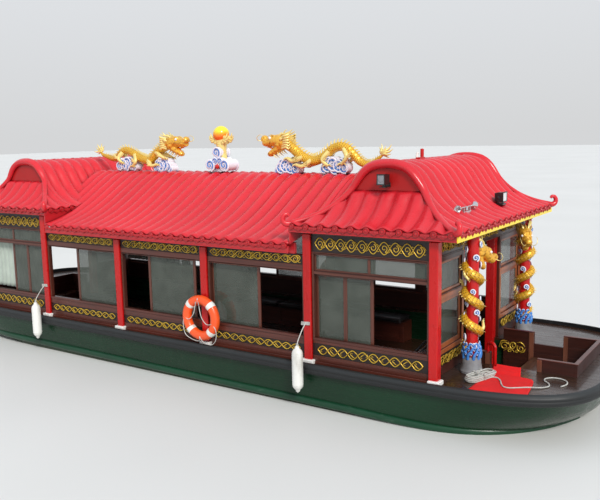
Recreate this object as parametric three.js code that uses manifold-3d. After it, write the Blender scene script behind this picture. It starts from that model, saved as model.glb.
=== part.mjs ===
import * as THREE from 'three';
import { mergeVertices } from 'three/addons/utils/BufferGeometryUtils.js';
import Module from 'manifold-3d';

const wasm = await Module();
wasm.setup();

// Driving dimensions in millimetres. X runs to the bow, Y to port and Z up. The origin is under the
// middle of the hull, on its flat bottom.
const gap = 0.3; // clearance between pieces that rest on each other
const deckZ = 1030;
const bay = 1780; // between column centres
const cabinEnd = 2.5 * bay; // corner columns stand at x = +-cabinEnd
const stepX = 1.5 * bay; // the low middle cabin runs between x = +-stepX
const columnY = 1740;
const columnSize = 120;
const blockHalf = 95; // half width of the white block under each column
const blockT = 60;
const wallIn = 1695; // half width inside the side walls
const wallOut = 1755;
const pavilionTop = deckZ + 1740; // top of the walls and columns under the raised roofs
const middleTop = deckZ + 1450; // the same under the middle roof
const soleZ = 530; // walking surface of the sunk cabin floor
const boardT = 30;
const hullTop = deckZ - boardT;
const entryHalf = 600; // half width of each stairwell
const landingZ = 640;
const halfStepZ = (landingZ + deckZ) / 2;
const coamingT = 40;
const coamingTop = deckZ + 155;
// Stairwells: how far they reach out past the corner columns, how long the half step at their far end
// is, and the gates in their coaming as [side, from, to] past the corner columns
const entries = [
  { end: 1, name: 'front', reach: 1350, halfStep: 850, gates: [[-1, 300, 900], [1, 490, 900]] },
  { end: -1, name: 'rear', reach: 450, halfStep: 240, gates: [] },
];

const boat = new THREE.Group();

// Colours and finish of each kind of surface
function paint(color, roughness, metalness) {
  return new THREE.MeshStandardMaterial({ color, roughness, metalness });
}
const greenPaint = paint(0x16402b, 0.35, 0);
const railPaint = paint(0x1d5a3c, 0.35, 0);
const blackRubber = paint(0x23272b, 0.7, 0);
const deckWood = paint(0x2e1a10, 0.3, 0);
const wallWood = paint(0x3f1712, 0.45, 0);
const sashWood = paint(0x6a2c18, 0.45, 0);
const redLacquer = paint(0xb01515, 0.3, 0);
const roofRed = paint(0xe0232f, 0.3, 0);
const yellowPaint = paint(0xf5d800, 0.4, 0);
const goldPaint = paint(0xd9992b, 0.35, 0.5);
const whitePaint = paint(0xf2f2ee, 0.5, 0);
const orangePaint = paint(0xe8481c, 0.5, 0);
const bronze = paint(0x9a7440, 0.35, 1);
const steel = paint(0xb9bdc2, 0.25, 1);
const darkMetal = paint(0x1c1d1f, 0.5, 0.4);
const redCloth = paint(0xd3131b, 0.9, 0);
const whiteCloth = paint(0xe4e6dc, 0.9, 0);
const darkLeather = paint(0x1b1a1c, 0.6, 0);

// Solids from three.js geometry, and back
function toSolid(geometry) {
  const plain = geometry.clone();
  plain.deleteAttribute('normal');
  plain.deleteAttribute('uv');
  plain.attributes.position.array.forEach((value, i, list) => {
    list[i] = Math.round(value * 100) / 100;
  });
  const merged = mergeVertices(plain, 1e-3);
  return new wasm.Manifold(new wasm.Mesh({
    numProp: 3,
    vertProperties: new Float32Array(merged.attributes.position.array),
    triVerts: new Uint32Array(merged.index.array),
  }));
}

function fuse(...parts) {
  return parts.flat().map((part) => (part.isBufferGeometry ? toSolid(part) : part))
    .reduce((sum, part) => sum.add(part));
}

function cut(base, ...tools) {
  return fuse(base).subtract(fuse(...tools));
}

function add(name, shape, material) {
  let geometry = shape;
  if (!shape.isBufferGeometry) {
    const out = shape.getMesh();
    geometry = new THREE.BufferGeometry();
    geometry.setAttribute('position', new THREE.BufferAttribute(out.vertProperties, 3));
    geometry.setIndex(new THREE.BufferAttribute(out.triVerts, 1));
  }
  const mesh = new THREE.Mesh(geometry, material);
  mesh.name = name;
  boat.add(mesh);
  return mesh;
}

function box(x0, x1, y0, y1, z0, z1) {
  const geometry = new THREE.BoxGeometry(Math.abs(x1 - x0), Math.abs(y1 - y0), Math.abs(z1 - z0));
  return geometry.translate((x0 + x1) / 2, (y0 + y1) / 2, (z0 + z1) / 2);
}

function cylinder(radius, from, to, sides = 16, endRadius = radius) {
  const start = new THREE.Vector3(...from);
  const axis = new THREE.Vector3(...to).sub(start);
  const geometry = new THREE.CylinderGeometry(endRadius, radius, axis.length(), sides);
  geometry.translate(0, axis.length() / 2, 0);
  geometry.applyQuaternion(new THREE.Quaternion().setFromUnitVectors(
    new THREE.Vector3(0, 1, 0), axis.clone().normalize()));
  return geometry.translate(start.x, start.y, start.z);
}

function ball(radius, x, y, z, sides = 12) {
  return new THREE.SphereGeometry(radius, sides, sides / 2).rotateX(Math.PI / 2).translate(x, y, z);
}

// A flat outline of [x, y] points raised from z0 to z1
function plate(outline, z0, z1) {
  const shape = new THREE.Shape(outline.map(([x, y]) => new THREE.Vector2(x, y)));
  return new THREE.ExtrudeGeometry(shape, { depth: z1 - z0, bevelEnabled: false }).translate(0, 0, z0);
}

// An outline of [y, z] points run along X, and one of [x, z] points run along Y
function alongX(outline, x0, x1) {
  return plate(outline, 0, x1 - x0).applyMatrix4(new THREE.Matrix4().makeBasis(
    new THREE.Vector3(0, 1, 0), new THREE.Vector3(0, 0, 1), new THREE.Vector3(1, 0, 0))).translate(x0, 0, 0);
}
function alongY(outline, y0, y1) {
  return plate(outline, 0, y1 - y0).rotateX(Math.PI / 2).translate(0, y1, 0);
}

// A round-sided bar of the given radius along a smooth line through points
function bar(points, radius, sides, steps) {
  const curve = new THREE.CatmullRomCurve3(points.map((p) => new THREE.Vector3(...p)));
  const section = new THREE.Shape(Array.from({ length: sides }, (_, i) => new THREE.Vector2(
    radius * Math.cos((2 * Math.PI * i) / sides), radius * Math.sin((2 * Math.PI * i) / sides))));
  return new THREE.ExtrudeGeometry(section, { steps, extrudePath: curve, bevelEnabled: false });
}

// A closed skin over rings of [x, y, z] points, all of one length and turning anticlockwise as seen
// from the last ring. Flat end faces close it unless the rings run round a loop.
function skin(rings, loop = false) {
  const count = rings[0].length;
  const points = rings.flat();
  const faces = [];
  const last = loop ? rings.length : rings.length - 1;
  for (let r = 0; r < last; r += 1) {
    const a = r * count;
    const b = ((r + 1) % rings.length) * count;
    for (let i = 0; i < count; i += 1) {
      const j = (i + 1) % count;
      faces.push(a + i, a + j, b + j, a + i, b + j, b + i);
    }
  }
  if (!loop) {
    const ends = [[0, true], [(rings.length - 1) * count, false]];
    for (const [base, flip] of ends) {
      for (let i = 1; i < count - 1; i += 1) {
        faces.push(base, base + (flip ? i + 1 : i), base + (flip ? i : i + 1));
      }
    }
  }
  const geometry = new THREE.BufferGeometry();
  geometry.setAttribute('position', new THREE.Float32BufferAttribute(points.flat(), 3));
  geometry.setIndex(faces);
  return geometry;
}

// Hull: plan outlines at rising heights. bow and stern are where each outline ends beyond the corner
// columns, taper is how long its ends are, and along and across say how full their corners are.
const hullLevels = [
  { z: 0, half: 1380, bow: -300, stern: -1000, taper: 2200, along: 2.6, across: 1.6 },
  { z: 70, half: 1580, bow: 150, stern: -650, taper: 2300, along: 2.8, across: 1.6 },
  { z: 220, half: 1730, bow: 800, stern: 30, taper: 2500, along: 3, across: 1.6 },
  { z: 450, half: 1805, bow: 1450, stern: 850, taper: 2600, along: 3.2, across: 1.6 },
  { z: 700, half: 1845, bow: 1640, stern: 1450, taper: 2700, along: 3.6, across: 2.8 },
  { z: hullTop, half: 1870, bow: 1735, stern: 1735, taper: 2750, along: 4, across: 4.5 },
];
const quarterSteps = 10;

function hullOutline(level, out = 0) {
  const quarter = (tip, end) => Array.from({ length: quarterSteps + 1 }, (_, i) => {
    const turn = (i / quarterSteps) * Math.PI / 2;
    const length = level.taper + out;
    return [
      tip * (cabinEnd + end - level.taper + length * Math.cos(turn) ** (2 / level.along)),
      (level.half + out) * Math.sin(turn) ** (2 / level.across),
    ];
  });
  const bowHalf = quarter(1, level.bow);
  const sternHalf = quarter(-1, level.stern);
  const port = [...bowHalf, ...sternHalf.reverse()];
  const starboard = port.slice(1, -1).reverse().map(([x, y]) => [x, -y]);
  return [...port, ...starboard];
}

function hullBody(out) {
  return skin(hullLevels.map((level) => hullOutline(level, out).map(([x, y]) => [x, y, level.z])));
}

const deckOutline = hullOutline(hullLevels.at(-1));
const wellHalf = 1640;
const wellEnd = cabinEnd - 100;
const shaftZ = 225;
const propellerX = -(cabinEnd + 880);
const rudderX = -(cabinEnd + 1190);
const stockR = 22;
const boreR = (stockR + 0.5) / Math.cos(Math.PI / 12); // of the twelve-sided bearings round both shafts
const skegHalf = 45;
const skegFace = propellerX + 70;
const skeg = alongY([
  [-3300, 5], [-3100, 260], [-5000, 300], [skegFace, 330], [skegFace, shaftZ - 60], [-4700, 5],
].reverse(), -skegHalf, skegHalf);
const trunkCut = cylinder(boreR, [rudderX, 0, 300], [rudderX, 0, deckZ + 50], 12);
const shaftCut = cylinder(boreR, [propellerX - 50, 0, shaftZ], [propellerX + 460, 0, shaftZ], 12);
const wellCut = fuse(
  box(-wellEnd, wellEnd, -wellHalf, wellHalf, soleZ - boardT, deckZ + 50),
  entries.map(({ end, reach }) => box(end * (wellEnd - 50), end * (cabinEnd + reach + coamingT + gap),
    -(entryHalf + coamingT + gap), entryHalf + coamingT + gap, landingZ - boardT, deckZ + 50)),
);
add('hull', cut(fuse(hullBody(0), skeg), wellCut, trunkCut, shaftCut), greenPaint);
add('deck', cut(plate(deckOutline, hullTop + gap, deckZ), wellCut, trunkCut), deckWood);
add('cabin_sole', box(-wellEnd + gap, wellEnd - gap, -wellHalf + gap, wellHalf - gap,
  soleZ - boardT + gap, soleZ), deckWood);

// Each stairwell: a landing by the door, a half step at the far end, and boards round three sides that
// stand up past the deck as a coaming, open at the gates
for (const { end, name, reach, halfStep, gates } of entries) {
  const farX = cabinEnd + reach;
  const inner = entryHalf - gap;
  add(`${name}_steps`, fuse(
    box(end * (wellEnd + gap), end * (farX - gap), -inner, inner, landingZ - boardT + gap, landingZ),
    box(end * (farX - halfStep), end * (farX - gap), -inner, inner, landingZ - 1, halfStepZ),
  ), deckWood);
  const outer = box(end * (wellEnd + 150), end * (farX + coamingT), -(entryHalf + coamingT),
    entryHalf + coamingT, landingZ - boardT + gap, coamingTop);
  const inside = box(end * (wellEnd - 50), end * farX, -entryHalf, entryHalf, 0, 2 * coamingTop);
  const openings = gates.map(([side, from, to]) => box(end * (cabinEnd + from), end * (cabinEnd + to),
    0, side * 2 * entryHalf, deckZ, 2 * coamingTop));
  add(`${name}_coaming`, cut(outer, inside, ...openings), wallWood);
}

// Red grab rail at the starboard gate: one leg on the coaming's end, one on the deck
const railR = 22;
const railFootX = cabinEnd + 370;
const railFootY = -(entryHalf + coamingT + railR + 8);
const railHeadX = railFootX - 110;
const railHeadY = -(entryHalf + coamingT / 2);
const railTop = deckZ + 290;
add('grab_rail', fuse(
  bar([
    [railHeadX, railHeadY, coamingTop + gap],
    [railHeadX, railHeadY, railTop - 60],
    [railHeadX + 15, railHeadY - 5, railTop - 18],
    [(railHeadX + railFootX) / 2, (railHeadY + railFootY) / 2, railTop],
    [railFootX - 15, railFootY + 5, railTop - 18],
    [railFootX, railFootY, railTop - 60],
    [railFootX, railFootY, deckZ + gap + 5],
  ], railR, 8, 18),
  cylinder(railR + 8, [railFootX, railFootY, deckZ + gap], [railFootX, railFootY, deckZ + gap + 12], 12),
), redLacquer);

// Black rubber fender round the deck edge, rising a little towards both ends
const fenderSeat = 1; // it stands this far off the hull's own outline
const fenderOut = 72;
const fenderSection = [[0, 68], [45, 62], [fenderOut, 25], [fenderOut, -40], [45, -70], [0, -75]]; // [out, up]
function fenderZ(x) {
  return deckZ - 50 + 55 * (Math.abs(x) / (cabinEnd + 1735)) ** 2;
}
const outlineNormals = deckOutline.map((point, i) => {
  const before = deckOutline.at(i - 1);
  const after = deckOutline[(i + 1) % deckOutline.length];
  const side = new THREE.Vector2(after[1] - before[1], before[0] - after[0]).normalize();
  return [side.x, side.y];
});
const fenderRings = deckOutline.map(([x, y], i) => fenderSection.map(([out, up]) => {
  const [nx, ny] = outlineNormals[i];
  return [x + nx * (out + fenderSeat), y + ny * (out + fenderSeat), fenderZ(x) + up];
}));
add('gunwale_fender', cut(skin(fenderRings, true), hullBody(gap)), blackRubber);

// Half-round rubbing rail along each side, dipping towards the bow
const railLow = hullOutline(hullLevels[3]);
const railHigh = hullOutline(hullLevels[4]);
const railSection = [[-25, -48], [25, -42], [48, 0], [25, 42], [-25, 48]]; // [out, up]
function railRings(side) {
  const rings = [];
  for (let i = 2; i < 2 * quarterSteps; i += 1) {
    const rise = 0.44 - 0.26 * Math.max(0, railHigh[i][0] / cabinEnd) ** 2;
    const x = THREE.MathUtils.lerp(railLow[i][0], railHigh[i][0], rise);
    const y = THREE.MathUtils.lerp(railLow[i][1], railHigh[i][1], rise);
    const z = THREE.MathUtils.lerp(hullLevels[3].z, hullLevels[4].z, rise);
    const run = new THREE.Vector2(railHigh[i + 1][0] - railHigh[i - 1][0],
      railHigh[i + 1][1] - railHigh[i - 1][1]).normalize();
    const ring = railSection.map(([out, up]) => [x + run.y * out, side * (y - run.x * out), z + up]);
    rings.push(side > 0 ? ring.reverse() : ring);
  }
  return rings;
}

// Each side of the boat: side 1 is port, -1 is starboard
const sides = [{ side: -1, name: 'starboard' }, { side: 1, name: 'port' }];
const sillZ = deckZ + 360;
const windowMargin = 90;
const sections = [
  { part: 'front', x0: stepX, x1: cabinEnd - 60, top: pavilionTop, head: deckZ + 1480, railAt: deckZ + 1205 },
  { part: 'middle', x0: -stepX, x1: stepX, top: middleTop, head: deckZ + 1230 },
  { part: 'rear', x0: -cabinEnd + 60, x1: -stepX, top: pavilionTop, head: deckZ + 1480, railAt: deckZ + 1205 },
];
const transomRail = 50;
// Sliding sashes: from and to along X, and how high they reach
const sashes = [
  { from: stepX + 70, to: stepX + 930, top: deckZ + 1225 },
  { from: 950, to: 1830, top: deckZ + 1250 },
  { from: -310, to: 650, top: deckZ + 1250 },
  { from: -1960, to: -950, top: deckZ + 1250 },
  { from: -3660, to: -2810, top: deckZ + 1225 },
];
const sashT = 25;
const sashFrame = 45;
const lightLap = 8; // how far a fixed light's frame goes into the wall round it
const trackZ = sillZ - 45;
const endLights = [[deckZ + 330, deckZ + 970], [deckZ + 1040, deckZ + 1440]]; // lower and upper, either side
const endLightTo = 1560; // of the entrances
const endWallX = cabinEnd - 60;
const endWallT = 60;
const doorPostY = 630;
const trackEnd = endWallX - endWallT - gap;

// A sash or a fixed light is one frame with a pane between each pair of heights
function sashPanel(from, to, near, far, heights, across) {
  const block = (a, b, low, high, y0, y1) => (across ? box(y0, y1, a, b, low, high) : box(a, b, y0, y1, low, high));
  const holes = heights.slice(1).map((high, i) => block(from + sashFrame, to - sashFrame,
    heights[i] + sashFrame, high - sashFrame, near - 5, far + 5));
  const middle = (near + far) / 2;
  const pane = block(from + 10, to - 10, heights[0] + 10, heights.at(-1) - 10, middle - 3, middle + 3);
  return fuse(cut(block(from, to, heights[0], heights.at(-1), near, far), ...holes), pane);
}

for (const { side, name } of sides) {
  add(`rub_rail_${name}`, cut(skin(railRings(side)), hullBody(gap)), railPaint);

  // Three columns in each half stand on white blocks along a low toe board, outside the wall. The
  // corner ones are square, and their blocks stand out on the outer sides alone.
  for (const { end, name: place } of entries) {
    const columns = [box(end * gap / 2, end * cabinEnd, side * (wallOut + gap), side * (wallOut + 25),
      deckZ + gap, deckZ + 40)];
    for (let k = 0; k < 3; k += 1) {
      const x = end * (cabinEnd - k * bay);
      const top = k < 2 ? pavilionTop : middleTop;
      const near = side * (k ? wallOut + gap : columnY - columnSize / 2);
      const blockFrom = end * (k ? -blockHalf : -columnSize / 2);
      columns.push(box(x - columnSize / 2, x + columnSize / 2, near, side * (columnY + columnSize / 2),
        deckZ + gap, top));
      columns.push(box(x + blockFrom, x + end * blockHalf, near, side * (columnY + blockHalf),
        deckZ + gap, deckZ + blockT));
    }
    add(`columns_${place}_${name}`, fuse(columns), redLacquer);
  }

  const lightDepth = [wallIn + 15, wallIn + 40].map((y) => side * y).sort((a, b) => a - b);
  for (const { part, x0, x1, top, head, railAt } of sections) {
    const wall = box(x0 + gap, x1 - gap, side * wallIn, side * wallOut, deckZ + gap, top);
    const windows = [];
    const transoms = [];
    for (let k = 0; k < 5; k += 1) {
      const left = cabinEnd - (k + 1) * bay;
      if (left > x0 - bay / 2 && left < x1 - 100) {
        const a = left + windowMargin;
        const b = left + bay - windowMargin;
        const heights = railAt ? [[sillZ, railAt], [railAt + transomRail, head]] : [[sillZ, head]];
        for (const [low, high] of heights) {
          windows.push(box(a, b, side * (wallIn - 20), side * (wallOut + 20), low, high));
        }
        if (railAt) {
          transoms.push(sashPanel(a - lightLap, b + lightLap, ...lightDepth, [heights[1][0] - lightLap,
            head + lightLap], false));
        }
      }
    }
    add(`side_wall_${part}_${name}`, fuse(cut(wall, ...windows), transoms), wallWood);
  }

  // Sashes run on a track inside the walls
  const inner = side * (wallIn - gap);
  const outer = side * (wallIn - gap - sashT);
  const [y0, y1] = [Math.min(inner, outer), Math.max(inner, outer)];
  const glazing = [box(-trackEnd + 2, trackEnd - 2, inner, outer, trackZ - 30, trackZ)];
  for (const { from, to, top } of sashes) {
    glazing.push(sashPanel(from, to, y0 + 3, y1 - 2, [trackZ - 5, top], false));
  }
  add(`sashes_${name}`, fuse(glazing), sashWood);

  // End walls beside the entrances, with a lower and an upper fixed light
  for (const { end, name: place } of entries) {
    const x0 = end * (endWallX - endWallT);
    const x1 = end * (endWallX - gap);
    const ya = side * (doorPostY + 60 + gap);
    const yb = side * (columnY - columnSize / 2 - gap);
    const [holeFrom, holeTo] = [doorPostY + 120, endLightTo].map((y) => side * y).sort((a, b) => a - b);
    const hole = ([low, high]) => box(x0 - 20 * end, x1 + 20 * end, holeFrom, holeTo, low, high);
    const depth = [x0 + end * 15, x0 + end * 40].sort((a, b) => a - b);
    const light = ([low, high]) => sashPanel(holeFrom - lightLap, holeTo + lightLap, ...depth,
      [low - lightLap, high + lightLap], true);
    add(`${place}_wall_${name}`, fuse(
      cut(box(x0, x1, ya, yb, deckZ + gap, deckZ + 1500 - gap), ...endLights.map(hole)),
      endLights.map(light),
    ), wallWood);
  }
}

// Door posts and the beam over each entrance
for (const { end, name } of entries) {
  const beam = box(end * (endWallX - endWallT), end * (endWallX - gap), -(columnY - columnSize / 2 - gap),
    columnY - columnSize / 2 - gap, deckZ + 1500, pavilionTop);
  const posts = [-1, 1].map((side) => box(end * (wellEnd - columnSize), end * (wellEnd - gap),
    side * (doorPostY - 60), side * (doorPostY + 60), soleZ + gap, deckZ + 1510));
  add(`${name}_door_frame`, fuse(beam, posts), redLacquer);
}

// Roofs. Profiles give [distance from the ridge, height above the deck] of the tile tops.
const shellT = 45;
const middleProfile = [[0, 2380], [130, 2370], [270, 2325], [450, 2230], [920, 1955], [1170, 1825],
  [1420, 1720], [1660, 1645], [1900, 1590]];
const pavilionProfile = [[0, 2610], [150, 2598], [280, 2552], [380, 2465], [540, 2235], [640, 2120],
  [780, 2005], [960, 1912], [1155, 1850]];
const pavilionX = cabinEnd - 835; // ridge of each raised roof
const gableFoot = 500; // the arch ends and the hips begin this far from the ridge
const gableY = 1320;
const vergeY = gableY + 40;
const eaveX = 1155;
const eaveY = 1885;
const middleEave = 1900;
const middleEndX = pavilionX - eaveX;
const reach = pavilionX - 400; // the middle roof's ridge runs this far over the raised roofs' skirts
const fasciaT = 30;
const eaveTop = deckZ + 1850;
const eaveLow = deckZ + 1760;
// Ribs of round tiles down every slope, flat on top with valleys between
const ribUp = 42; // height square to the slope
const ribTop = 36; // half width of the flat top
const middlePitch = 200;
const pavilionPitch = 220;

// What lies under a profile, down to base, with its top lowered by drop
function underProfile(profile, drop, base) {
  const top = profile.map(([d, z]) => [d, deckZ + z - drop]);
  const far = profile.at(-1)[0];
  return [[-far, base], [far, base], ...top.slice().reverse(), ...top.slice(1).map(([d, z]) => [-d, z])];
}

function middleBody(drop, x0, x1, base) {
  return alongX(underProfile(middleProfile, drop, base), x0, x1);
}

// A profile moved out square to its slope, with its ends moved straight up
function raised(profile, up) {
  return profile.map(([d, z], i) => {
    const [d0, z0] = profile[Math.max(0, i - 1)];
    const [d1, z1] = profile[Math.min(profile.length - 1, i + 1)];
    const slope = Math.atan2(z0 - z1, d1 - d0);
    const end = i === 0 || i === profile.length - 1;
    return end ? [d, z + up / Math.cos(slope)] : [d + up * Math.sin(slope), z + up * Math.cos(slope)];
  });
}

// What lies under a ribbed slope. outlineAt gives the section where the profile is raised, and place
// sets its points at a distance along the eave.
function ribbedBody(pitch, far, outlineAt, place) {
  const last = Math.ceil(far / pitch - 0.5);
  const edges = [];
  for (let k = -last; k <= last; k += 1) {
    edges.push([(k - 0.5) * pitch, 0], [k * pitch - ribTop, ribUp], [k * pitch + ribTop, ribUp]);
  }
  edges.push([(last + 0.5) * pitch, 0]);
  const valley = outlineAt(0);
  const crest = outlineAt(ribUp);
  return skin(edges.map(([along, up]) => (up ? crest : valley).map(([d, z]) => place(along, d, z))));
}

function ribbedMiddle(drop, x0, x1, base) {
  return fuse(ribbedBody(middlePitch, reach, (up) => underProfile(raised(middleProfile, up), drop, base),
    (x, y, z) => [x, y, z])).intersect(fuse(box(x0, x1, -middleEave, middleEave, 0, 6000)));
}

// A raised roof is a vault over its ridge, which runs along Y, with a skirt on each side. They meet at
// hips that are straight in plan.
const skirtScale = (eaveY - gableY) / (eaveX - gableFoot);
const skirtProfile = pavilionProfile.filter(([d]) => d > gableFoot - 150)
  .map(([d, z]) => [gableY + (d - gableFoot) * skirtScale, z]);
const vaultPlan = [[gableFoot + 46, vergeY], [gableFoot + 46, -vergeY], [eaveX, -eaveY], [eaveX, eaveY]];
const vaultMiddle = [[-gableFoot - 46, -vergeY], [gableFoot + 46, -vergeY], [gableFoot + 46, vergeY],
  [-gableFoot - 46, vergeY]];
const skirtPlan = [[-gableFoot, gableY - 80], [gableFoot, gableY - 80], [gableFoot, gableY], [eaveX, eaveY],
  [-eaveX, eaveY], [-gableFoot, gableY]];

function turned(geometry, x) {
  return geometry.applyMatrix4(new THREE.Matrix4().makeRotationZ(Math.PI)).translate(x, 0, 0);
}

function pavilionBody(x, drop, base, ribbed = false) {
  const vault = fuse(ribbed
    ? ribbedBody(pavilionPitch, eaveY, (up) => underProfile(raised(pavilionProfile, up), drop, base),
      (along, d, z) => [x + d, -along, z])
    : alongY(underProfile(pavilionProfile, drop, base), -eaveY, eaveY).translate(x, 0, 0));
  const plans = fuse(plate(vaultMiddle, 0, 6000).translate(x, 0, 0), plate(vaultPlan, 0, 6000).translate(x, 0, 0),
    turned(plate(vaultPlan, 0, 6000), x));
  const skirtShape = (up) => {
    const top = raised(skirtProfile, up).map(([d, z]) => [d, deckZ + z - drop]);
    return [[top[0][0], base], [eaveY, base], ...top.reverse()];
  };
  const slope = ribbed
    ? ribbedBody(pavilionPitch, eaveX, skirtShape, (along, d, z) => [along, d, z])
    : alongX(skirtShape(0), -eaveX, eaveX);
  const skirt = fuse(slope).intersect(fuse(plate(skirtPlan, 0, 6000)));
  const skirts = skirt.add(skirt.rotate(0, 0, 180)).translate(x, 0, 0);
  return vault.intersect(plans).add(skirts);
}

const belowRoofs = deckZ + 1000;
const middleShell = cut(ribbedMiddle(0, -reach, reach, deckZ + 1500), middleBody(shellT, -reach, reach, belowRoofs))
  .subtract(pavilionBody(pavilionX, -gap, 0, true)).subtract(pavilionBody(-pavilionX, -gap, 0, true))
  .subtract(fuse([-1, 1].map((end) => box(end * middleEndX, end * reach, -3000, 3000, 0, deckZ + 1800))));
const middleBearers = sides.flatMap(({ side }) => [
  box(-middleEndX, middleEndX, side * (middleEave - fasciaT), side * middleEave, deckZ + 1478, deckZ + 1575),
  box(-middleEndX, middleEndX, side * (wallIn + 5), side * (wallOut - 5), middleTop + gap, deckZ + 1600),
]);
add('middle_roof', fuse(middleShell, middleBearers), roofRed);

for (const { end, name } of entries) {
  const x = end * pavilionX;
  const shell = pavilionBody(x, 0, eaveLow, true).subtract(pavilionBody(x, shellT, belowRoofs));
  const gables = pavilionBody(x, 5, belowRoofs).intersect(fuse(sides.map(({ side }) => box(
    x - gableFoot - 60, x + gableFoot + 60, side * (gableY - 30), side * gableY, deckZ + 2190, 6000))));
  const fascia = cut(box(x - eaveX, x + eaveX, -eaveY, eaveY, eaveLow, eaveTop - 8),
    box(x - eaveX + fasciaT, x + eaveX - fasciaT, -eaveY + fasciaT, eaveY - fasciaT, 0, 6000));
  const closing = box(end * middleEndX, end * (middleEndX + fasciaT), -eaveY, eaveY, deckZ + 1540, eaveTop - 8);
  const bearers = cut(box(end * (stepX + 20), end * (endWallX - 5), -(wallOut - 5), wallOut - 5,
    pavilionTop + gap, 6000), box(end * (stepX + 60), end * (endWallX - endWallT + 5), -(wallIn + 5),
    wallIn + 5, 0, 6000)).intersect(pavilionBody(x, 10, 0));
  const trim = box(x + end * (eaveX - 2), x + end * (eaveX + 12), -eaveY, eaveY, deckZ + 1755, deckZ + 1825);
  add(`${name}_roof`, fuse(shell, gables, fascia, trim, closing, bearers)
    .subtract(ribbedMiddle(-gap, -reach, reach, deckZ + 1400)), roofRed);
}

// Ridge ornaments. Spines give [x, height above the deck, radius] from tail to head.
const ridgeZ = deckZ + raised(middleProfile, ribUp)[0][1] + gap;
const ringSides = 8;
function ringAt(x, y, z, radius, slope) {
  return Array.from({ length: ringSides }, (_, i) => {
    const turn = (2 * Math.PI * i) / ringSides;
    const up = radius * Math.cos(turn);
    return [x - up * Math.sin(slope), y - radius * Math.sin(turn), z + up * Math.cos(slope)];
  });
}

function spineBody(spine) {
  const points = spine.map(([x, z]) => new THREE.Vector2(x, deckZ + z));
  return skin(spine.map(([x, z, radius], i) => {
    const before = points[Math.max(0, i - 1)];
    const after = points[Math.min(points.length - 1, i + 1)];
    const slope = Math.atan2(after.y - before.y, after.x - before.x);
    return ringAt(x, 0, deckZ + z, radius, slope);
  }));
}

const dragons = [
  {
    name: 'aft_dragon',
    face: 1,
    spine: [[-3150, 2760, 40], [-2990, 2700, 110], [-2820, 2640, 95], [-2670, 2650, 60], [-2568, 2735, 66],
      [-2436, 2775, 70], [-2257, 2730, 72], [-2049, 2635, 74], [-1857, 2600, 74], [-1740, 2660, 74],
      [-1640, 2750, 76], [-1530, 2825, 80]],
    head: [[-1530, 2860, 90], [-1400, 2895, 105], [-1240, 2915, 85], [-1050, 2915, 60], [-930, 2905, 40]],
    jaw: [[-1330, 2830, 45], [-1180, 2740, 42], [-1050, 2680, 40], [-1010, 2660, 20]],
    clouds: [[-2440, 110], [-1480, 130]],
    legs: [[[-2500, 2740], [-2440, 2560]], [[-1850, 2600], [-1560, 2500]]],
  },
  {
    name: 'forward_dragon',
    face: -1,
    spine: [[1250, 2840, 80], [1401, 2710, 76], [1566, 2630, 74], [1697, 2615, 74], [1861, 2670, 74],
      [2006, 2765, 72], [2148, 2800, 70], [2271, 2765, 66], [2378, 2680, 60], [2483, 2600, 50],
      [2620, 2570, 70], [2740, 2640, 80], [2880, 2760, 30]],
    head: [[690, 2905, 45], [800, 2920, 62], [950, 2925, 85], [1100, 2910, 105], [1260, 2850, 88]],
    jaw: [[724, 2650, 20], [780, 2680, 42], [920, 2740, 42], [1080, 2830, 45]],
    clouds: [[1210, 130], [2070, 140]],
    legs: [[[1500, 2650], [1250, 2520]], [[2200, 2760], [2130, 2560]]],
  },
];
for (const { name, spine, head, jaw, clouds, legs } of dragons) {
  const pieces = [spineBody(spine), spineBody(head), spineBody(jaw)];
  for (const [x, radius] of clouds) {
    pieces.push(cylinder(radius, [x, 0, ridgeZ], [x, 0, ridgeZ + 150], 10, radius * 0.8));
    pieces.push(ball(radius * 0.8, x, 0, ridgeZ + 170, 10));
  }
  for (const [top, foot] of legs) {
    pieces.push(cylinder(45, [top[0], 0, deckZ + top[1]], [foot[0], 0, deckZ + foot[1]], 8, 30));
  }
  add(name, fuse(pieces), goldPaint);
}

const pearlR = 142;
const pearlX = -165;
add('pearl', fuse(
  ball(pearlR, pearlX, 0, deckZ + 3035, 16),
  cylinder(150, [pearlX - 10, 0, ridgeZ], [pearlX - 10, 0, deckZ + 2960], 10, 70),
  [-1, 1].map((tip) => ball(110, pearlX + tip * 130, 0, ridgeZ + 110, 10)),
  ball(95, pearlX - 30, 0, deckZ + 2800, 10),
), yellowPaint);

// Dragon pillars under the front eave
const pillarX = cabinEnd + 200;
const pillarY = 1050;
const pillarTop = deckZ + 1800;
const footR = 145;
const coilR = 85; // from the shaft's axis to the middle of the dragon's body
const coilTurns = 3.5;
const coilSteps = 36;
for (const { side, name } of sides) {
  const y = side * pillarY;
  const coil = Array.from({ length: coilSteps + 1 }, (_, i) => {
    const turn = (coilTurns * 2 * Math.PI * i) / coilSteps - side * Math.PI / 2;
    return [pillarX + coilR * Math.cos(turn), y + side * coilR * Math.sin(turn), deckZ + 300 + (1150 * i) / coilSteps];
  });
  const headPoint = [pillarX + 30, y - side * 130, deckZ + 1500];
  const snout = [pillarX + 50, y - side * 190, deckZ + 1400];
  add(`dragon_pillar_${name}`, fuse(
    cylinder(footR, [pillarX, y, deckZ + gap], [pillarX, y, deckZ + 210], 12, 100),
    cylinder(75, [pillarX, y, deckZ + 100], [pillarX, y, pillarTop], 12),
    bar(coil, 38, 6, coilSteps),
    ball(75, ...headPoint, 10),
    cylinder(60, [pillarX, y, deckZ + 1480], headPoint, 8),
    cylinder(60, headPoint, snout, 8, 35),
  ), redLacquer);
}

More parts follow.
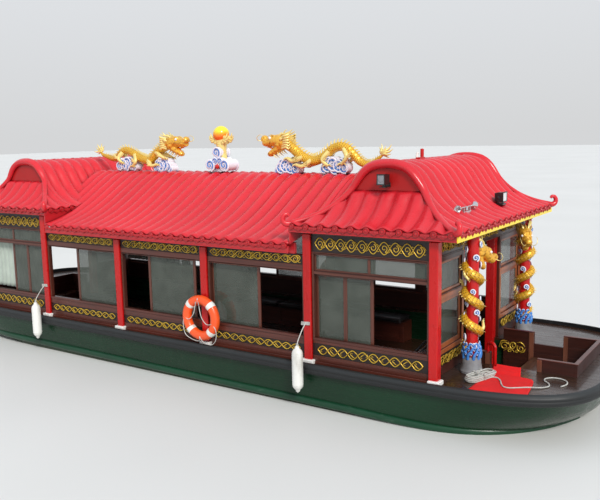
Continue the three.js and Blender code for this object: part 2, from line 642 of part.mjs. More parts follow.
// Red carpet on the foredeck, ruffled up before the starboard gate. Rows give [y, forward edge].
const clothT = 6;
const carpetAft = cabinEnd + 410;
const ruffleFrom = -980;
const ruffleStep = 26;
const ruffleHeight = 44;
const carpetRows = [[-1690, cabinEnd + 1085], [-1153, cabinEnd + 1007], [ruffleFrom - 20, cabinEnd + 950]];
const ruffles = Array.from({ length: 13 }, (_, k) => ({
  y: ruffleFrom + k * ruffleStep,
  rise: (ruffleHeight / 2) * (1 - Math.cos((k * Math.PI) / 2)),
}));
function carpetRing(y, forward, rise) {
  const low = deckZ + gap + rise;
  return [[carpetAft, y, low], [carpetAft, y, low + clothT], [forward, y, low + clothT], [forward, y, low]];
}
add('foredeck_carpet', skin([
  ...carpetRows.map(([y, forward]) => carpetRing(y, forward, 0)),
  ...ruffles.map(({ y, rise }) => carpetRing(y, cabinEnd + 800 - (y - ruffleFrom) * 0.3, rise)),
]), redCloth);

// White mooring rope: a hank by the starboard pillar and its loose end, laid over the carpet's corner
const ropeR = 9;
const onCarpet = deckZ + gap + clothT + gap;
const hankHalf = 160; // between the middle and the centre of each round end
const hankR = 100;
const hankTurn = THREE.MathUtils.degToRad(72.6);
const hankMiddle = [pillarX + 191.3, -pillarY - 199.5];
const hankOutline = new THREE.Shape().moveTo(-hankHalf, -hankR)
  .lineTo(hankHalf, -hankR)
  .absarc(hankHalf, 0, hankR, -Math.PI / 2, Math.PI / 2)
  .lineTo(-hankHalf, hankR)
  .absarc(-hankHalf, 0, hankR, Math.PI / 2, 1.5 * Math.PI);
add('mooring_rope_hank', new THREE.ExtrudeGeometry(hankOutline, { depth: 84, curveSegments: 8, bevelEnabled: false })
  .rotateZ(hankTurn).translate(...hankMiddle, onCarpet), whiteCloth);
const ropeOnCarpet = onCarpet + ropeR;
const ropeOnDeck = deckZ + gap + ropeR;
const ropeEnd = [
  [4976, -1155.3, ropeOnCarpet], [5004.6, -1164.2, ropeOnCarpet], [5033, -1174, ropeOnCarpet],
  [5090, -1250, ropeOnCarpet],
  [5140, -1360, ropeOnCarpet], [5190, -1440, ropeOnCarpet], [5255, -1458, ropeOnCarpet],
  [5335, -1410, ropeOnCarpet], [5420, -1345, ropeOnCarpet], [5510, -1295, ropeOnCarpet],
  [5590, -1240, ropeOnDeck + 1.5], [5640, -1150, ropeOnDeck + 0.2], [5610, -1050, ropeOnDeck],
  [5540, -970, ropeOnDeck], [5530, -880, ropeOnDeck], [5600, -810, ropeOnDeck],
  [5700, -810, ropeOnDeck], [5780, -880, ropeOnDeck], [5800, -990, ropeOnDeck], [5765, -1090, ropeOnDeck],
];
add('mooring_rope_end', bar(ropeEnd, ropeR, 8, 50), whiteCloth);

// Pleated curtains on rods inside the rear side windows
const curtainY = 1640;
const rodZ = deckZ + 1500;
const rodR = 9;
const headingHalf = 14; // the curtain's heading wraps the rod
const pleat = 60;
const pleatHalf = 10;
const curtainFrom = -4290;
const pleats = 23;
for (const { side, name } of sides) {
  const fold = (shift) => Array.from({ length: pleats + 1 }, (_, i) => [
    curtainFrom + i * pleat,
    side * curtainY + shift + (i % 2 ? pleatHalf : -pleatHalf),
  ]);
  const rodFrom = curtainFrom - 15;
  const rodTo = curtainFrom + pleats * pleat + 40;
  add(`curtain_${name}`, fuse(
    plate([...fold(-clothT / 2), ...fold(clothT / 2).reverse()], deckZ + 390, rodZ),
    box(curtainFrom, rodTo - 40, side * curtainY - headingHalf, side * curtainY + headingHalf, rodZ - headingHalf,
      rodZ + headingHalf),
    cylinder(rodR, [rodFrom, side * curtainY, rodZ], [rodTo, side * curtainY, rodZ], 8),
    [rodFrom + 12, rodTo - 12].map((x) => cylinder(8, [x, side * curtainY, rodZ],
      [x, side * (wallIn - gap), rodZ], 8)),
  ), whiteCloth);
}

// Lamps, horn and ridge post on the front roof. Their feet stand on the ribs.
const ribLine = raised(pavilionProfile, ribUp);
function ribHeight(d) {
  const k = ribLine.findIndex(([distance]) => distance > d);
  const [d0, z0] = ribLine[k - 1];
  const [d1, z1] = ribLine[k];
  return deckZ + z0 + ((z1 - z0) * (d - d0)) / (d1 - d0);
}
const clearOfRoof = pavilionBody(pavilionX, -gap, 0, true);
const lampX = cabinEnd + 40;
const lampY = 400;
const lampZ = ribHeight(lampX - pavilionX);
add('bow_floodlight', fuse(
  box(lampX - 70, lampX + 60, lampY - 75, lampY + 75, lampZ - 20, lampZ + 10),
  box(lampX - 12, lampX + 12, lampY - 95, lampY - 85, lampZ + 4, lampZ + 90),
  box(lampX - 12, lampX + 12, lampY + 85, lampY + 95, lampZ + 4, lampZ + 90),
  box(lampX - 12, lampX + 12, lampY - 95, lampY + 95, lampZ + 2, lampZ + 16),
  box(lampX - 70, lampX + 60, lampY - 86, lampY + 86, lampZ + 24, lampZ + 160),
).subtract(clearOfRoof), darkMetal);

const hornY = -810;
const hornX = cabinEnd + 10;
const hornZ = ribHeight(hornX - pavilionX) + 30;
add('twin_horn', fuse(
  box(hornX - 35, hornX + 35, hornY - 60, hornY + 60, hornZ - 90, hornZ),
  cylinder(16, [hornX, hornY - 250, hornZ + 10], [hornX, hornY + 250, hornZ + 10], 10),
  cylinder(20, [hornX, hornY + 180, hornZ + 10], [hornX, hornY + 290, hornZ + 10], 12, 55),
  cylinder(20, [hornX, hornY - 180, hornZ + 10], [hornX, hornY - 290, hornZ + 10], 12, 55),
).subtract(clearOfRoof), steel);

const gableLampX = pavilionX - 5;
add('gable_lamp', fuse(
  box(gableLampX - 45, gableLampX + 45, -(vergeY + 110), -(gableY + gap), deckZ + 2330, deckZ + 2370),
  box(gableLampX - 55, gableLampX + 55, -(vergeY + 150), -(gableY + 30), deckZ + 2365, deckZ + 2500),
), darkMetal);

const postY = -300;
const postFootZ = ribHeight(0) + 18;
add('ridge_post', fuse(
  cylinder(26, [pavilionX, postY, postFootZ - 10], [pavilionX, postY, deckZ + 2785], 12),
  cylinder(20, [pavilionX - 30, postY - 110, postFootZ - 10], [pavilionX - 20, postY - 100, deckZ + 2740], 8, 10),
  box(pavilionX - 30, pavilionX + 30, postY - 140, postY + 40, postFootZ - 60, postFootZ),
).subtract(clearOfRoof), redLacquer);

// Lifebuoys on the third column, and cork-white fenders hung from the second and fifth
const columnFace = columnY + columnSize / 2;
const buoyR = 265;
const buoyTube = 68;
const fenderR = 75;
for (const { side, name } of sides) {
  const buoyX = cabinEnd - 2 * bay - 10;
  const ring = new THREE.TorusGeometry(buoyR, buoyTube, 12, 24).rotateX(Math.PI / 2)
    .translate(buoyX, side * (columnFace + gap + buoyTube), deckZ + 420);
  add(`lifebuoy_${name}`, ring, orangePaint);
  [[1, 'forward'], [4, 'aft']].forEach(([k, place]) => {
    const x = cabinEnd - k * bay - 20;
    const y = side * (hullLevels.at(-1).half + fenderSeat + fenderOut + fenderR + gap);
    const low = deckZ - 330;
    const lift = low + 620;
    add(`${place}_fender_${name}`, fuse(
      cylinder(fenderR, [x, y, low + 60], [x, y, lift - 90], 12),
      cylinder(40, [x, y, low], [x, y, low + 60], 12, fenderR),
      cylinder(fenderR, [x, y, lift - 90], [x, y, lift], 12, 30),
      bar([[x, y, lift - 20], [x, y - side * 20, lift + 60], [x, y - side * 130, lift + 190],
        [x, side * (columnFace + 8 + gap), deckZ + 550]], 8, 6, 9),
    ), whitePaint);
  });
}

// Inside: padded benches along both sides of the middle cabin
const benchTop = soleZ + 430;
for (const { side, name } of sides) {
  const back = side * (wellHalf - gap);
  add(`bench_${name}`, fuse(
    box(-stepX + 120, stepX - 120, back, back - side * 420, benchTop - 90, benchTop),
    box(-stepX + 120, stepX - 120, back, back - side * 330, soleZ + gap, benchTop - 80),
  ), darkLeather);
}

// Driver's place behind the front starboard window
const wheelX = cabinEnd - 470;
const wheelY = -1180;
const wheelZ = deckZ + 190;
const wheelR = 190;
const wheelTilt = THREE.MathUtils.degToRad(35); // the hub leans back from the level
const wheelAxis = new THREE.Vector3(-Math.cos(wheelTilt), 0, Math.sin(wheelTilt));
const consoleFace = wheelX + 110;
const columnEnd = 100; // the console's bearing meets the wheel's column this far below the hub
const hub = new THREE.Vector3(wheelX, wheelY, wheelZ);
const alongHub = (d) => hub.clone().addScaledVector(wheelAxis, d).toArray();
add('helm_console', fuse(
  box(consoleFace, cabinEnd - 150, wheelY - 330, wheelY + 330, soleZ + gap, wheelZ + 60),
  cylinder(34, alongHub(-columnEnd - 80), alongHub(-columnEnd), 12),
), wallWood);
const spokes = [90, 210, 330].map((degrees) => {
  const turn = THREE.MathUtils.degToRad(degrees);
  const across = new THREE.Vector3(0, 1, 0);
  const up = new THREE.Vector3().crossVectors(wheelAxis, across);
  const tip = hub.clone().addScaledVector(across, wheelR * Math.cos(turn)).addScaledVector(up, wheelR * Math.sin(turn));
  return cylinder(9, hub.toArray(), tip.toArray(), 6);
});
const rimTurn = new THREE.Quaternion().setFromUnitVectors(new THREE.Vector3(0, 0, 1), wheelAxis);
const rim = new THREE.TorusGeometry(wheelR, 15, 8, 20).applyQuaternion(rimTurn).translate(...hub.toArray());
const column = cylinder(16, alongHub(-columnEnd + gap), alongHub(10), 10);
add('helm_wheel', fuse(rim, spokes, column, cylinder(34, alongHub(-12), alongHub(22), 12)), darkMetal);
add('driver_seat', fuse(
  box(wheelX - 620, wheelX - 250, wheelY - 210, wheelY + 210, soleZ + 370, soleZ + 440),
  box(wheelX - 530, wheelX - 340, wheelY - 110, wheelY + 110, soleZ + gap, soleZ + 380),
), darkLeather);

// Engine under a box in the rear cabin, with the shaft, propeller and rudder
const engineX = -(stepX + 700);
add('engine', box(engineX - 450, engineX + 450, -300, 300, soleZ + gap, soleZ + 480), darkMetal);
const bladeR = 180;
const bladeTilt = THREE.MathUtils.degToRad(32);
const hubBody = cylinder(34, [propellerX - 60, 0, shaftZ], [skegFace - 0.5, 0, shaftZ], 12, 40);
const shaftBody = cylinder(stockR, [propellerX, 0, shaftZ], [propellerX + 440, 0, shaftZ], 12);
const blades = [0, 120, 240].map((degrees) => {
  const blade = new THREE.Shape();
  blade.moveTo(-18, 20);
  blade.quadraticCurveTo(-80, 110, -20, bladeR);
  blade.quadraticCurveTo(60, 160, 18, 20);
  return new THREE.ExtrudeGeometry(blade, { depth: 8, curveSegments: 4, bevelEnabled: false })
    .translate(0, 0, -4).rotateX(Math.PI / 2).rotateZ(Math.PI / 2 - bladeTilt)
    .rotateX(THREE.MathUtils.degToRad(degrees))
    .translate(propellerX, 0, shaftZ);
});
add('propeller', fuse(hubBody, shaftBody, blades), bronze);

const rudderLow = 45;
const rudderHigh = 440;
add('rudder', fuse(
  cylinder(stockR, [rudderX, 0, rudderHigh - 60], [rudderX, 0, deckZ + 90], 12),
  plate([[-230, -8], [-60, -22], [60, -20], [100, -8], [100, 8], [60, 20], [-60, 22], [-230, 8]],
    rudderLow, rudderHigh).translate(rudderX, 0, 0),
  cylinder(34, [rudderX, 0, deckZ + gap], [rudderX, 0, deckZ + 50], 12),
), steel);

export default boat;
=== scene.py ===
import random
from math import atan2, copysign, cos, hypot, pi, radians, sin

import bmesh
import bpy
import numpy as np
from mathutils import Matrix, Vector


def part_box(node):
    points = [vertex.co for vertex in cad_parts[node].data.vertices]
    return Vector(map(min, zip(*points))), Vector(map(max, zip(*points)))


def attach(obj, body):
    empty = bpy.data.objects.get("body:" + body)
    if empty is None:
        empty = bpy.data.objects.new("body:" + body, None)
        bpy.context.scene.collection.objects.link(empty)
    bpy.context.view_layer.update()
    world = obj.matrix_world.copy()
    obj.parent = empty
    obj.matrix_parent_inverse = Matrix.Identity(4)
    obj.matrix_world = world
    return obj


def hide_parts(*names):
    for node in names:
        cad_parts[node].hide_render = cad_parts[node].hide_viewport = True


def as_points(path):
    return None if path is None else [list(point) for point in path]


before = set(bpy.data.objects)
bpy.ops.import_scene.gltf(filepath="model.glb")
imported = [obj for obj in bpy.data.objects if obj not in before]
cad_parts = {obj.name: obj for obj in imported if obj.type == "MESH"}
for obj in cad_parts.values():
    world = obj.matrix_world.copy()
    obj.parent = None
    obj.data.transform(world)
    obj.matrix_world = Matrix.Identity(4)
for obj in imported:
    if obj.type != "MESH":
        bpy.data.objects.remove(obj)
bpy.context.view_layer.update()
scene = bpy.context.scene
starboard, port = -1, 1
sideNames = {starboard: "starboard", port: "port"}
endNames = {1: "front", -1: "rear"}

# Main places in metres, as the frame has them: +X to the bow, +Y to port, +Z up
boat = {"deck": 1.03, "waterline": 0.45, "bay": 1.78, "cabinEnd": 4.45, "stepX": 2.67, "columnY": 1.74,
    "wallIn": 1.695, "wallOut": 1.755, "sole": 0.53, "pavilionX": 3.615, "endWall": (4.33, 4.39), "sill": 1.39}
deck = boat["deck"]
deckFace, soleFace, columnFace = 1.0303, boat["sole"] + 0.0003, 1.8003  # 0.3 mm clear of what they stand for


# Camera at the photograph's own viewpoint
photoView = {"place": (8.001, -9.882, 4.047), "yaw": 34.194, "pitch": 8.745, "roll": -1.197, "focal": 754.342,
    "centre": (295.572, 250.0), "size": (600, 500), "sensor": 36.0}


def makeCamera():
    yaw, pitch, roll = (radians(photoView[k]) for k in ("yaw", "pitch", "roll"))
    ahead = Vector((-sin(yaw) * cos(pitch), cos(yaw) * cos(pitch), -sin(pitch)))
    right = Vector((cos(yaw), sin(yaw), 0))
    up = right.cross(ahead)
    rightRolled = cos(roll) * right + sin(roll) * up
    upRolled = -sin(roll) * right + cos(roll) * up
    data = bpy.data.cameras.new("photoCamera")
    width = photoView["size"][0]
    data.sensor_width = photoView["sensor"]
    data.lens = photoView["focal"] * photoView["sensor"] / width
    data.shift_x = (width / 2 - photoView["centre"][0]) / width
    data.clip_end = 500
    camera = bpy.data.objects.new("photoCamera", data)
    camera.matrix_world = Matrix(((rightRolled.x, upRolled.x, -ahead.x, photoView["place"][0]),
        (rightRolled.y, upRolled.y, -ahead.y, photoView["place"][1]), (rightRolled.z, upRolled.z, -ahead.z,
        photoView["place"][2]), (0, 0, 0, 1)))
    scene.collection.objects.link(camera)
    scene.camera = camera


makeCamera()
print("camera placed")


# Node helpers, for materials and Geometry Nodes alike
def setInput(tree, socket, value):
    if isinstance(value, bpy.types.NodeSocket):
        tree.links.new(value, socket)
    elif value is not None:
        socket.default_value = value


def addNode(tree, kind, inputs=None, **settings):
    node = tree.nodes.new(kind)
    for key, value in settings.items():
        setattr(node, key, value)
    for key, value in (inputs or {}).items():
        setInput(tree, node.inputs[key], value)
    return node


def calc(tree, operation, a, b=None, c=None, clamp=False):
    return addNode(tree, "ShaderNodeMath", {0: a, 1: b, 2: c}, operation=operation, use_clamp=clamp).outputs[0]


def mixColor(tree, factor, a, b):
    return addNode(tree, "ShaderNodeMix", {0: factor, 6: a, 7: b}, data_type="RGBA").outputs[2]


def rampOf(tree, factor, stops):
    ramp = addNode(tree, "ShaderNodeValToRGB", {0: factor})
    elements = ramp.color_ramp.elements
    while len(elements) < len(stops):
        elements.new(0.5)
    for element, (place, value) in zip(elements, stops):
        element.position = place
        element.color = value if len(value) == 4 else (*value, 1)
    return ramp.outputs[0]


def grey(value):
    return (value, value, value)


# A factor that runs from one grey to another between two of its values
def greys(tree, factor, first, last, low=0, high=1):
    stops = [(first, grey(low)), (last, grey(high))]
    return rampOf(tree, factor, stops)


def shade(color, factor):
    return tuple(min(1.0, c * factor) for c in color[:3]) + (1.0,)


# Finishes
def newFinish(name):
    material = bpy.data.materials.new(name)
    material.use_nodes = True
    tree = material.node_tree
    shader = tree.nodes["Principled BSDF"]
    place = addNode(tree, "ShaderNodeTexCoord").outputs["Object"]
    return material, tree, shader, place


def fill(tree, shader, values):
    for label, value in values.items():
        setInput(tree, shader.inputs[label], value)


# The UV map's two lengths
def clothPlace(tree):
    return addNode(tree, "ShaderNodeSeparateXYZ", {0: addNode(tree, "ShaderNodeTexCoord").outputs["UV"]}).outputs


def noiseOf(tree, place, scale, detail=4, stretch=None, rough=0.55):
    if stretch:
        place = addNode(tree, "ShaderNodeMapping", {"Vector": place, "Scale": stretch}).outputs[0]
    return addNode(tree, "ShaderNodeTexNoise", {"Vector": place, "Scale": scale, "Detail": detail,
        "Roughness": rough}).outputs[0]


def bumpFrom(tree, shader, height, strength, distance):
    bump = addNode(tree, "ShaderNodeBump", {"Height": height, "Strength": strength, "Distance": distance})
    setInput(tree, shader.inputs["Normal"], bump.outputs[0])


# A painted, lacquered or moulded surface: broad fading, fine mottling, wear, painted shade in its hollows if asked,
# and a skin of small bumps
def paintFinish(name, color, rough=0.35, metal=0.0, coat=0.0, fade=0.12, fadeScale=1.3, mottle=0.1, mottleScale=14.0,
        bump=0.15, bumpScale=45.0, bumpDepth=0.002, stretch=None, dust=None, creviceShade=None, specular=0.5):
    material, tree, shader, place = newFinish(name)
    broad = noiseOf(tree, place, fadeScale, 3, stretch)
    fine = noiseOf(tree, place, mottleScale, 5, stretch)
    base = mixColor(tree, greys(tree, broad, 0.3, 0.7), shade(color, 1 - fade), shade(color, 1 + fade))
    base = mixColor(tree, greys(tree, fine, 0.35, 0.75), base, mixColor(tree, mottle, base, shade(color, 1.5)))
    if dust:
        grime = noiseOf(tree, place, dust["scale"], 6, dust.get("stretch"))
        base = mixColor(tree, greys(tree, grime, dust["from"], dust["to"], 0, dust["most"]), base,
            (*dust["color"], 1))
    # Painted shade: the colour darkens in hollows and creases, where ambient occlusion finds little open sky
    if creviceShade:
        hollow = addNode(tree, "ShaderNodeAmbientOcclusion", {"Distance": creviceShade["reach"]}, samples=6)
        base = mixColor(tree, greys(tree, hollow.outputs["AO"], 0.35, 0.95, creviceShade["most"], 0), base,
            (*creviceShade["color"], 1))
    setInput(tree, shader.inputs["Base Color"], base)
    gloss = greys(tree, fine, 0.25, 0.8, max(0.03, rough - 0.1), min(1, rough + 0.12))
    fill(tree, shader, {"Roughness": gloss, "Metallic": metal, "Coat Weight": coat, "Coat Roughness": 0.12,
        "Specular IOR Level": specular})
    bumpFrom(tree, shader, noiseOf(tree, place, bumpScale, 3, stretch), bump, bumpDepth)
    return material


# Varnished timber: long grain along one axis, growth bands, pores, and, if asked, boards that each have their own
# grain and tone
def woodFinish(name, color, along="x", rough=0.3, coat=0.4, grain=0.35, boards=None, darkLine=0.25):
    material, tree, shader, place = newFinish(name)
    stretch = {"x": (0.12, 2.2, 2.2), "y": (2.2, 0.12, 2.2), "z": (2.2, 2.2, 0.12)}[along]
    if boards:
        parts = addNode(tree, "ShaderNodeSeparateXYZ", {0: place})
        across = parts.outputs[{"x": "X", "y": "Y", "z": "Z"}[boards["across"]]]
        number = calc(tree, "FLOOR", calc(tree, "DIVIDE", across, boards["width"]))
        each = addNode(tree, "ShaderNodeTexWhiteNoise", {"W": number}, noise_dimensions="1D").outputs["Value"]
        shift = addNode(tree, "ShaderNodeCombineXYZ", {0: calc(tree, "MULTIPLY", number, 3.7), 1: each})
        place = addNode(tree, "ShaderNodeVectorMath", {0: place, 1: shift.outputs[0]}, operation="ADD").outputs[0]
    bands = noiseOf(tree, place, 9, 6, stretch, 0.62)
    pores = noiseOf(tree, place, 42, 4, stretch, 0.7)
    base = mixColor(tree, greys(tree, bands, 0.3, 0.72), shade(color, 1 - grain), shade(color, 1 + grain))
    base = mixColor(tree, greys(tree, pores, 0.56, 0.7, 0, darkLine), base, shade(color, 0.3))
    if boards:
        base = mixColor(tree, calc(tree, "MULTIPLY", each, boards["vary"]), base, shade(color, 1.7))
    worn = noiseOf(tree, place, 2.1, 5)
    base = mixColor(tree, greys(tree, worn, 0.6, 0.85, 0, 0.22), base, shade(color, 2.1))
    fill(tree, shader, {"Base Color": base, "Roughness": greys(tree, worn, 0.3, 0.75, rough, rough + 0.2),
        "Coat Weight": coat, "Coat Roughness": 0.1})
    bumpFrom(tree, shader, pores, 0.22, 0.0015)
    return material


# Hull paint: gloss green with rain streaks, scuffs and a dull stain just over the water
def hullFinish():
    material, tree, shader, place = newFinish("hullGreenPaint")
    color = (0.004, 0.028, 0.011)
    parts = addNode(tree, "ShaderNodeSeparateXYZ", {0: place})
    broad = noiseOf(tree, place, 0.9, 3, (0.5, 0.5, 2.0))
    streaks = noiseOf(tree, place, 5, 5, (1.6, 1.6, 0.12))
    scuffs = noiseOf(tree, place, 7, 7, (0.35, 1.0, 2.4), 0.7)
    base = mixColor(tree, greys(tree, broad, 0.3, 0.7), shade(color, 0.75), shade(color, 1.3))
    base = mixColor(tree, greys(tree, streaks, 0.55, 0.8, 0, 0.3), base, (0.008, 0.045, 0.02, 1))
    base = mixColor(tree, greys(tree, scuffs, 0.63, 0.78, 0, 0.25), base, (0.06, 0.11, 0.08, 1))
    height = addNode(tree, "ShaderNodeMapRange", {"Value": calc(tree, "ADD", parts.outputs["Z"],
        calc(tree, "MULTIPLY", streaks, 0.06)), "From Min": 0.46, "From Max": 0.58, "To Min": 0.6,
        "To Max": 0.0}).outputs[0]
    base = mixColor(tree, height, base, (0.055, 0.062, 0.035, 1))
    fill(tree, shader, {"Base Color": base, "Roughness": greys(tree, scuffs, 0.35, 0.75, 0.2, 0.42),
        "Coat Weight": 0.05, "Specular IOR Level": 0.3})
    bumpFrom(tree, shader, noiseOf(tree, place, 3.2, 3), 0.2, 0.02)
    return material


# Rubber fender: dark, with a painted highlight that makes its upper face lighter, and long scrape marks
def rubberFinish():
    material, tree, shader, place = newFinish("fenderRubber")
    scrapes = noiseOf(tree, place, 6, 7, (0.3, 0.6, 3.5), 0.7)
    facing = addNode(tree, "ShaderNodeSeparateXYZ", {0: addNode(tree, "ShaderNodeNewGeometry").outputs["Normal"]})
    # Painted highlight: faces turned up are lighter, as the fender's top catches the light
    upward = greys(tree, facing.outputs["Z"], 0.1, 0.8)
    base = mixColor(tree, upward, (0.006, 0.007, 0.008, 1), (0.018, 0.021, 0.022, 1))
    base = mixColor(tree, greys(tree, scrapes, 0.58, 0.78, 0, 0.35), base, (0.1, 0.105, 0.105, 1))
    fill(tree, shader, {"Base Color": base, "Roughness": greys(tree, scrapes, 0.3, 0.8, 0.42, 0.75)})
    bumpFrom(tree, shader, scrapes, 0.35, 0.006)
    return material


# Window glass: clear enough to see through, grey-green, faintly dusty
def glassFinish():
    material, tree, shader, place = newFinish("cabinGlass")
    dust = noiseOf(tree, place, 3.5, 5)
    fill(tree, shader, {"Base Color": mixColor(tree, greys(tree, dust, 0.4, 0.8), (0.075, 0.088, 0.072, 1),
        (0.11, 0.125, 0.105, 1)), "Roughness": greys(tree, dust, 0.4, 0.85, 0.02, 0.12), "Alpha": greys(tree, dust,
        0.35, 0.8, 0.62, 0.74)})
    bumpFrom(tree, shader, noiseOf(tree, place, 1.6, 2), 0.12, 0.01)
    return material


# Cloth on its own UV map, in metres of cloth: threads both ways, soft nap and folds of wear
def clothFinish(name, color, threads=420.0, depth=0.0006, vary=0.15, stripes=None, sheen=0.3):
    material, tree, shader, place = newFinish(name)
    uv = clothPlace(tree)
    warp, weft = (calc(tree, "SINE", calc(tree, "MULTIPLY", uv[axis], threads)) for axis in ("X", "Y"))
    weave = calc(tree, "MULTIPLY", calc(tree, "ADD", calc(tree, "MULTIPLY", warp, weft), 1), 0.5)
    wear = noiseOf(tree, place, 5, 6)
    base = mixColor(tree, greys(tree, wear, 0.3, 0.75), shade(color, 1 - vary), shade(color, 1 + vary))
    base = mixColor(tree, calc(tree, "MULTIPLY", weave, 0.25), base, shade(color, 0.55))
    if stripes:
        wave = calc(tree, "PINGPONG", uv["X"], stripes["pitch"] / 2)
        mark = greys(tree, calc(tree, "DIVIDE", wave, stripes["pitch"] / 2), 0.82, 0.9)
        base = mixColor(tree, mark, base, (*stripes["color"], 1))
    fill(tree, shader, {"Base Color": base, "Roughness": greys(tree, wear, 0.3, 0.8, 0.75, 0.92),
        "Sheen Weight": sheen, "Sheen Roughness": 0.5})
    bumpFrom(tree, shader, weave, 0.4, depth)
    return material


# Laid rope: yarns turning round the line, with painted shade in the grooves between them, on a UV map with u along it
# in metres and v round it
def ropeFinish(name, color, pitch=0.03):
    material, tree, shader, place = newFinish(name)
    uv = clothPlace(tree)
    turn = calc(tree, "ADD", calc(tree, "DIVIDE", uv["X"], pitch), uv["Y"])
    yarn = calc(tree, "PINGPONG", calc(tree, "MULTIPLY", turn, 12), 0.5)
    wear = noiseOf(tree, place, 20, 4)
    base = mixColor(tree, greys(tree, wear, 0.35, 0.75), shade(color, 0.72), shade(color, 1.05))
    # Painted shade: the colour darkens in the grooves between the yarns
    base = mixColor(tree, greys(tree, yarn, 0.0, 0.35, 0.35, 0), base, shade(color, 0.4))
    fill(tree, shader, {"Base Color": base, "Roughness": greys(tree, wear, 0.3, 0.8, 0.65, 0.85)})
    bumpFrom(tree, shader, yarn, 0.6, 0.0015)
    return material


finish = {"hull": hullFinish(), "rubber": rubberFinish(), "glass": glassFinish(),
    "rail": paintFinish("railGreenPaint", (0.006, 0.045, 0.02), 0.35, fade=0.2, coat=0.05, specular=0.35,
    dust={"color": (0.16, 0.2, 0.17), "scale": 9, "from": 0.6, "to": 0.8, "most": 0.4, "stretch": (0.4, 0.8, 2)}),
    "deck": woodFinish("deckVarnish", (0.03, 0.013, 0.007), "x", 0.2, 0.3, 0.4, {"across": "y", "width": 0.12,
    "vary": 0.25}), "wall": woodFinish("wallBoards", (0.042, 0.01, 0.006), "x", 0.32, 0.15, 0.35),
    "board": woodFinish("sillBoards", (0.085, 0.018, 0.01), "x", 0.32, 0.15, 0.4), "post": woodFinish("postBoards",
    (0.062, 0.014, 0.008), "z", 0.32, 0.15, 0.35), "sash": woodFinish("sashWood", (0.1, 0.026, 0.014), "z", 0.34,
    0.12, 0.3), "sashRail": woodFinish("sashRailWood", (0.095, 0.024, 0.013), "x", 0.34, 0.12, 0.3),
    "frontFrame": woodFinish("frontFrameWood", (0.32, 0.09, 0.025), "z", 0.3, 0.2, 0.25),
    "ground": paintFinish("carvingGround", (0.014, 0.006, 0.005), 0.5, mottle=0.2), "red": paintFinish("redLacquer",
    (0.46, 0.006, 0.006), 0.3, coat=0.1, specular=0.35, fade=0.14, stretch=(1, 1, 0.4),
    dust={"color": (0.18, 0.01, 0.01), "scale": 6, "from": 0.58, "to": 0.85, "most": 0.35}),
    # Roof, eave tiles and gilding darken in their hollows: painted shade, deepest in the valleys between the roof's
    # ribs
    "roof": paintFinish("roofRed", (0.6, 0.018, 0.028), 0.3, coat=0.12, specular=0.4, fade=0.1, fadeScale=0.7,
    mottle=0.12, mottleScale=7, bump=0.1, bumpScale=20, dust={"color": (0.35, 0.02, 0.02), "scale": 2.2, "from": 0.6,
    "to": 0.85, "most": 0.3}, creviceShade={"reach": 0.09, "most": 0.85, "color": (0.16, 0.002, 0.006)}),
    "tileEnd": paintFinish("eaveRed", (0.46, 0.012, 0.018), 0.35, coat=0.12, fade=0.15, creviceShade={"reach": 0.03,
    "most": 0.7, "color": (0.12, 0.004, 0.006)}), "yellow": paintFinish("eaveYellow", (0.92, 0.68, 0.008), 0.35,
    coat=0.2, fade=0.08, dust={"color": (0.5, 0.3, 0.02), "scale": 12, "from": 0.6, "to": 0.85, "most": 0.35}),
    "gold": paintFinish("carvingGold", (0.62, 0.4, 0.045), 0.38, metal=0.45, fade=0.2, mottle=0.25,
    creviceShade={"reach": 0.02, "most": 0.8, "color": (0.1, 0.04, 0.008)}), "white": paintFinish("blockWhite",
    (0.8, 0.8, 0.77), 0.45, fade=0.06, dust={"color": (0.3, 0.28, 0.24), "scale": 16, "from": 0.55, "to": 0.8,
    "most": 0.5}), "gable": paintFinish("gableRed", (0.36, 0.008, 0.008), 0.4, coat=0.05, fade=0.08, specular=0.3)}
print("finishes made:", len(finish))


# Mesh helpers
def wrapMesh(name, mesh, material, smooth=38):
    mesh.update()
    mesh.polygons.foreach_set("use_smooth", [smooth > 0] * len(mesh.polygons))
    if smooth:
        mesh.set_sharp_from_angle(angle=radians(smooth))
    mesh.materials.clear()
    mesh.materials.append(material)
    obj = bpy.data.objects.new(name, mesh)
    scene.collection.objects.link(obj)
    return obj


def makeMesh(name, verts, faces):
    mesh = bpy.data.meshes.new(name)
    mesh.from_pydata([tuple(v) for v in verts], [], faces)
    return mesh


def makePiece(name, verts, faces, material, smooth=38):
    return wrapMesh(name, makeMesh(name, verts, faces), material, smooth)


def settle(obj, slotName, body="boat", nodes=()):
    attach(obj, body)
    if nodes:
        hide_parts(*([nodes] if isinstance(nodes, str) else nodes))
    return obj


def soften(obj, width, segments=2):
    bevel = obj.modifiers.new("edges", "BEVEL")
    bevel.width = width
    bevel.segments = segments
    bevel.limit_method = "ANGLE"
    bevel.angle_limit = radians(35)
    bevel.harden_normals = True
    return obj


def fixNormals(obj):
    bm = bmesh.new()
    bm.from_mesh(obj.data)
    bmesh.ops.remove_doubles(bm, verts=bm.verts, dist=1e-6)
    bmesh.ops.recalc_face_normals(bm, faces=bm.faces)
    bm.to_mesh(obj.data)
    bm.free()
    return obj


# The object's mesh with its modifiers applied
def baked(obj):
    return bpy.data.meshes.new_from_object(obj.evaluated_get(bpy.context.evaluated_depsgraph_get()))


def clearAway(*objects):
    for obj in objects:
        bpy.data.objects.remove(obj)


def joinShapes(shapes):
    verts, faces = [], []
    for shapeVerts, shapeFaces in shapes:
        base = len(verts)
        verts.extend(shapeVerts)
        faces.extend([base + i for i in face] for face in shapeFaces)
    return verts, faces


def boxShape(x0, x1, y0, y1, z0, z1):
    x0, x1 = sorted((x0, x1))
    y0, y1 = sorted((y0, y1))
    verts = [(x, y, z) for z in (z0, z1) for x, y in ((x0, y0), (x1, y0), (x1, y1), (x0, y1))]
    return verts, [(3, 2, 1, 0), (4, 5, 6, 7), (0, 1, 5, 4), (1, 2, 6, 5), (2, 3, 7, 6), (3, 0, 4, 7)]


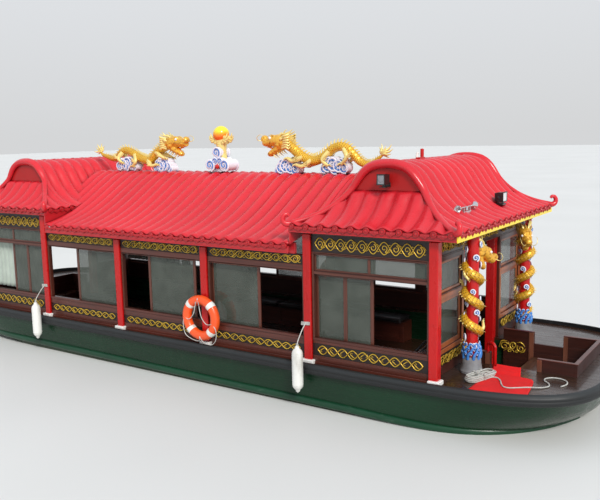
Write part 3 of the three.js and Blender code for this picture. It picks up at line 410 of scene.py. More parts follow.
# One piece made of shapes, with mended normals and eased edges where asked
def dress(name, shapes, key, slotName, nodes=(), angle=38, ease=0, body="boat", mend=True):
    obj = makePiece(name, *joinShapes(shapes), finish[key], angle)
    if mend:
        fixNormals(obj)
    if ease:
        soften(obj, ease)
    return settle(obj, slotName, body, nodes)


def boards(name, boxes, key, slotName, nodes=(), width=0.004):
    return dress(name, [boxShape(*b) for b in boxes], key, slotName, nodes, ease=width, mend=False)


# Rings of as many points each, joined in their order and closed at both ends
def ringsShape(rings, loop=False):
    count = len(rings[0])
    verts = [tuple(p) for ring in rings for p in ring]
    faces = []
    for r in range(len(rings) if loop else len(rings) - 1):
        a, b = r * count, (r + 1) % len(rings) * count
        faces += [(a + i, a + (i + 1) % count, b + (i + 1) % count, b + i) for i in range(count)]
    if not loop:
        faces += [tuple(reversed(range(count))), tuple(range((len(rings) - 1) * count, len(rings) * count))]
    return verts, faces


def prismShape(outline, axis, low, high):
    place = {"x": lambda p, q, t: (t, p, q), "y": lambda p, q, t: (p, t, q)}[axis]
    return ringsShape([[place(p, q, t) for p, q in outline] for t in (low, high)])


def around(count):
    return [2 * pi * k / count for k in range(count)]


def movedShape(shape, place):
    return [place(Vector(v)) for v in shape[0]], shape[1]


def movedShapes(shapes, place):
    return [movedShape(shape, place) for shape in shapes]


# A CAD node's shape with its edges eased
def easedCopy(node, name, key, slotName, width):
    bm = bmesh.new()
    bm.from_mesh(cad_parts[node].data)
    bmesh.ops.remove_doubles(bm, verts=bm.verts, dist=1e-5)
    bmesh.ops.dissolve_limit(bm, angle_limit=radians(1), verts=bm.verts, edges=bm.edges)
    mesh = bpy.data.meshes.new(name)
    bm.to_mesh(mesh)
    bm.free()
    return settle(soften(wrapMesh(name, mesh, finish[key]), width), slotName, nodes=node)


def smoothLine(points, per=8, closed=False):
    pts = [Vector(p) for p in points]
    count = len(pts)
    out = []
    for i in range(count if closed else count - 1):
        p0 = pts[(i - 1) % count] if closed or i > 0 else 2 * pts[0] - pts[1]
        p1, p2 = pts[i], pts[(i + 1) % count]
        p3 = pts[(i + 2) % count] if closed or i + 2 < count else 2 * pts[-1] - pts[-2]
        for k in range(per):
            t = k / per
            out.append(0.5 * ((2 * p1) + (p2 - p0) * t + (2 * p0 - 5 * p1 + 4 * p2 - p3) * t * t
                + (3 * p1 - p0 - 3 * p2 + p3) * t ** 3))
    if not closed:
        out.append(pts[-1])
    return out


# Frames that travel along a line without twisting: (point, side, up)
def lineFrames(line, up, closed):
    count = len(line)
    frames = []
    upward = Vector(up)
    for i, point in enumerate(line):
        ahead = line[(i + 1) % count] if closed or i + 1 < count else point
        behind = line[i - 1] if closed or i > 0 else point
        tangent = (ahead - behind).normalized()
        side = tangent.cross(upward)
        if side.length < 1e-4:
            side = frames[-1][1] if frames else Vector((0, 1, 0))
        side.normalize()
        upward = side.cross(tangent).normalized()
        frames.append((point, side, upward))
    return frames


# A body swept along a line: section(i, share) gives points as (side, up); both ends are closed
def sweep(line, section, up=(0, 0, 1), closed=False):
    verts, faces = [], []
    last = max(1, len(line) - 1)
    for i, (point, side, upward) in enumerate(lineFrames(line, up, closed)):
        verts.extend(point + side * a + upward * b for a, b in section(i, i / last))
    count = len(verts) // len(line)
    for i in range(len(line) if closed else len(line) - 1):
        a, b = i * count, (i + 1) % len(line) * count
        faces += [(a + k, b + k, b + (k + 1) % count, a + (k + 1) % count) for k in range(count)]
    if not closed:
        faces += [tuple(range(count)), tuple(reversed(range((len(line) - 1) * count, len(line) * count)))]
    return verts, faces


def roundSection(radius, sides=12, flat=1.0):
    def section(_, share):
        r = radius(share) if callable(radius) else radius
        return [(r * cos(t), flat * r * sin(t)) for t in around(sides)]
    return section


# A round section whose radius follows a list, one for each point of the line
def turnedSection(radii, sides):
    return lambda i, _: [(radii[i] * cos(t), radii[i] * sin(t)) for t in around(sides)]


def tube(points, radius, sides=12, per=6, flat=1.0, up=(0, 0, 1), closed=False):
    return sweep(smoothLine(points, per, closed), roundSection(radius, sides, flat), up, closed)


def carve(obj, shapes):
    tool = bpy.data.objects.new("carvingTool", makeMesh("carvingTool", *joinShapes(shapes)))
    scene.collection.objects.link(tool)
    cutter = obj.modifiers.new("carve", "BOOLEAN")
    cutter.operation = "DIFFERENCE"
    cutter.solver = "EXACT"
    cutter.object = tool
    whole = obj.data
    obj.data = baked(obj)
    obj.modifiers.remove(cutter)
    obj.data.name = obj.name
    bpy.data.meshes.remove(whole)
    clearAway(tool)
    return obj


def paintOver(obj, key):
    obj.data.materials.clear()
    obj.data.materials.append(finish[key])


# Geometry Nodes helpers
def newTree(name, inputs):
    tree = bpy.data.node_groups.new(name, "GeometryNodeTree")
    for kind, label, value in inputs:
        socket = tree.interface.new_socket(label, in_out="INPUT", socket_type="NodeSocket" + kind)
        if value is not None:
            socket.default_value = value
    tree.interface.new_socket("Geometry", in_out="OUTPUT", socket_type="NodeSocketGeometry")
    entry = addNode(tree, "NodeGroupInput").outputs
    return tree, entry


def endTree(tree, entry, geometry):
    whole = addNode(tree, "GeometryNodeRealizeInstances", {"Geometry": geometry})
    dressed = addNode(tree, "GeometryNodeSetMaterial", {"Geometry": whole.outputs[0], "Material": entry["Finish"]})
    addNode(tree, "NodeGroupOutput", {0: dressed.outputs[0]})


# Runs a tree with its named inputs set and returns the plain mesh that it makes
def grow(tree, values, material):
    holder = bpy.data.objects.new("grower", bpy.data.meshes.new("grower"))
    scene.collection.objects.link(holder)
    modifier = holder.modifiers.new("grow", "NODES")
    modifier.node_group = tree
    places = {item.name: item.identifier for item in tree.interface.items_tree if item.in_out == "INPUT"}
    for label, value in {**values, "Finish": material}.items():
        modifier[places[label]] = value
    holder.update_tag()
    mesh = baked(holder)
    holder.modifiers.remove(modifier)
    clearAway(holder)
    return mesh


def meshShape(mesh, change=None):
    verts = [change(v.co) if change else v.co.copy() for v in mesh.vertices]
    faces = [tuple(p.vertices) for p in mesh.polygons]
    bpy.data.meshes.remove(mesh)
    return verts, faces


# Hull, deck and rails
hull = {
    "levels": [
        (0.0, 1.380, -0.300, -1.000, 2.20, 2.6, 1.6), (0.07, 1.580, 0.150, -0.650, 2.30, 2.8, 1.6),
        (0.22, 1.730, 0.800, 0.030, 2.50, 3.0, 1.6), (0.45, 1.805, 1.450, 0.850, 2.60, 3.2, 1.6),
        (0.70, 1.845, 1.640, 1.450, 2.70, 3.6, 2.8), (1.00, 1.870, 1.735, 1.735, 2.75, 4.0, 4.5),
    ],  # height, half width, bow, stern, taper, fullness along and across
    "quarter": 40, "heights": [0, 0.03, 0.07, 0.13, 0.22, 0.33, 0.45, 0.57, 0.7, 0.8, 0.9, 1.0],
    "wellHalf": 1.64, "wellEnd": 4.35, "entryHalf": 0.6, "coaming": 0.04,
    "reach": {1: 1.35, -1: 0.45},
}


def levelOutline(level, steps):
    _, half, bow, stern, taper, along, across = level

    def quarter(tip, end):
        out = []
        for i in range(steps + 1):
            turn = i / steps * pi / 2
            length = boat["cabinEnd"] + end - taper + taper * max(0.0, cos(turn)) ** (2 / along)
            out.append((tip * length, half * sin(turn) ** (2 / across)))
        return out
    portHalf = quarter(1, bow) + quarter(-1, stern)[::-1]
    return portHalf + [(x, -y) for x, y in portHalf[-2:0:-1]]


hullGrid = np.array([levelOutline(level, hull["quarter"]) for level in hull["levels"]])
hullZ = np.array([level[0] for level in hull["levels"]])


# The hull's outline at any height, by smooth steps between the levels
def hullAt(z):
    k = int(np.clip(np.searchsorted(hullZ, z, side="right") - 1, 0, len(hullZ) - 2))
    t = (z - hullZ[k]) / (hullZ[k + 1] - hullZ[k])

    def slope(j):
        a, b = max(0, j - 1), min(len(hullZ) - 1, j + 1)
        return (hullGrid[b] - hullGrid[a]) / (hullZ[b] - hullZ[a])
    step = hullZ[k + 1] - hullZ[k]
    h00, h10 = 2 * t ** 3 - 3 * t ** 2 + 1, t ** 3 - 2 * t ** 2 + t
    h01, h11 = -2 * t ** 3 + 3 * t ** 2, t ** 3 - t ** 2
    smooth = h00 * hullGrid[k] + h10 * step * slope(k) + h01 * hullGrid[k + 1] + h11 * step * slope(k + 1)
    straight = hullGrid[k] * (1 - t) + hullGrid[k + 1] * t
    return 0.6 * smooth + 0.4 * straight


def outwards(outline):
    ahead, behind = np.roll(outline, -1, 0), np.roll(outline, 1, 0)
    run = ahead - behind
    side = np.stack([run[:, 1], -run[:, 0]], 1)
    return side / np.linalg.norm(side, axis=1)[:, None]


# Cuts the cabin's well and the two stairwells, the middle one first
def sinkWell(obj, key):
    low, top, margin = 0.61, 1.1, 0.0003
    side = hull["entryHalf"] + hull["coaming"] + margin
    carve(obj, [boxShape(-hull["wellEnd"], hull["wellEnd"], -hull["wellHalf"], hull["wellHalf"], 0.5, top)])
    carve(obj, [boxShape(end * (hull["wellEnd"] - 0.05), end * (boat["cabinEnd"] + reach + hull["coaming"] + margin),
        -side, side, low, top) for end, reach in hull["reach"].items()])
    paintOver(obj, key)


def makeHull():
    obj = makePiece("hullShell", *ringsShape([[(x, y, z) for x, y in hullAt(z)] for z in hull["heights"]]),
        finish["hull"], 30)
    sinkWell(obj, "hull")
    settle(obj, "hull_green", nodes="hull")
    skegOutline = [(-3.3, 0.005), (-4.7, 0.005), (-5.26, 0.165), (-5.26, 0.33), (-5.0, 0.3), (-3.1, 0.26)]
    skeg = fixNormals(makePiece("skeg", *prismShape(skegOutline, "y", -0.045, 0.045), finish["hull"]))
    tunnel = sweep([Vector((-5.4, 0, 0.225)), Vector((-4.8, 0, 0.225))], roundSection(0.0233, 24))
    settle(soften(carve(skeg, [tunnel]), 0.008, 3), "hull_green")


makeHull()

deckParts = {"plank": 0.12, "seam": 0.004, "seamDepth": 0.003, "thickness": 0.0297}


def makeDeck():
    outline = hullAt(1.0)
    rings = [[(x, y, z) for x, y in outline] for z in (deck - deckParts["thickness"], deck - 0.004)]
    rings.append([(x - nx * 0.004, y - ny * 0.004, deck) for (x, y), (nx, ny) in zip(outline, outwards(outline))])
    obj = makePiece("deckPlanking", *ringsShape(rings), finish["deck"])
    sinkWell(obj, "deck")
    half = deckParts["seam"] / 2
    carve(obj, [boxShape(-6.5, 6.5, k * deckParts["plank"] - half, k * deckParts["plank"] + half,
        deck - deckParts["seamDepth"], deck + 0.01) for k in range(-15, 16)])
    paintOver(obj, "deck")
    settle(obj, "deck_wood", nodes="deck")


makeDeck()

fender = {"section": [(0, .068), (.018, .069), (.034, .066), (.047, .06), (.054, .05), (.058, .046), (.064, .04),
    (.070, .026), (.072, .008), (.068, .002), (.068, -.004), (.072, -.010), (.071, -.034), (.065, -.050),
    (.058, -.055), (.056, -.060), (.046, -.068), (.025, -.074), (0, -.075)], "seat": 0.001, "foot": 0.05,
    "rise": 0.055}


def makeFender():
    outline = hullAt(1.0)
    sides = outwards(outline)
    rings = []
    for (x, y), (nx, ny) in zip(outline, sides):
        z = deck - fender["foot"] + fender["rise"] * (abs(x) / (boat["cabinEnd"] + 1.735)) ** 2
        rings.append([(x + nx * (out + fender["seat"]), y + ny * (out + fender["seat"]), z + up)
            for out, up in fender["section"]])
    dress("gunwaleRubber", [ringsShape(rings, True)], "rubber", "black_rubber", "gunwale_fender", angle=50)


makeFender()


def makeRubRails():
    section = [(-0.02, -.048), (.012, -.047), (.03, -.041), (.042, -.028), (.047, -.01), (.047, .01), (.042, .028),
        (.03, .041), (.012, .047), (-0.02, .048)]
    high = hullAt(0.7)
    quarter = hull["quarter"]
    for side, name in sideNames.items():
        rings = []
        for i in range(quarter // 5, 2 * quarter - quarter // 5 + 2):
            rise = 0.44 - 0.26 * max(0, high[i][0] / boat["cabinEnd"]) ** 2
            z = 0.45 + 0.25 * rise
            here = hullAt(z)
            (x, y), (nx, ny) = here[i], outwards(here)[i]
            rings.append([(x + nx * out, side * (y + ny * out), z + up) for out, up in section])
        dress("rubRail_" + name, [ringsShape(rings)], "rail", "rail_green", "rub_rail_" + name, angle=50)


makeRubRails()
print("hull, deck, fender and rails done")


# Cabin: columns, walls, bands and windows
cabin = {"pavilionTop": 1.74, "middleTop": 1.45, "column": 0.12, "block": 0.095, "blockHeight": 0.06, "toe": 0.04,
    "margin": 0.09, "railAt": 1.205, "rail": 0.05, "pavilionHead": 1.48, "middleHead": 1.23, "gap": 0.0003,
    "band": {"pavilion": (0.124, 0.281), "middle": (0.122, 0.243)}, "frieze": {"pavilion": (1.508, 1.722),
    "middle": (1.322, 1.45)}}


def bayEdges(k):
    left = boat["cabinEnd"] - (k + 1) * boat["bay"]
    return left + cabin["margin"], left + boat["bay"] - cabin["margin"]


def bayKind(k):
    return "pavilion" if k in (0, 4) else "middle"


def makeColumns():
    gap, half = cabin["gap"], cabin["column"] / 2
    for side, name in sideNames.items():
        posts, blocks = [], []
        for k in range(6):
            x = boat["cabinEnd"] - k * boat["bay"]
            corner = k in (0, 5)
            top = deck + cabin["pavilionTop" if k < 2 or k > 3 else "middleTop"]
            near = boat["columnY"] - half if corner else boat["wallOut"] + gap
            posts.append((x - half, x + half, side * near, side * (boat["columnY"] + half), deck + gap, top))
            out = cabin["block"]
            inX = half if corner and x > 0 else out
            outX = half if corner and x < 0 else out
            blocks.append((x - inX, x + outX, side * near, side * (boat["columnY"] + out), deck + gap,
                deck + cabin["blockHeight"]))
        boards("redColumns_" + name, posts, "red", "red_lacquer", ("columns_front_" + name, "columns_rear_" + name),
            width=0.014)
        boards("whiteBlocks_" + name, blocks, "white", "white_cloth", width=0.012)
        toe = [(-boat["cabinEnd"], boat["cabinEnd"], side * (boat["wallOut"] + gap), side * 1.779, deck + gap,
            deck + cabin["toe"])]
        boards("toeBoard_" + name, toe, "board", "wall_wood", width=0.006)


makeColumns()


def wallBoxes(side, k):
    a, b = bayEdges(k)
    kind = bayKind(k)
    near, far = side * boat["wallIn"], side * boat["wallOut"]
    head, top = deck + cabin[kind + "Head"], deck + cabin[kind + "Top"]
    left, right = a - cabin["margin"], b + cabin["margin"]
    if k == 0:
        right -= 0.06
    if k == 4:
        left += 0.06
    flat = [(left, right, near, far, deck + cabin["gap"], boat["sill"]), (left, right, near, far, head, top)]
    upright = [(left, a, near, far, boat["sill"], head), (b, right, near, far, boat["sill"], head)]
    if kind == "pavilion":
        rail = deck + cabin["railAt"]
        flat.append((a, b, near, far, rail, rail + cabin["rail"]))
    return flat, upright


def makeWalls():
    for side, name in sideNames.items():
        flats, uprights, sills, grounds, beads = [], [], [], [], []
        out = boat["wallOut"]

        def strip(into, x0, x1, back, proud, z0, z1):
            into.append((x0, x1, side * (out - back), side * (out + proud), z0, z1))
        for k in range(5):
            a, b = bayEdges(k)
            flat, upright = wallBoxes(side, k)
            flats += flat
            uprights += upright
            kind = bayKind(k)
            sill = boat["sill"]
            low, high = (deck + z for z in cabin["band"][kind])
            top, over = (deck + z for z in cabin["frieze"][kind])
            head = deck + cabin[kind + "Head"]
            left, right = a - 0.025, b + 0.025
            for proud, z0, z1 in ((0.016, sill - 0.034, sill), (0.009, high + 0.012, sill - 0.037),
                    (0.009, deck + cabin["toe"] + 0.002, low - 0.012), (0.012, head + 0.002, top - 0.012)):
                strip(sills, left, right, 0.01, proud, z0, z1)
            for z0, z1 in ((low - 0.01, high + 0.01), (top - 0.01, over)):
                strip(grounds, left, right, 0.01, 0.003, z0, z1)
            for z in (low - 0.01, high + 0.01, top - 0.01):
                strip(beads, left, right, 0.002, 0.013, z - 0.005, z + 0.005)
            for x in (a - 0.012, b + 0.012):
                strip(beads, x - 0.012, x + 0.012, 0.002, 0.012, sill, head)
            strip(beads, a, b, 0.002, 0.012, head - 0.004, head + 0.018)
            if kind == "pavilion":
                rail = deck + cabin["railAt"]
                strip(beads, a, b, 0.002, 0.008, rail + 0.008, rail + cabin["rail"] - 0.008)
        parts = ["side_wall_%s_%s" % (part, name) for part in ("front", "middle", "rear")]
        for label, boxes, key, slotName, nodes, width in (("wallBoards_", flats, "wall", "wall_wood", parts, 0.004),
                ("windowPosts_", uprights, "post", "wall_wood", parts, 0.004), ("sillBoards_", sills, "board",
                "wall_wood", (), 0.003), ("carvingGrounds_", grounds, "ground", "wall_wood", (), 0.001),
                ("windowBeads_", beads, "sashRail", "sash_wood", (), 0.0035)):
            boards(label + name, boxes, key, slotName, nodes, width)


makeWalls()

windows = {"track": boat["sill"] - 0.045, "frame": 0.045, "thick": 0.02, "pane": 0.005,
    "sashes": [(2.74, 3.60, 2.255, [3.19]), (0.95, 1.83, 2.28, []), (-0.31, 0.65, 2.28, []), (-1.96, -0.95, 2.28,
    []), (-3.66, -2.81, 2.255, [-3.25])], "endLights": [(0.33, 0.97), (1.04, 1.44)], "endFrom": 0.75, "endTo": 1.56}


# Stiles, rails and panes of one glazed frame; across says that it stands across the boat
def glazedFrame(a, b, near, far, low, high, mullions=(), across=False, width=None):
    w = width or windows["frame"]

    def block(p, q, z0, z1, d0=near, d1=far):
        return (d0, d1, p, q, z0, z1) if across else (p, q, d0, d1, z0, z1)
    stiles = [block(a, a + w, low, high), block(b - w, b, low, high)]
    rails = [block(a + w, b - w, low, low + w), block(a + w, b - w, high - w, high)]
    stiles += [block(m - w * 0.6, m + w * 0.6, low + w, high - w) for m in mullions]
    middle = (near + far) / 2
    pane = windows["pane"] / 2
    glass = [block(a + w - 0.008, b - w + 0.008, low + w - 0.008, high - w + 0.008, middle - pane, middle + pane)]
    return stiles, rails, glass


def makeWindows():
    for side, name in sideNames.items():
        stiles, rails, glass = [], [], []

        def put(parts):
            for into, boxes in zip((stiles, rails, glass), parts):
                into.extend(boxes)
        inner = side * (boat["wallIn"] - cabin["gap"] - 0.003)
        outer = inner - side * windows["thick"]
        rails.append((-4.32, 4.32, side * (boat["wallIn"] - cabin["gap"]), side * 1.6697, windows["track"] - 0.03,
            windows["track"]))
        for a, b, top, mullions in windows["sashes"]:
            put(glazedFrame(a, b, inner, outer, windows["track"] - 0.005, top, mullions))
        near, far = side * (boat["wallIn"] + 0.015), side * (boat["wallIn"] + 0.04)
        for k in (0, 4):
            a, b = bayEdges(k)
            low, high = deck + cabin["railAt"] + cabin["rail"], deck + cabin["pavilionHead"]
            put(glazedFrame(a - 0.008, b + 0.008, near, far, low - 0.008, high + 0.008, [(a + b) / 2], width=0.03))
        boards("sashStiles_" + name, stiles, "sash", "sash_wood", "sashes_" + name, width=0.004)
        boards("sashRails_" + name, rails, "sashRail", "sash_wood", "sashes_" + name, width=0.004)
        boards("windowPanes_" + name, glass, "glass", "sash_wood", width=0.0005)


makeWindows()


def makeEndWalls():
    for end, place in endNames.items():
        for side, name in sideNames.items():
            x0, x1 = end * boat["endWall"][0], end * (boat["endWall"][1] - cabin["gap"])
            ya, yb = side * (0.69 + cabin["gap"]), side * (1.68 - cabin["gap"])
            ha, hb = side * windows["endFrom"], side * windows["endTo"]
            low, mid, up = deck + cabin["gap"], windows["endLights"][0], windows["endLights"][1]
            top = deck + 1.5 - cabin["gap"]
            spans = [(low, deck + mid[0]), (deck + mid[1], deck + up[0]), (deck + up[1], top)]
            flats = [(x0, x1, ha, hb, z0, z1) for z0, z1 in spans]
            flats += [(x0, x1, ya, ha, low, top), (x0, x1, hb, yb, low, top)]
            boards("%sWallBoards_%s" % (place, name), flats, "post", "wall_wood", "%s_wall_%s" % (place, name))
            stiles, rails, glass = [], [], []
            near, far = x0 + end * 0.015, x0 + end * 0.04
            lights = [(mid, 0.06), (up, 0.035)]
            for (z0, z1), width in lights:
                parts = glazedFrame(*sorted((ha, hb)), near, far, deck + z0, deck + z1, (), True, width)
                for into, boxes in zip((stiles, rails, glass), parts):
                    into.extend(boxes)
            face = x1 - end * 0.004
            w = 0.055
            z0, z1 = deck + mid[0] - w, deck + mid[1] + w
            out = face + end * 0.012
            casing = [(face, out, ha - side * w, ha, z0, z1), (face, out, hb, hb + side * w, z0, z1),
                (face, out, ha, hb, z0, z0 + w), (face, out, ha, hb, z1 - w, z1)]
            frameWood = "frontFrame" if end > 0 else "sash"
            boards("%sFrames_%s" % (place, name), stiles + rails + casing, frameWood, "sash_wood", width=0.004)
            boards("%sPanes_%s" % (place, name), glass, "glass", "sash_wood", width=0.0005)
            ground = [(x1 - end * 0.002, x1 + end * 0.003, side * 0.72, side * 1.66, deck + 0.12, deck + 0.27)]
            boards("%sGround_%s" % (place, name), ground, "ground", "wall_wood", width=0.001)


makeEndWalls()
paintOver(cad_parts["cabin_sole"], "deck")
print("cabin done")


# Roofs of ribbed sheets
roof = {"middle": [(0, 2.380), (.13, 2.370), (.27, 2.325), (.45, 2.230), (.68, 2.095), (.92, 1.955), (1.17, 1.825),
    (1.42, 1.720), (1.66, 1.645), (1.9, 1.590)], "pavilion": [(0, 2.610), (.15, 2.598), (.28, 2.552), (.38, 2.465),
    (.46, 2.355), (.54, 2.235), (.64, 2.120), (.78, 2.005), (.96, 1.912), (1.155, 1.850)], "foot": 0.5,
    "gableY": 1.32, "vergeY": 1.36, "eaveX": 1.155, "eaveY": 1.885, "middleEave": 1.9, "endX": 2.46,
    "middlePitch": 0.2, "pavilionPitch": 0.22, "ribHeight": 0.046, "sheet": 0.022}
skirtScale = (roof["eaveY"] - roof["gableY"]) / (roof["eaveX"] - roof["foot"])


def profileHeight(profile, d):
    pts = np.array(profile)
    d = abs(d)
    k = int(np.clip(np.searchsorted(pts[:, 0], d, side="right") - 1, 0, len(pts) - 2))

    def slope(j):
        if j == 0:
            return 0.0
        a, b = max(0, j - 1), min(len(pts) - 1, j + 1)
        return (pts[b, 1] - pts[a, 1]) / (pts[b, 0] - pts[a, 0])
    step = pts[k + 1, 0] - pts[k, 0]
    t = (d - pts[k, 0]) / step
    return deck + float((2 * t ** 3 - 3 * t ** 2 + 1) * pts[k, 1] + (t ** 3 - 2 * t ** 2 + t) * step * slope(k)
        + (3 * t ** 2 - 2 * t ** 3) * pts[k + 1, 1] + (t ** 3 - t ** 2) * step * slope(k + 1))


# A roof sheet on a grid: it follows the profile down from the ridge, and round ribs run down the slope.
# Past the flat part the sheet starts lower, along the hip.
def ribbedSheetTree(name, profile):
    tree, entry = newTree(name, [("Float", "Along From", -1.0), ("Float", "Along To", 1.0), ("Int", "Along Count",
        10), ("Float", "Depth From", 0.0), ("Float", "Depth To", 1.0), ("Int", "Depth Count", 10),
        ("Float", "Flat Half", 99.0), ("Float", "Hip Slope", 0.0), ("Float", "Profile Shift", 0.0),
        ("Float", "Profile Scale", 1.0), ("Float", "Rib Pitch", 0.2), ("Float", "Rib Height", 0.04),
        ("Float", "Rib Shift", 0.0), ("Float", "Fade", 0.0), ("Material", "Finish", None)])
    grid = addNode(tree, "GeometryNodeMeshGrid", {0: 1.0, 1: 1.0, 2: entry["Along Count"], 3: entry["Depth Count"]})
    spot = addNode(tree, "ShaderNodeSeparateXYZ", {0: addNode(tree, "GeometryNodeInputPosition").outputs[0]})
    fx = calc(tree, "ADD", spot.outputs[0], 0.5)
    fy = calc(tree, "ADD", spot.outputs[1], 0.5)
    along = calc(tree, "MULTIPLY_ADD", fx, calc(tree, "SUBTRACT", entry["Along To"], entry["Along From"]),
        entry["Along From"])
    depth = calc(tree, "MULTIPLY_ADD", fy, calc(tree, "SUBTRACT", entry["Depth To"], entry["Depth From"]),
        entry["Depth From"])
    past = calc(tree, "MAXIMUM", calc(tree, "SUBTRACT", calc(tree, "ABSOLUTE", along), entry["Flat Half"]), 0.0)
    start = calc(tree, "MULTIPLY_ADD", past, entry["Hip Slope"], entry["Depth From"])
    depth = calc(tree, "MAXIMUM", depth, start)
    reach, lowest, highest = profile[-1][0], profile[-1][1], profile[0][1]
    share = calc(tree, "DIVIDE", calc(tree, "MULTIPLY", calc(tree, "SUBTRACT", depth, entry["Profile Shift"]),
        entry["Profile Scale"]), reach)
    curve = addNode(tree, "ShaderNodeFloatCurve", {"Value": share})
    line = curve.mapping.curves[0]
    for d, z in profile[1:-1]:
        line.points.new(d / reach, (z - lowest) / (highest - lowest))
    line.points[0].location = (0, 1)
    line.points[len(line.points) - 1].location = (1, 0)
    curve.mapping.update()
    height = calc(tree, "MULTIPLY_ADD", curve.outputs[0], highest - lowest, lowest + deck)
    base = addNode(tree, "GeometryNodeSetPosition", {"Geometry": grid.outputs[0], "Position": addNode(tree,
        "ShaderNodeCombineXYZ", {0: along, 1: depth, 2: height}).outputs[0]})
    now = addNode(tree, "ShaderNodeSeparateXYZ", {0: addNode(tree, "GeometryNodeInputPosition").outputs[0]})
    turn = calc(tree, "MULTIPLY", calc(tree, "DIVIDE", calc(tree, "SUBTRACT", now.outputs[0], entry["Rib Shift"]),
        entry["Rib Pitch"]), pi)
    rib = calc(tree, "POWER", calc(tree, "ABSOLUTE", calc(tree, "COSINE", turn)), 1.15)
    fade = calc(tree, "DIVIDE", calc(tree, "SUBTRACT", now.outputs[1], entry["Depth From"]), calc(tree, "MAXIMUM",
        entry["Fade"], 0.0001), clamp=True)
    lift = calc(tree, "MULTIPLY", calc(tree, "MULTIPLY", rib, entry["Rib Height"]), calc(tree, "SQRT", fade))
    offset = addNode(tree, "ShaderNodeVectorMath", {0: addNode(tree, "GeometryNodeInputNormal").outputs[0], 3: lift},
        operation="SCALE")
    ribbed = addNode(tree, "GeometryNodeSetPosition", {"Geometry": base.outputs[0], "Offset": offset.outputs[0]})
    merged = addNode(tree, "GeometryNodeMergeByDistance", {"Geometry": ribbed.outputs[0], "Distance": 0.0002})
    endTree(tree, entry, merged.outputs[0])
    return tree


middleTree = ribbedSheetTree("middleRoofSheet", roof["middle"])
pavilionTree = ribbedSheetTree("pavilionRoofSheet", roof["pavilion"])


def sheetShape(tree, place, turned, **values):
    labels = {"a0": "Along From", "a1": "Along To", "n": "Along Count", "d0": "Depth From", "d1": "Depth To",
        "m": "Depth Count", "flat": "Flat Half", "hip": "Hip Slope", "shift": "Profile Shift",
        "scale": "Profile Scale", "pitch": "Rib Pitch", "high": "Rib Height", "fade": "Fade"}
    verts, faces = meshShape(grow(tree, {labels[k]: v for k, v in values.items()}, finish["roof"]), place)
    return verts, [tuple(reversed(f)) for f in faces] if turned else faces


def roofShell(name, shapes, nodes):
    verts, faces = joinShapes(shapes)
    obj = makePiece(name, verts, faces, finish["roof"], 50)
    bm = bmesh.new()
    bm.from_mesh(obj.data)
    bmesh.ops.remove_doubles(bm, verts=bm.verts, dist=0.0006)
    bmesh.ops.dissolve_degenerate(bm, edges=bm.edges, dist=1e-5)
    bm.to_mesh(obj.data)
    bm.free()
    obj.data.polygons.foreach_set("use_smooth", [True] * len(obj.data.polygons))
    wall = obj.modifiers.new("sheet", "SOLIDIFY")
    wall.thickness = roof["sheet"]
    wall.offset = -1
    return settle(obj, "roof_red", "boat", nodes)


def makeMiddleRoof():
    pitch, high = roof["middlePitch"], roof["ribHeight"]
    shapes = []
    for side in sideNames:
        shapes.append(sheetShape(middleTree, lambda v, s=side: Vector((v.x, s * v.y, v.z)), side < 0,
            a0=-roof["endX"], a1=roof["endX"], n=246, d0=0.0, d1=roof["middleEave"], m=30, pitch=pitch, high=high))
        for end in (-1, 1):
            shapes.append(sheetShape(middleTree, lambda v, s=side: Vector((v.x, s * v.y, v.z)), side < 0,
                a0=min(end * roof["endX"], end * 3.2), a1=max(end * roof["endX"], end * 3.2), n=38, d0=0.0, d1=1.22,
                m=20, pitch=pitch, high=high))
    roofShell("middleRoofTiles", shapes, "middle_roof")


def makePavilionRoof(end, name):
    px = end * boat["pavilionX"]
    pitch, high, foot = roof["pavilionPitch"], roof["ribHeight"], roof["foot"]
    verge, eaveY, eaveX = roof["vergeY"], roof["eaveY"], roof["eaveX"]
    hipSlope = (eaveX - foot) / (eaveY - verge)
    shapes = []
    for way in (-1, 1):
        def place(v, w=way):
            return Vector((px + w * v.y, v.x, v.z))
        shapes.append(sheetShape(pavilionTree, place, way > 0, a0=-verge, a1=verge, n=150, d0=0.0, d1=eaveX, m=30,
            pitch=pitch, high=high))
        for side in sideNames:
            shapes.append(sheetShape(pavilionTree, place, way > 0, a0=min(side * verge, side * eaveY),
                a1=max(side * verge, side * eaveY), n=30, d0=foot, d1=eaveX, m=24, flat=verge, hip=hipSlope,
                pitch=pitch, high=high))
    slope = (eaveY - roof["gableY"]) / (eaveX - foot)
    for side in sideNames:
        shapes.append(sheetShape(pavilionTree, lambda v, s=side: Vector((px + v.x, s * v.y, v.z)), side < 0,
            a0=-eaveX, a1=eaveX, n=126, d0=roof["gableY"] + 0.004, d1=eaveY, m=24, flat=foot, hip=slope,
            shift=roof["gableY"] - foot * skirtScale, scale=1 / skirtScale, pitch=pitch, high=high, fade=0.05))
    roofShell(name + "RoofTiles", shapes, name + "_roof")


makeMiddleRoof()
for end, name in endNames.items():
    makePavilionRoof(end, name)
print("roof sheets done")


# Roof edges: verge and hip rolls, gables, fascias and tile ends
rolls = {"arch": (0.058, 0.05), "hip": (0.042, 0.042), "lift": 0.016, "curl": [(0.03, 0.004), (0.062, 0.03),
    (0.072, 0.075), (0.048, 0.118), (0.008, 0.125), (-0.012, 0.098)]}


def hipY(d):
    return roof["vergeY"] - 0.03 + max(0, abs(d) - roof["foot"]) * (roof["eaveY"] - roof["vergeY"]
        + 0.03) / (roof["eaveX"] - roof["foot"])


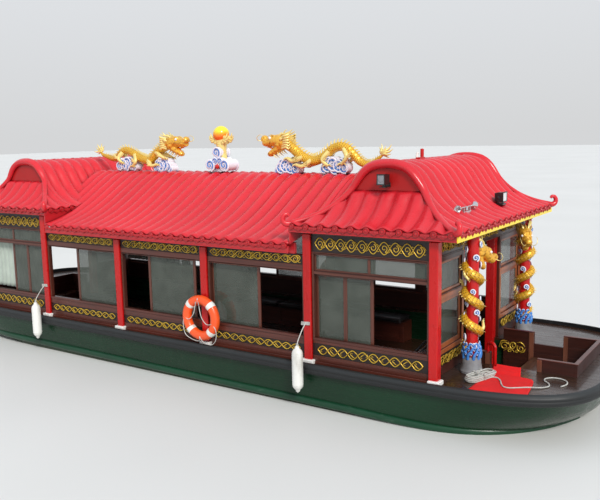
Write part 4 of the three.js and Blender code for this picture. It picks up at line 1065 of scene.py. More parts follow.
def rolledEdge(px, side):
    eave = roof["eaveX"]
    spots = [-eave + 2 * eave * k / 72 for k in range(73)]
    line = [Vector((px + d, side * hipY(d), profileHeight(roof["pavilion"], d) + rolls["lift"])) for d in spots]
    out = {}
    for way in (-1, 1):
        end = line[0] if way < 0 else line[-1]
        inner = line[2] if way < 0 else line[-3]
        run = Vector((end.x - inner.x, end.y - inner.y, 0)).normalized()
        out[way] = [end + run * a + Vector((0, 0, b)) for a, b in smoothOutline(rolls["curl"], 4)]
    spots = [-2] * len(out[-1]) + spots + [2] * len(out[1])
    line = out[-1][::-1] + line + out[1]
    tips = len(out[1])
    total = len(line)

    def section(i, _):
        d = abs(spots[i])
        blend = min(1, max(0, (d - roof["foot"] + 0.12) / 0.24))
        wide = rolls["arch"][0] * (1 - blend) + rolls["hip"][0] * blend
        tall = rolls["arch"][1] * (1 - blend) + rolls["hip"][1] * blend
        near = min(i, total - 1 - i)
        thin = 0.42 + 0.58 * min(1, near / tips) ** 0.8
        power = 0.55 + 0.45 * blend
        return [(wide * thin * copysign(abs(cos(t)) ** power, cos(t)), tall * thin * copysign(abs(sin(t)) ** power,
            sin(t))) for t in around(14)]
    return sweep(line, section)


def smoothOutline(points, per):
    return [(p.x, p.y) for p in smoothLine([(a, b, 0) for a, b in points], per)]


def makeRoofEdges():
    for end, name in endNames.items():
        px = end * boat["pavilionX"]
        dress(name + "RoofRolls", [rolledEdge(px, side) for side in sideNames], "roof", "roof_red", angle=60)
        # The gables take a darker red than the roof: painted shade on these upright faces
        gables = []
        for side in sideNames:
            arch = [(px + d, profileHeight(roof["pavilion"], d) - 0.012) for d in np.linspace(-0.57, 0.57, 41)]
            outline = [(px - 0.57, deck + 2.12)] + arch + [(px + 0.57, deck + 2.12)]
            gables.append(prismShape(outline, "y", *sorted((side * 1.29, side * 1.318))))
        dress(name + "Gables", gables, "gable", "roof_red", angle=30)
        low, high = deck + 1.76, deck + 1.842
        t, ex, ey = 0.03, roof["eaveX"], roof["eaveY"]
        fascia = [(px - ex, px + ex, side * (ey - t), side * ey, low, high) for side in sideNames]
        fascia += [(px + way * (ex - t), px + way * ex, -ey + t, ey - t, low, high) for way in (-1, 1)]
        fascia += [(px - ex - 0.004, px + ex + 0.004, side * (ey - t), side * (ey + 0.006), low, low + 0.018)
            for side in sideNames]
        boards(name + "Fascia", fascia, "tileEnd", "roof_red", width=0.005)
        plate = []
        for side in sideNames:
            plate.append(boxShape(end * (boat["stepX"] + 0.02), end * 4.385, side * 1.70, side * 1.75, deck + 1.74,
                deck + 1.87))
        cross = [(-1.7, 1.74), (1.7, 1.74), (1.7, 1.9), (1.5, 1.985), (-1.5, 1.985), (-1.7, 1.9)]
        cross = [(y, deck + z) for y, z in cross]
        plate.append(prismShape(cross, "x", *sorted((end * 4.335, end * 4.385))))
        eaveLine = [(y, profileHeight(roof["middle"], y) + 0.012) for y in np.linspace(1.16, 1.88, 13)]
        for side in sideNames:
            outline = [(side * y, z) for y, z in eaveLine] + [(side * 1.88, deck + 1.842), (side * 1.1, deck + 1.842)]
            plate.append(prismShape(outline, "x", *sorted((end * 2.462, end * 2.488))))
        dress(name + "WallPlates", plate, "tileEnd", "roof_red", ease=0.004)
        trim = [(px + end * ex, px + end * (ex + 0.012), -ey, ey, deck + 1.755, deck + 1.825)]
        boards(name + "EaveTrim", trim, "yellow", "yellow_paint", width=0.003)
    t, y = 0.03, roof["middleEave"]
    fascia = [(-roof["endX"], roof["endX"], side * (y - t), side * y, deck + 1.478, deck + 1.572)
        for side in sideNames]
    fascia += [(-roof["endX"], roof["endX"], side * (y - t), side * (y + 0.006), deck + 1.478, deck + 1.496)
        for side in sideNames]
    fascia += [(-roof["endX"], roof["endX"], side * 1.70, side * 1.75, deck + 1.45, deck + 1.6) for side in sideNames]
    boards("middleFascia", fascia, "tileEnd", "roof_red", width=0.005)


makeRoofEdges()


# Motifs stand on the line they are set along: x along it, z up, and their faces look along -y
def lathe(profile, sides=18):
    return ringsShape([[(r * cos(t), y, r * sin(t)) for t in around(sides)] for r, y in profile])


def motif(name, shapes):
    verts, faces = joinShapes(shapes)
    obj = bpy.data.objects.new(name, makeMesh(name, verts, faces))
    scene.collection.objects.link(obj)
    fixNormals(obj)
    obj.data.polygons.foreach_set("use_smooth", [True] * len(obj.data.polygons))
    obj.hide_render = True
    return obj


# Copies of a motif at even steps from one point to another, every other one flipped if asked
def rowTree():
    tree, entry = newTree("motifRow", [("Vector", "Start", None), ("Vector", "End", None), ("Int", "Count", 2),
        ("Object", "Motif", None), ("Vector", "Turn", None), ("Vector", "Other Turn", None), ("Float", "Size", 1.0),
        ("Material", "Finish", None)])
    line = addNode(tree, "GeometryNodeMeshLine", {"Count": entry["Count"], "Start Location": entry["Start"],
        "Offset": entry["End"]}, mode="END_POINTS")
    number = addNode(tree, "GeometryNodeInputIndex").outputs[0]
    odd = calc(tree, "MODULO", number, 2.0)
    turn = addNode(tree, "ShaderNodeMix", {0: odd, 4: entry["Turn"], 5: entry["Other Turn"]}, data_type="VECTOR")
    source = addNode(tree, "GeometryNodeObjectInfo", {"Object": entry["Motif"], "As Instance": True})
    placed = addNode(tree, "GeometryNodeInstanceOnPoints", {"Points": line.outputs[0],
        "Instance": source.outputs["Geometry"], "Rotation": turn.outputs[1], "Scale": entry["Size"]})
    endTree(tree, entry, placed.outputs[0])
    return tree


motifRow = rowTree()


def rowShape(motifObject, start, end, count, turn=(0, 0, 0), otherTurn=None, size=1.0, material=None):
    return meshShape(grow(motifRow, {"Start": start, "End": end, "Count": count, "Motif": motifObject, "Turn": turn,
        "Other Turn": otherTurn or turn, "Size": size}, material))


tileParts = {"radius": 0.041}


def makeTileEnds():
    r = tileParts["radius"]
    disc = motif("tileEndMotif", [lathe([(0.012, 0.02), (r, 0.02), (r, -0.008), (r * 0.9, -0.014),
        (r * 0.78, -0.012), (r * 0.72, -0.006), (r * 0.45, -0.007), (r * 0.36, -0.014), (r * 0.12, -0.018)], 12)])
    lobe = [(0.0, -0.046), (0.022, -0.03), (0.042, -0.018), (0.06, -0.014), (0.062, 0.012), (-0.062, 0.012),
        (-0.06, -0.014), (-0.042, -0.018), (-0.022, -0.03)]
    petal = [Vector((-0.036, -0.008, -0.004)), Vector((-0.02, -0.009, -0.018)), Vector((0, -0.01, -0.03)),
        Vector((0.02, -0.009, -0.018)), Vector((0.036, -0.008, -0.004))]
    drip = motif("dripTileMotif", [prismShape(lobe, "y", -0.006, 0.004), sweep(petal, roundSection(0.004, 6)),
        lathe([(0.002, 0.0), (0.008, -0.008), (0.003, -0.012)], 8)])
    shapes = {"front": [], "middle": [], "rear": []}

    def eaveRow(where, start, end, count, turn, drips):
        shapes[where].append(rowShape(disc, start, end, count, turn, material=finish["tileEnd"]))
        if drips:
            step = (Vector(end) - Vector(start)) / (count - 1)
            a, b = Vector(start) + step / 2, Vector(end) - step / 2
            down = Vector((0, 0, -0.012))
            shapes[where].append(rowShape(drip, a + down, b + down, count - 1, turn, material=finish["tileEnd"]))
    for side in sideNames:
        turn = (0, 0, 0 if side < 0 else pi)
        eaveRow("middle", (-2.4, side * (roof["middleEave"] + 0.012), deck + 1.578),
            (2.4, side * (roof["middleEave"] + 0.012), deck + 1.578), 25, turn, True)
    for end, name in endNames.items():
        px = end * boat["pavilionX"]
        z = deck + 1.838
        for side in sideNames:
            turn = (0, 0, 0 if side < 0 else pi)
            y = side * (roof["eaveY"] + 0.012)
            eaveRow(name, (px - 1.1, y, z), (px + 1.1, y, z), 11, turn, True)
        for way in (-1, 1):
            x = px + way * (roof["eaveX"] + 0.012)
            eaveRow(name, (x, -1.76, z), (x, 1.76, z), 17, (0, 0, way * pi / 2), True)
    for name, parts in shapes.items():
        dress(name + "TileEnds", parts, "tileEnd", "roof_red", angle=40, mend=False)
    clearAway(disc, drip)


makeTileEnds()
print("roof edges done")


# Carved and gilded bands: two strands that cross, with leaves or scrolls between
carving = {"pitch": 0.148, "bandStrand": 0.0075, "friezeStrand": 0.0065, "proud": 0.007}


def strandTree():
    tree, entry = newTree("carvedStrands", [("Float", "Length", 1.0), ("Int", "Loops", 8), ("Float", "Amplitude",
        0.03), ("Float", "Strand", 0.007), ("Float", "Weave", 0.004), ("Material", "Finish", None)])
    half = calc(tree, "MULTIPLY", entry["Length"], 0.5)
    strands = []
    for phase in (0.0, pi):
        start = addNode(tree, "ShaderNodeCombineXYZ", {0: calc(tree, "MULTIPLY", half, -1.0)})
        stop = addNode(tree, "ShaderNodeCombineXYZ", {0: half})
        line = addNode(tree, "GeometryNodeCurvePrimitiveLine", {"Start": start.outputs[0], "End": stop.outputs[0]})
        fine = addNode(tree, "GeometryNodeResampleCurve", {"Curve": line.outputs[0], "Count": calc(tree, "MULTIPLY",
            entry["Loops"], 9.0)})
        share = addNode(tree, "GeometryNodeSplineParameter").outputs["Factor"]
        turn = calc(tree, "MULTIPLY", calc(tree, "MULTIPLY", share, entry["Loops"]), pi)
        wave = calc(tree, "MULTIPLY", calc(tree, "SINE", calc(tree, "ADD", turn, phase)), entry["Amplitude"])
        weave = calc(tree, "MULTIPLY", calc(tree, "COSINE", calc(tree, "ADD", turn, phase)), entry["Weave"])
        shift = addNode(tree, "ShaderNodeCombineXYZ", {1: weave, 2: wave})
        strands.append(addNode(tree, "GeometryNodeSetPosition", {"Geometry": fine.outputs[0],
            "Offset": shift.outputs[0]}).outputs[0])
    both = addNode(tree, "GeometryNodeJoinGeometry")
    for strand in strands:
        tree.links.new(strand, both.inputs[0])
    ring = addNode(tree, "GeometryNodeCurvePrimitiveCircle", {"Resolution": 6, "Radius": entry["Strand"]})
    body = addNode(tree, "GeometryNodeCurveToMesh", {"Curve": both.outputs[0], "Profile Curve": ring.outputs[0],
        "Fill Caps": True})
    endTree(tree, entry, body.outputs[0])
    return tree


carvedStrands = strandTree()


def spiralPoints(centre, radius, turns, start, grow=0.35, flip=1, steps=14):
    cx, cz = centre
    out = []
    for k in range(steps):
        t = k / (steps - 1)
        turn = start + flip * 2 * pi * turns * t
        r = radius * (1 - (1 - grow) * t)
        out.append((cx + r * cos(turn), 0, cz + r * sin(turn)))
    return out


def makeCarvings():
    leaf = motif("leafMotif", [tube([(-0.03, 0, 0.0), (-0.01, -0.002, 0.012), (0.012, -0.003, 0.03),
        (0.034, -0.002, 0.034), (0.04, 0, 0.022)], lambda s: 0.0075 * (1 - 0.75 * s), 5, 2),
        tube([(-0.028, 0, 0.0), (-0.034, -0.002, -0.014), (-0.02, -0.003, -0.026), (-0.006, 0, -0.02)],
        lambda s: 0.006 * (1 - 0.7 * s), 5, 2)])
    scroll = motif("scrollMotif", [tube(spiralPoints((0.0, 0.0), 0.046, 1.15, -pi * 0.4, 0.25),
        lambda s: 0.0075 * (1 - 0.5 * s), 5, 1), tube([(0.014, 0, -0.043), (0.045, -0.002, -0.052),
        (0.075, -0.001, -0.036), (0.088, 0, -0.01)], lambda s: 0.0075 * (1 - 0.7 * s), 5, 2),
        tube([(0.05, 0, 0.03), (0.07, -0.002, 0.044), (0.09, 0, 0.036)], lambda s: 0.006 * (1 - 0.7 * s), 5, 2)])
    rosette = motif("rosetteMotif", [lathe([(0.02, 0.004), (0.022, -0.004), (0.014, -0.01), (0.004, -0.012)], 10)]
        + [tube([(0.016 * cos(t), -0.004, 0.016 * sin(t)), (0.038 * cos(t), -0.006, 0.038 * sin(t))],
        lambda s: 0.009 * (1 - 0.6 * s), 6, 3) for t in (i * pi / 3 for i in range(6))])
    gold = finish["gold"]

    def bandShapes(length, tall, strand, motifObject, size):
        loops = max(2, round(length / carving["pitch"]))
        pitch = length / loops
        parts = [meshShape(grow(carvedStrands, {"Length": length, "Loops": loops, "Amplitude": tall * 0.36,
            "Strand": strand, "Weave": strand * 0.5}, gold))]
        half = length / 2
        parts.append(rowShape(motifObject, (-half + pitch / 2, -0.002, 0), (half - pitch / 2, -0.002, 0), loops,
            (0, 0, 0), (pi, 0, 0), size, gold))
        parts.append(rowShape(rosette, (0, -0.003, 0), (0.001, -0.003, 0), 2, size=size, material=gold))
        return parts

    for side, name in sideNames.items():
        shapes = []
        for k in range(5):
            a, b = bayEdges(k)
            kind = bayKind(k)
            for part, motifObject, strand in (("band", leaf, carving["bandStrand"]),
                    ("frieze", scroll, carving["friezeStrand"])):
                low, high = cabin[part][kind]
                length = b - a - (0.1 if part == "band" else 0.06)
                tall = high - low
                size = min(1.0, tall / 0.115)
                made = bandShapes(length, tall, strand, motifObject, size)
                face = boat["wallOut"] + 0.003 + carving["proud"]
                shapes += movedShapes(made, lambda v: Vector(((a + b) / 2 - side * v.x, side * face - v.y,
                    deck + (low + high) / 2 + v.z)))
        dress("gildedBands_" + name, shapes, "gold", "yellow_paint", angle=60, mend=False)
    ends = []
    for end in (1, -1):
        for side in sideNames:
            made = bandShapes(0.84, 0.14, carving["bandStrand"], scroll, 1.1)
            x = end * (boat["endWall"][1] + 0.003 + carving["proud"])
            ends += movedShapes(made, lambda v: Vector((x - end * v.y, side * 1.19 + end * v.x, deck + 0.195 + v.z)))
        for y, length in ((-1.16, 0.94), (0, 1.1), (1.16, 0.94)):
            made = bandShapes(length, 0.15, carving["friezeStrand"], scroll, 1.15)
            ends += movedShapes(made, lambda v: Vector((x - end * v.y, y + end * v.x, deck + 1.62 + v.z)))
    dress("gildedBands_ends", ends, "gold", "yellow_paint", angle=60, mend=False)
    clearAway(leaf, scroll, rosette)


makeCarvings()
print("carved bands done")


# Copies of a motif on given spots, each with its own heading, outward side and size
def scatterTree():
    tree, entry = newTree("motifScatter", [("Object", "Spots", None), ("Object", "Motif", None),
        ("Material", "Finish", None)])
    spots = addNode(tree, "GeometryNodeObjectInfo", {"Object": entry["Spots"]})
    source = addNode(tree, "GeometryNodeObjectInfo", {"Object": entry["Motif"], "As Instance": True})

    def named(label, kind):
        return addNode(tree, "GeometryNodeInputNamedAttribute", {"Name": label}, data_type=kind).outputs[0]
    heading = addNode(tree, "FunctionNodeAlignRotationToVector", {"Vector": named("heading", "FLOAT_VECTOR")},
        axis="X")
    facing = addNode(tree, "FunctionNodeAlignRotationToVector", {"Rotation": heading.outputs[0],
        "Vector": named("outward", "FLOAT_VECTOR")}, axis="Z", pivot_axis="X")
    placed = addNode(tree, "GeometryNodeInstanceOnPoints", {"Points": spots.outputs["Geometry"],
        "Instance": source.outputs["Geometry"], "Rotation": facing.outputs[0], "Scale": named("size", "FLOAT")})
    endTree(tree, entry, placed.outputs[0])
    return tree


motifScatter = scatterTree()


def scatter(motifObject, spots, material):
    mesh = makeMesh("spots", [p for p, _, _, _ in spots], [])
    for label, kind, at in (("heading", "FLOAT_VECTOR", 1), ("outward", "FLOAT_VECTOR", 2)):
        mesh.attributes.new(label, kind, "POINT").data.foreach_set("vector", [c for s in spots for c in s[at]])
    mesh.attributes.new("size", "FLOAT", "POINT").data.foreach_set("value", [s[3] for s in spots])
    holder = bpy.data.objects.new("spots", mesh)
    scene.collection.objects.link(holder)
    shape = meshShape(grow(motifScatter, {"Spots": holder, "Motif": motifObject}, material))
    clearAway(holder)
    return shape


# A tube's UV map: u runs along it in metres, v round it
def uvAlong(obj, line, sides):
    layer = obj.data.uv_layers.new(name="along")
    run = [0.0]
    for a, b in zip(line, line[1:]):
        run.append(run[-1] + (Vector(b) - Vector(a)).length)
    for face in obj.data.polygons:
        i, k = divmod(face.index, sides)
        if i < len(line) - 1:
            for loop, (di, dk) in zip(face.loop_indices, ((0, 0), (1, 0), (1, 1), (0, 1))):
                layer.data[loop].uv = (run[i + di], (k + dk) / sides)
    return obj


def evenLine(points, step):
    line = [Vector(p) for p in points]
    out, need = [line[0].copy()], step
    for a, b in zip(line, line[1:]):
        span = (b - a).length
        at = need
        while at <= span:
            out.append(a.lerp(b, at / span))
            at += step
        need = at - span
    if (out[-1] - line[-1]).length > step * 0.3:
        out.append(line[-1])
    return out


def fineRope(name, routes, radius, material, slotName, sides=8, per=5, nodes=()):
    pieces = []
    for route in routes:
        line = smoothLine(route, per)
        verts, faces = sweep(line, roundSection(radius, sides))
        pieces.append(uvAlong(makePiece(name, verts, faces, material, 60), line, sides))
    return settle(joinPieces(name, pieces), slotName, nodes=nodes)


def joinPieces(name, pieces):
    if len(pieces) > 1:
        with bpy.context.temp_override(active_object=pieces[0], selected_editable_objects=pieces):
            bpy.ops.object.join()
    pieces[0].name = name
    return pieces[0]


finish.update({"rope": ropeFinish("mooringLine", (0.62, 0.62, 0.58), 0.11), "thinRope": ropeFinish("thinLine",
    (0.66, 0.66, 0.62), 0.05), "carpet": clothFinish("redCarpet", (0.72, 0.005, 0.006), 1100, 0.0012, 0.15, None,
    0.0), "carpetBack": clothFinish("carpetBacking", (0.55, 0.52, 0.47), 900, 0.0008),
    "curtain": clothFinish("paleCurtain", (0.4, 0.46, 0.4), 2600, 0.0004, 0.12),
    "buoy": paintFinish("lifebuoyOrange", (0.8, 0.085, 0.012), 0.38, coat=0.15, fade=0.15, mottle=0.12, bump=0.06,
    bumpScale=90, dust={"color": (0.4, 0.16, 0.07), "scale": 11, "from": 0.6, "to": 0.85, "most": 0.35}),
    "black": paintFinish("lampBlack", (0.012, 0.012, 0.013), 0.35, coat=0.3, fade=0.2),
    "steel": paintFinish("fittingSteel", (0.62, 0.63, 0.64), 0.22, metal=0.9, fade=0.08, mottle=0.12),
    "lens": paintFinish("lampLens", (0.72, 0.75, 0.76), 0.12, coat=0.8, fade=0.1, bump=0.1, bumpScale=60)})
finish["vinyl"] = paintFinish("fenderVinyl", (0.74, 0.74, 0.7), 0.42, coat=0.15, fade=0.08,
    dust={"color": (0.24, 0.21, 0.17), "scale": 7, "from": 0.48, "to": 0.75, "most": 0.6, "stretch": (1, 1, 0.35)})


# The mooring rope is made fast at the starboard pillar's foot, lies there in a hank and ends on the deck
rope = {"radius": 0.009, "half": 0.16, "turn": radians(72.6), "middle": (4.8413, -1.2495), "floor": 1.0456,
    "layer": 0.0183, "lap": 0.0185, "bend": 0.0725, "lapSteps": 56, "lapLength": 1.0955, "dropWay": 0.1,
    "start": 0.0915, "exitAt": (0.1332, 0.1161), "step": 0.006, "layers": [(3, 1, 0.0725, -1), (2, 2, 0.054, 1),
    (1, 2, 0.091, -1), (0, 1.666, 0.054, 1)], "end": [(5033, -1174, 1045.6), (5090, -1250, 1045.6),
    (5140, -1360, 1045.6), (5190, -1440, 1045.6), (5255, -1458, 1045.6), (5335, -1410, 1045.6),
    (5420, -1345, 1045.6), (5510, -1295, 1045.6), (5590, -1240, 1040.8), (5640, -1150, 1039.5),
    (5610, -1050, 1039.3), (5540, -970, 1039.3), (5530, -880, 1039.3), (5600, -810, 1039.3), (5700, -810, 1039.3),
    (5780, -880, 1039.3), (5800, -990, 1039.3), (5765, -1090, 1039.3)]}


def hankPoint(u, v, z):
    c, s = cos(rope["turn"]), sin(rope["turn"])
    return Vector((rope["middle"][0] + u * c - v * s, rope["middle"][1] + u * s + v * c, z))


# Where a lap of the hank is, a given part of the way round from its start
def lapPoint(share, radius):
    half, arc = rope["half"], pi * rope["bend"]
    pieces = [rope["start"] + half, arc, 2 * half, arc, half - rope["start"]]
    way = share * sum(pieces)
    for k, span in enumerate(pieces):
        if way <= span or k == 4:
            break
        way -= span
    if k == 0:
        return rope["start"] - way, radius
    if k == 1:
        turn = pi / 2 + pi * way / span
        return -half + radius * cos(turn), radius * sin(turn)
    if k == 2:
        return -half + way, -radius
    if k == 3:
        turn = -pi / 2 + pi * way / span
        return half + radius * cos(turn), radius * sin(turn)
    return half - way, radius


def ropeLine():
    floor, layer = rope["floor"], rope["layer"]
    u, v = rope["exitAt"]
    bend = u - rope["start"]
    top = floor + 3 * layer
    points = [hankPoint(rope["start"] + bend * cos(t), v - bend * sin(t), top) for t in (k * pi / 20
        for k in range(10))]
    drop = 0.0
    for level, laps, radius, grow in rope["layers"]:
        steps = round(rope["lapSteps"] * laps)
        for k in range(steps):
            share = k / rope["lapSteps"]
            way = min(1.0, share * rope["lapLength"] / rope["dropWay"])
            z = floor + level * layer + drop * (1 - way * way * (3 - 2 * way))
            points.append(hankPoint(*lapPoint(share % 1, radius + grow * rope["lap"] * share), z))
        drop = layer
    lastRadius = rope["layers"][-1][2] + rope["lap"] * rope["layers"][-1][1]
    points += [hankPoint(0.09 + 0.04 * sin(t), -lastRadius - 0.04 * (1 - cos(t)), floor) for t in (k * pi / 16
        for k in range(9))]
    loose = smoothLine([points[-2], points[-1]] + [Vector(p) / 1000 for p in rope["end"]], 8)
    return evenLine(smoothLine(points + loose[9:], 3), rope["step"])


def makeRope():
    line = ropeLine()
    sides, strands, pitch = 15, 3, 0.06

    def section(i, _):
        twist = 2 * pi * i * rope["step"] / pitch
        out = []
        for k in range(sides):
            turn = 2 * pi * k / sides
            r = rope["radius"] * (0.8 + 0.2 * abs(cos(strands * turn / 2)) ** 0.6)
            out.append((r * cos(turn + twist), r * sin(turn + twist)))
        return out
    verts, faces = sweep(line, section)
    obj = uvAlong(makePiece("mooringRope", verts, faces, finish["rope"], 70), line, sides)
    settle(obj, "rope_white", nodes=("mooring_rope_hank", "mooring_rope_end"))
    ties = []
    for shift in (-0.012, -0.004, 0.004, 0.012):
        ties.append([hankPoint(-0.03 + shift * (1 + 0.3 * s), v, z) for s, v, z in ((0, -0.1015, 1.043),
            (1, -0.1025, 1.07), (1, -0.099, 1.102), (0, -0.085, 1.1125), (1, -0.05, 1.1128), (0, 0.0, 1.1128),
            (1, 0.05, 1.1128), (0, 0.085, 1.1125), (1, 0.099, 1.102), (1, 0.1025, 1.07), (0, 0.1015, 1.043))])
    tie = fineRope("mooringRopeTie", ties, 0.0028, finish["thinRope"], "rope_white")
    length = sum((b - a).length for a, b in zip(line, line[1:]))
    print("mooring rope length", round(length, 3))
    tuple(line[0])
    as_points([tuple(p) for p in line[::2]] + [tuple(line[-1])])


# The carpet's rows across the deck: y, forward edge, rise
carpet = {"aft": 4.86, "base": deckFace, "thick": 0.006, "rows": [(-1.69, 5.535), (-1.153, 5.457), (-1.0, 5.4)],
    "ruffleFrom": -0.98, "ruffle": 0.104, "high": 0.044, "waves": 3, "across": 30}


def clothMap(obj, spotOf):
    layer = obj.data.uv_layers.new(name="cloth")
    for face in obj.data.polygons:
        for loop, vert in zip(face.loop_indices, face.vertices):
            layer.data[loop].uv = spotOf(vert)


def makeCarpet():
    rows = [(y, x, 0.0) for y, x, _ in smoothLine([(y, x, 0) for y, x in carpet["rows"]], 14)]
    steps = carpet["waves"] * 16
    for k in range(steps + 1):
        y = carpet["ruffleFrom"] + k * carpet["ruffle"] / 16
        rise = carpet["high"] / 2 * (1 - cos(2 * pi * k / 16))
        rows.append((y, 5.25 - 0.3 * (y - carpet["ruffleFrom"]), rise))
    verts, faces = [], []
    count = carpet["across"] + 1
    random.seed(4)
    phase = [random.uniform(0, 6) for _ in range(4)]
    for y, forward, rise in rows:
        for k in range(count):
            s = k / (count - 1)
            x = carpet["aft"] + (forward - carpet["aft"]) * s
            wave = 0.0012 * (1 + sin(9 * y + 7 * x + phase[0])) * (1 + sin(23 * x - 11 * y + phase[1])) / 2
            lift = rise * (0.86 + 0.14 * sin(5 * x + phase[2]) * sin(3 * x + phase[3]))
            lip = 0.004 * max(0.0, s - 0.93) / 0.07
            verts.append((x, y, carpet["base"] + carpet["thick"] + min(lift + wave * 0.5 + lip, 0.044)))
    for a in (j * count + k for j in range(len(rows) - 1) for k in range(count - 1)):
        faces.append((a, a + 1, a + count + 1, a + count))
    run = [0.0]
    for j in range(len(rows) - 1):
        run.append(run[-1] + (Vector(verts[(j + 1) * count]) - Vector(verts[j * count])).length)
    obj = makePiece("foredeckCarpet", verts, faces, finish["carpet"], 60)
    obj.data.materials.append(finish["carpetBack"])
    clothMap(obj, lambda vert: (verts[vert][0], run[vert // count]))
    thick = obj.modifiers.new("thickness", "SOLIDIFY")
    thick.thickness = carpet["thick"]
    thick.offset = -1
    thick.material_offset = 1
    settle(obj, "red_cloth", nodes="foredeck_carpet")


curtain = {"y": 1.64, "from": -4.29, "pleat": 0.06, "count": 23, "half": 0.013, "low": 1.42, "high": 2.53,
    "rod": 0.009}


def makeCurtains():
    c = curtain
    random.seed(9)
    for side, name in sideNames.items():
        steps, rows = c["count"] * 10, 16
        drift = [random.uniform(-0.35, 0.35) for _ in range(c["count"] + 2)]
        verts, faces, run = [], [], []
        for j in range(rows + 1):
            down = j / rows
            length = 0.0
            for i in range(steps + 1):
                turn = 2 * pi * i / 20
                part = i / 10
                wander = drift[int(part)] * (1 - part % 1) + drift[int(part) + 1] * (part % 1)
                half = c["half"] * (0.55 + 0.45 * min(1, down * 3))
                x = c["from"] + i * c["pleat"] / 10 + 0.006 * wander * down
                y = side * c["y"] + half * sin(turn + wander * down * 0.8)
                verts.append((x, y, c["high"] + (c["low"] - c["high"]) * down))
                if i:
                    length += hypot(verts[-1][0] - verts[-2][0], verts[-1][1] - verts[-2][1])
                run.append(length)
        for a in (j * (steps + 1) + i for j in range(rows) for i in range(steps)):
            faces.append((a, a + steps + 1, a + steps + 2, a + 1))
        obj = makePiece("curtainCloth_" + name, verts, faces, finish["curtain"], 80)
        clothMap(obj, lambda vert: (run[vert], verts[vert][2]))
        thick = obj.modifiers.new("thickness", "SOLIDIFY")
        thick.thickness = 0.0012
        settle(obj, "white_cloth", nodes="curtain_" + name)
        rodEnd = c["from"] + c["count"] * c["pleat"] + 0.04
        y, rod = side * c["y"], c["high"]
        shapes = [tube([(c["from"] - 0.015, y, rod), (rodEnd, y, rod)], c["rod"], 14, 2)]
        for x in (c["from"] - 0.003, rodEnd - 0.012):
            shapes.append(tube([(x, y, rod), (x, side * 1.6942, rod)], 0.006, 10, 2))
            shapes.append(tube([(x, side * 1.69, rod), (x, side * 1.6942, rod)], 0.017, 14, 1))
        for k in range(c["count"] + 1):
            x = c["from"] + (k + (0.25 if k < c["count"] else -0.25)) * c["pleat"]
            ring = [(x, y + 0.0135 * cos(t), rod + 0.0135 * sin(t)) for t in around(12)]
            shapes.append(tube(ring, 0.0022, 6, 1, closed=True, up=(1, 0, 0)))
        dress("curtainRod_" + name, shapes, "steel", "steel", angle=50)


makeRope()
makeCarpet()
makeCurtains()
print("rope, carpet and curtains done")


# Round scales in rows along a swept body, on its UV map
def scaleFinish(name, color, dark, size, onUv=True):
    material, tree, shader, place = newFinish(name)
    if onUv:
        uv = clothPlace(tree)
        across, along = calc(tree, "MULTIPLY", uv["Y"], 12.0), calc(tree, "DIVIDE", uv["X"], size)
        row = calc(tree, "FLOOR", along)
        shift = calc(tree, "MULTIPLY", calc(tree, "MODULO", row, 2.0), 0.5)
        u = calc(tree, "SUBTRACT", calc(tree, "FRACT", calc(tree, "ADD", across, shift)), 0.5)
        v = calc(tree, "FRACT", along)
        arc = calc(tree, "SUBTRACT", calc(tree, "ADD", v, calc(tree, "MULTIPLY", calc(tree, "MULTIPLY", u, u), 2.2)),
            0.1)
        scale = calc(tree, "PINGPONG", arc, 1.0)
    else:
        cells = addNode(tree, "ShaderNodeTexVoronoi", {"Vector": place, "Scale": 1 / size})
        scale = calc(tree, "SUBTRACT", 1.0, cells.outputs["Distance"])
    wear = noiseOf(tree, place, 9, 4)
    base = mixColor(tree, greys(tree, wear, 0.3, 0.75), shade(color, 0.85), shade(color, 1.15))
    base = mixColor(tree, greys(tree, scale, 0.1, 0.4, 0.85, 0.0), base, (*dark, 1))
    fill(tree, shader, {"Base Color": base, "Roughness": greys(tree, wear, 0.3, 0.8, 0.28, 0.42), "Metallic": 0.35,
        "Coat Weight": 0.2})
    bumpFrom(tree, shader, scale, 0.8, 0.006)
    return material


def pearlFinish():
    material, tree, shader, place = newFinish("pearlPaint")
    height = addNode(tree, "ShaderNodeSeparateXYZ", {0: place}).outputs["Z"]
    wear = noiseOf(tree, place, 8, 4)
    level = calc(tree, "ADD", calc(tree, "DIVIDE", calc(tree, "SUBTRACT", height, 3.93), 0.28),
        calc(tree, "MULTIPLY", calc(tree, "SUBTRACT", wear, 0.5), 0.3))
    base = rampOf(tree, level, [(0.3, (0.85, 0.14, 0.01)), (0.5, (0.9, 0.36, 0.01)), (0.68, (0.92, 0.74, 0.03))])
    fill(tree, shader, {"Base Color": base, "Roughness": greys(tree, wear, 0.3, 0.8, 0.2, 0.36), "Coat Weight": 0.4})
    bumpFrom(tree, shader, wear, 0.1, 0.004)
    return material
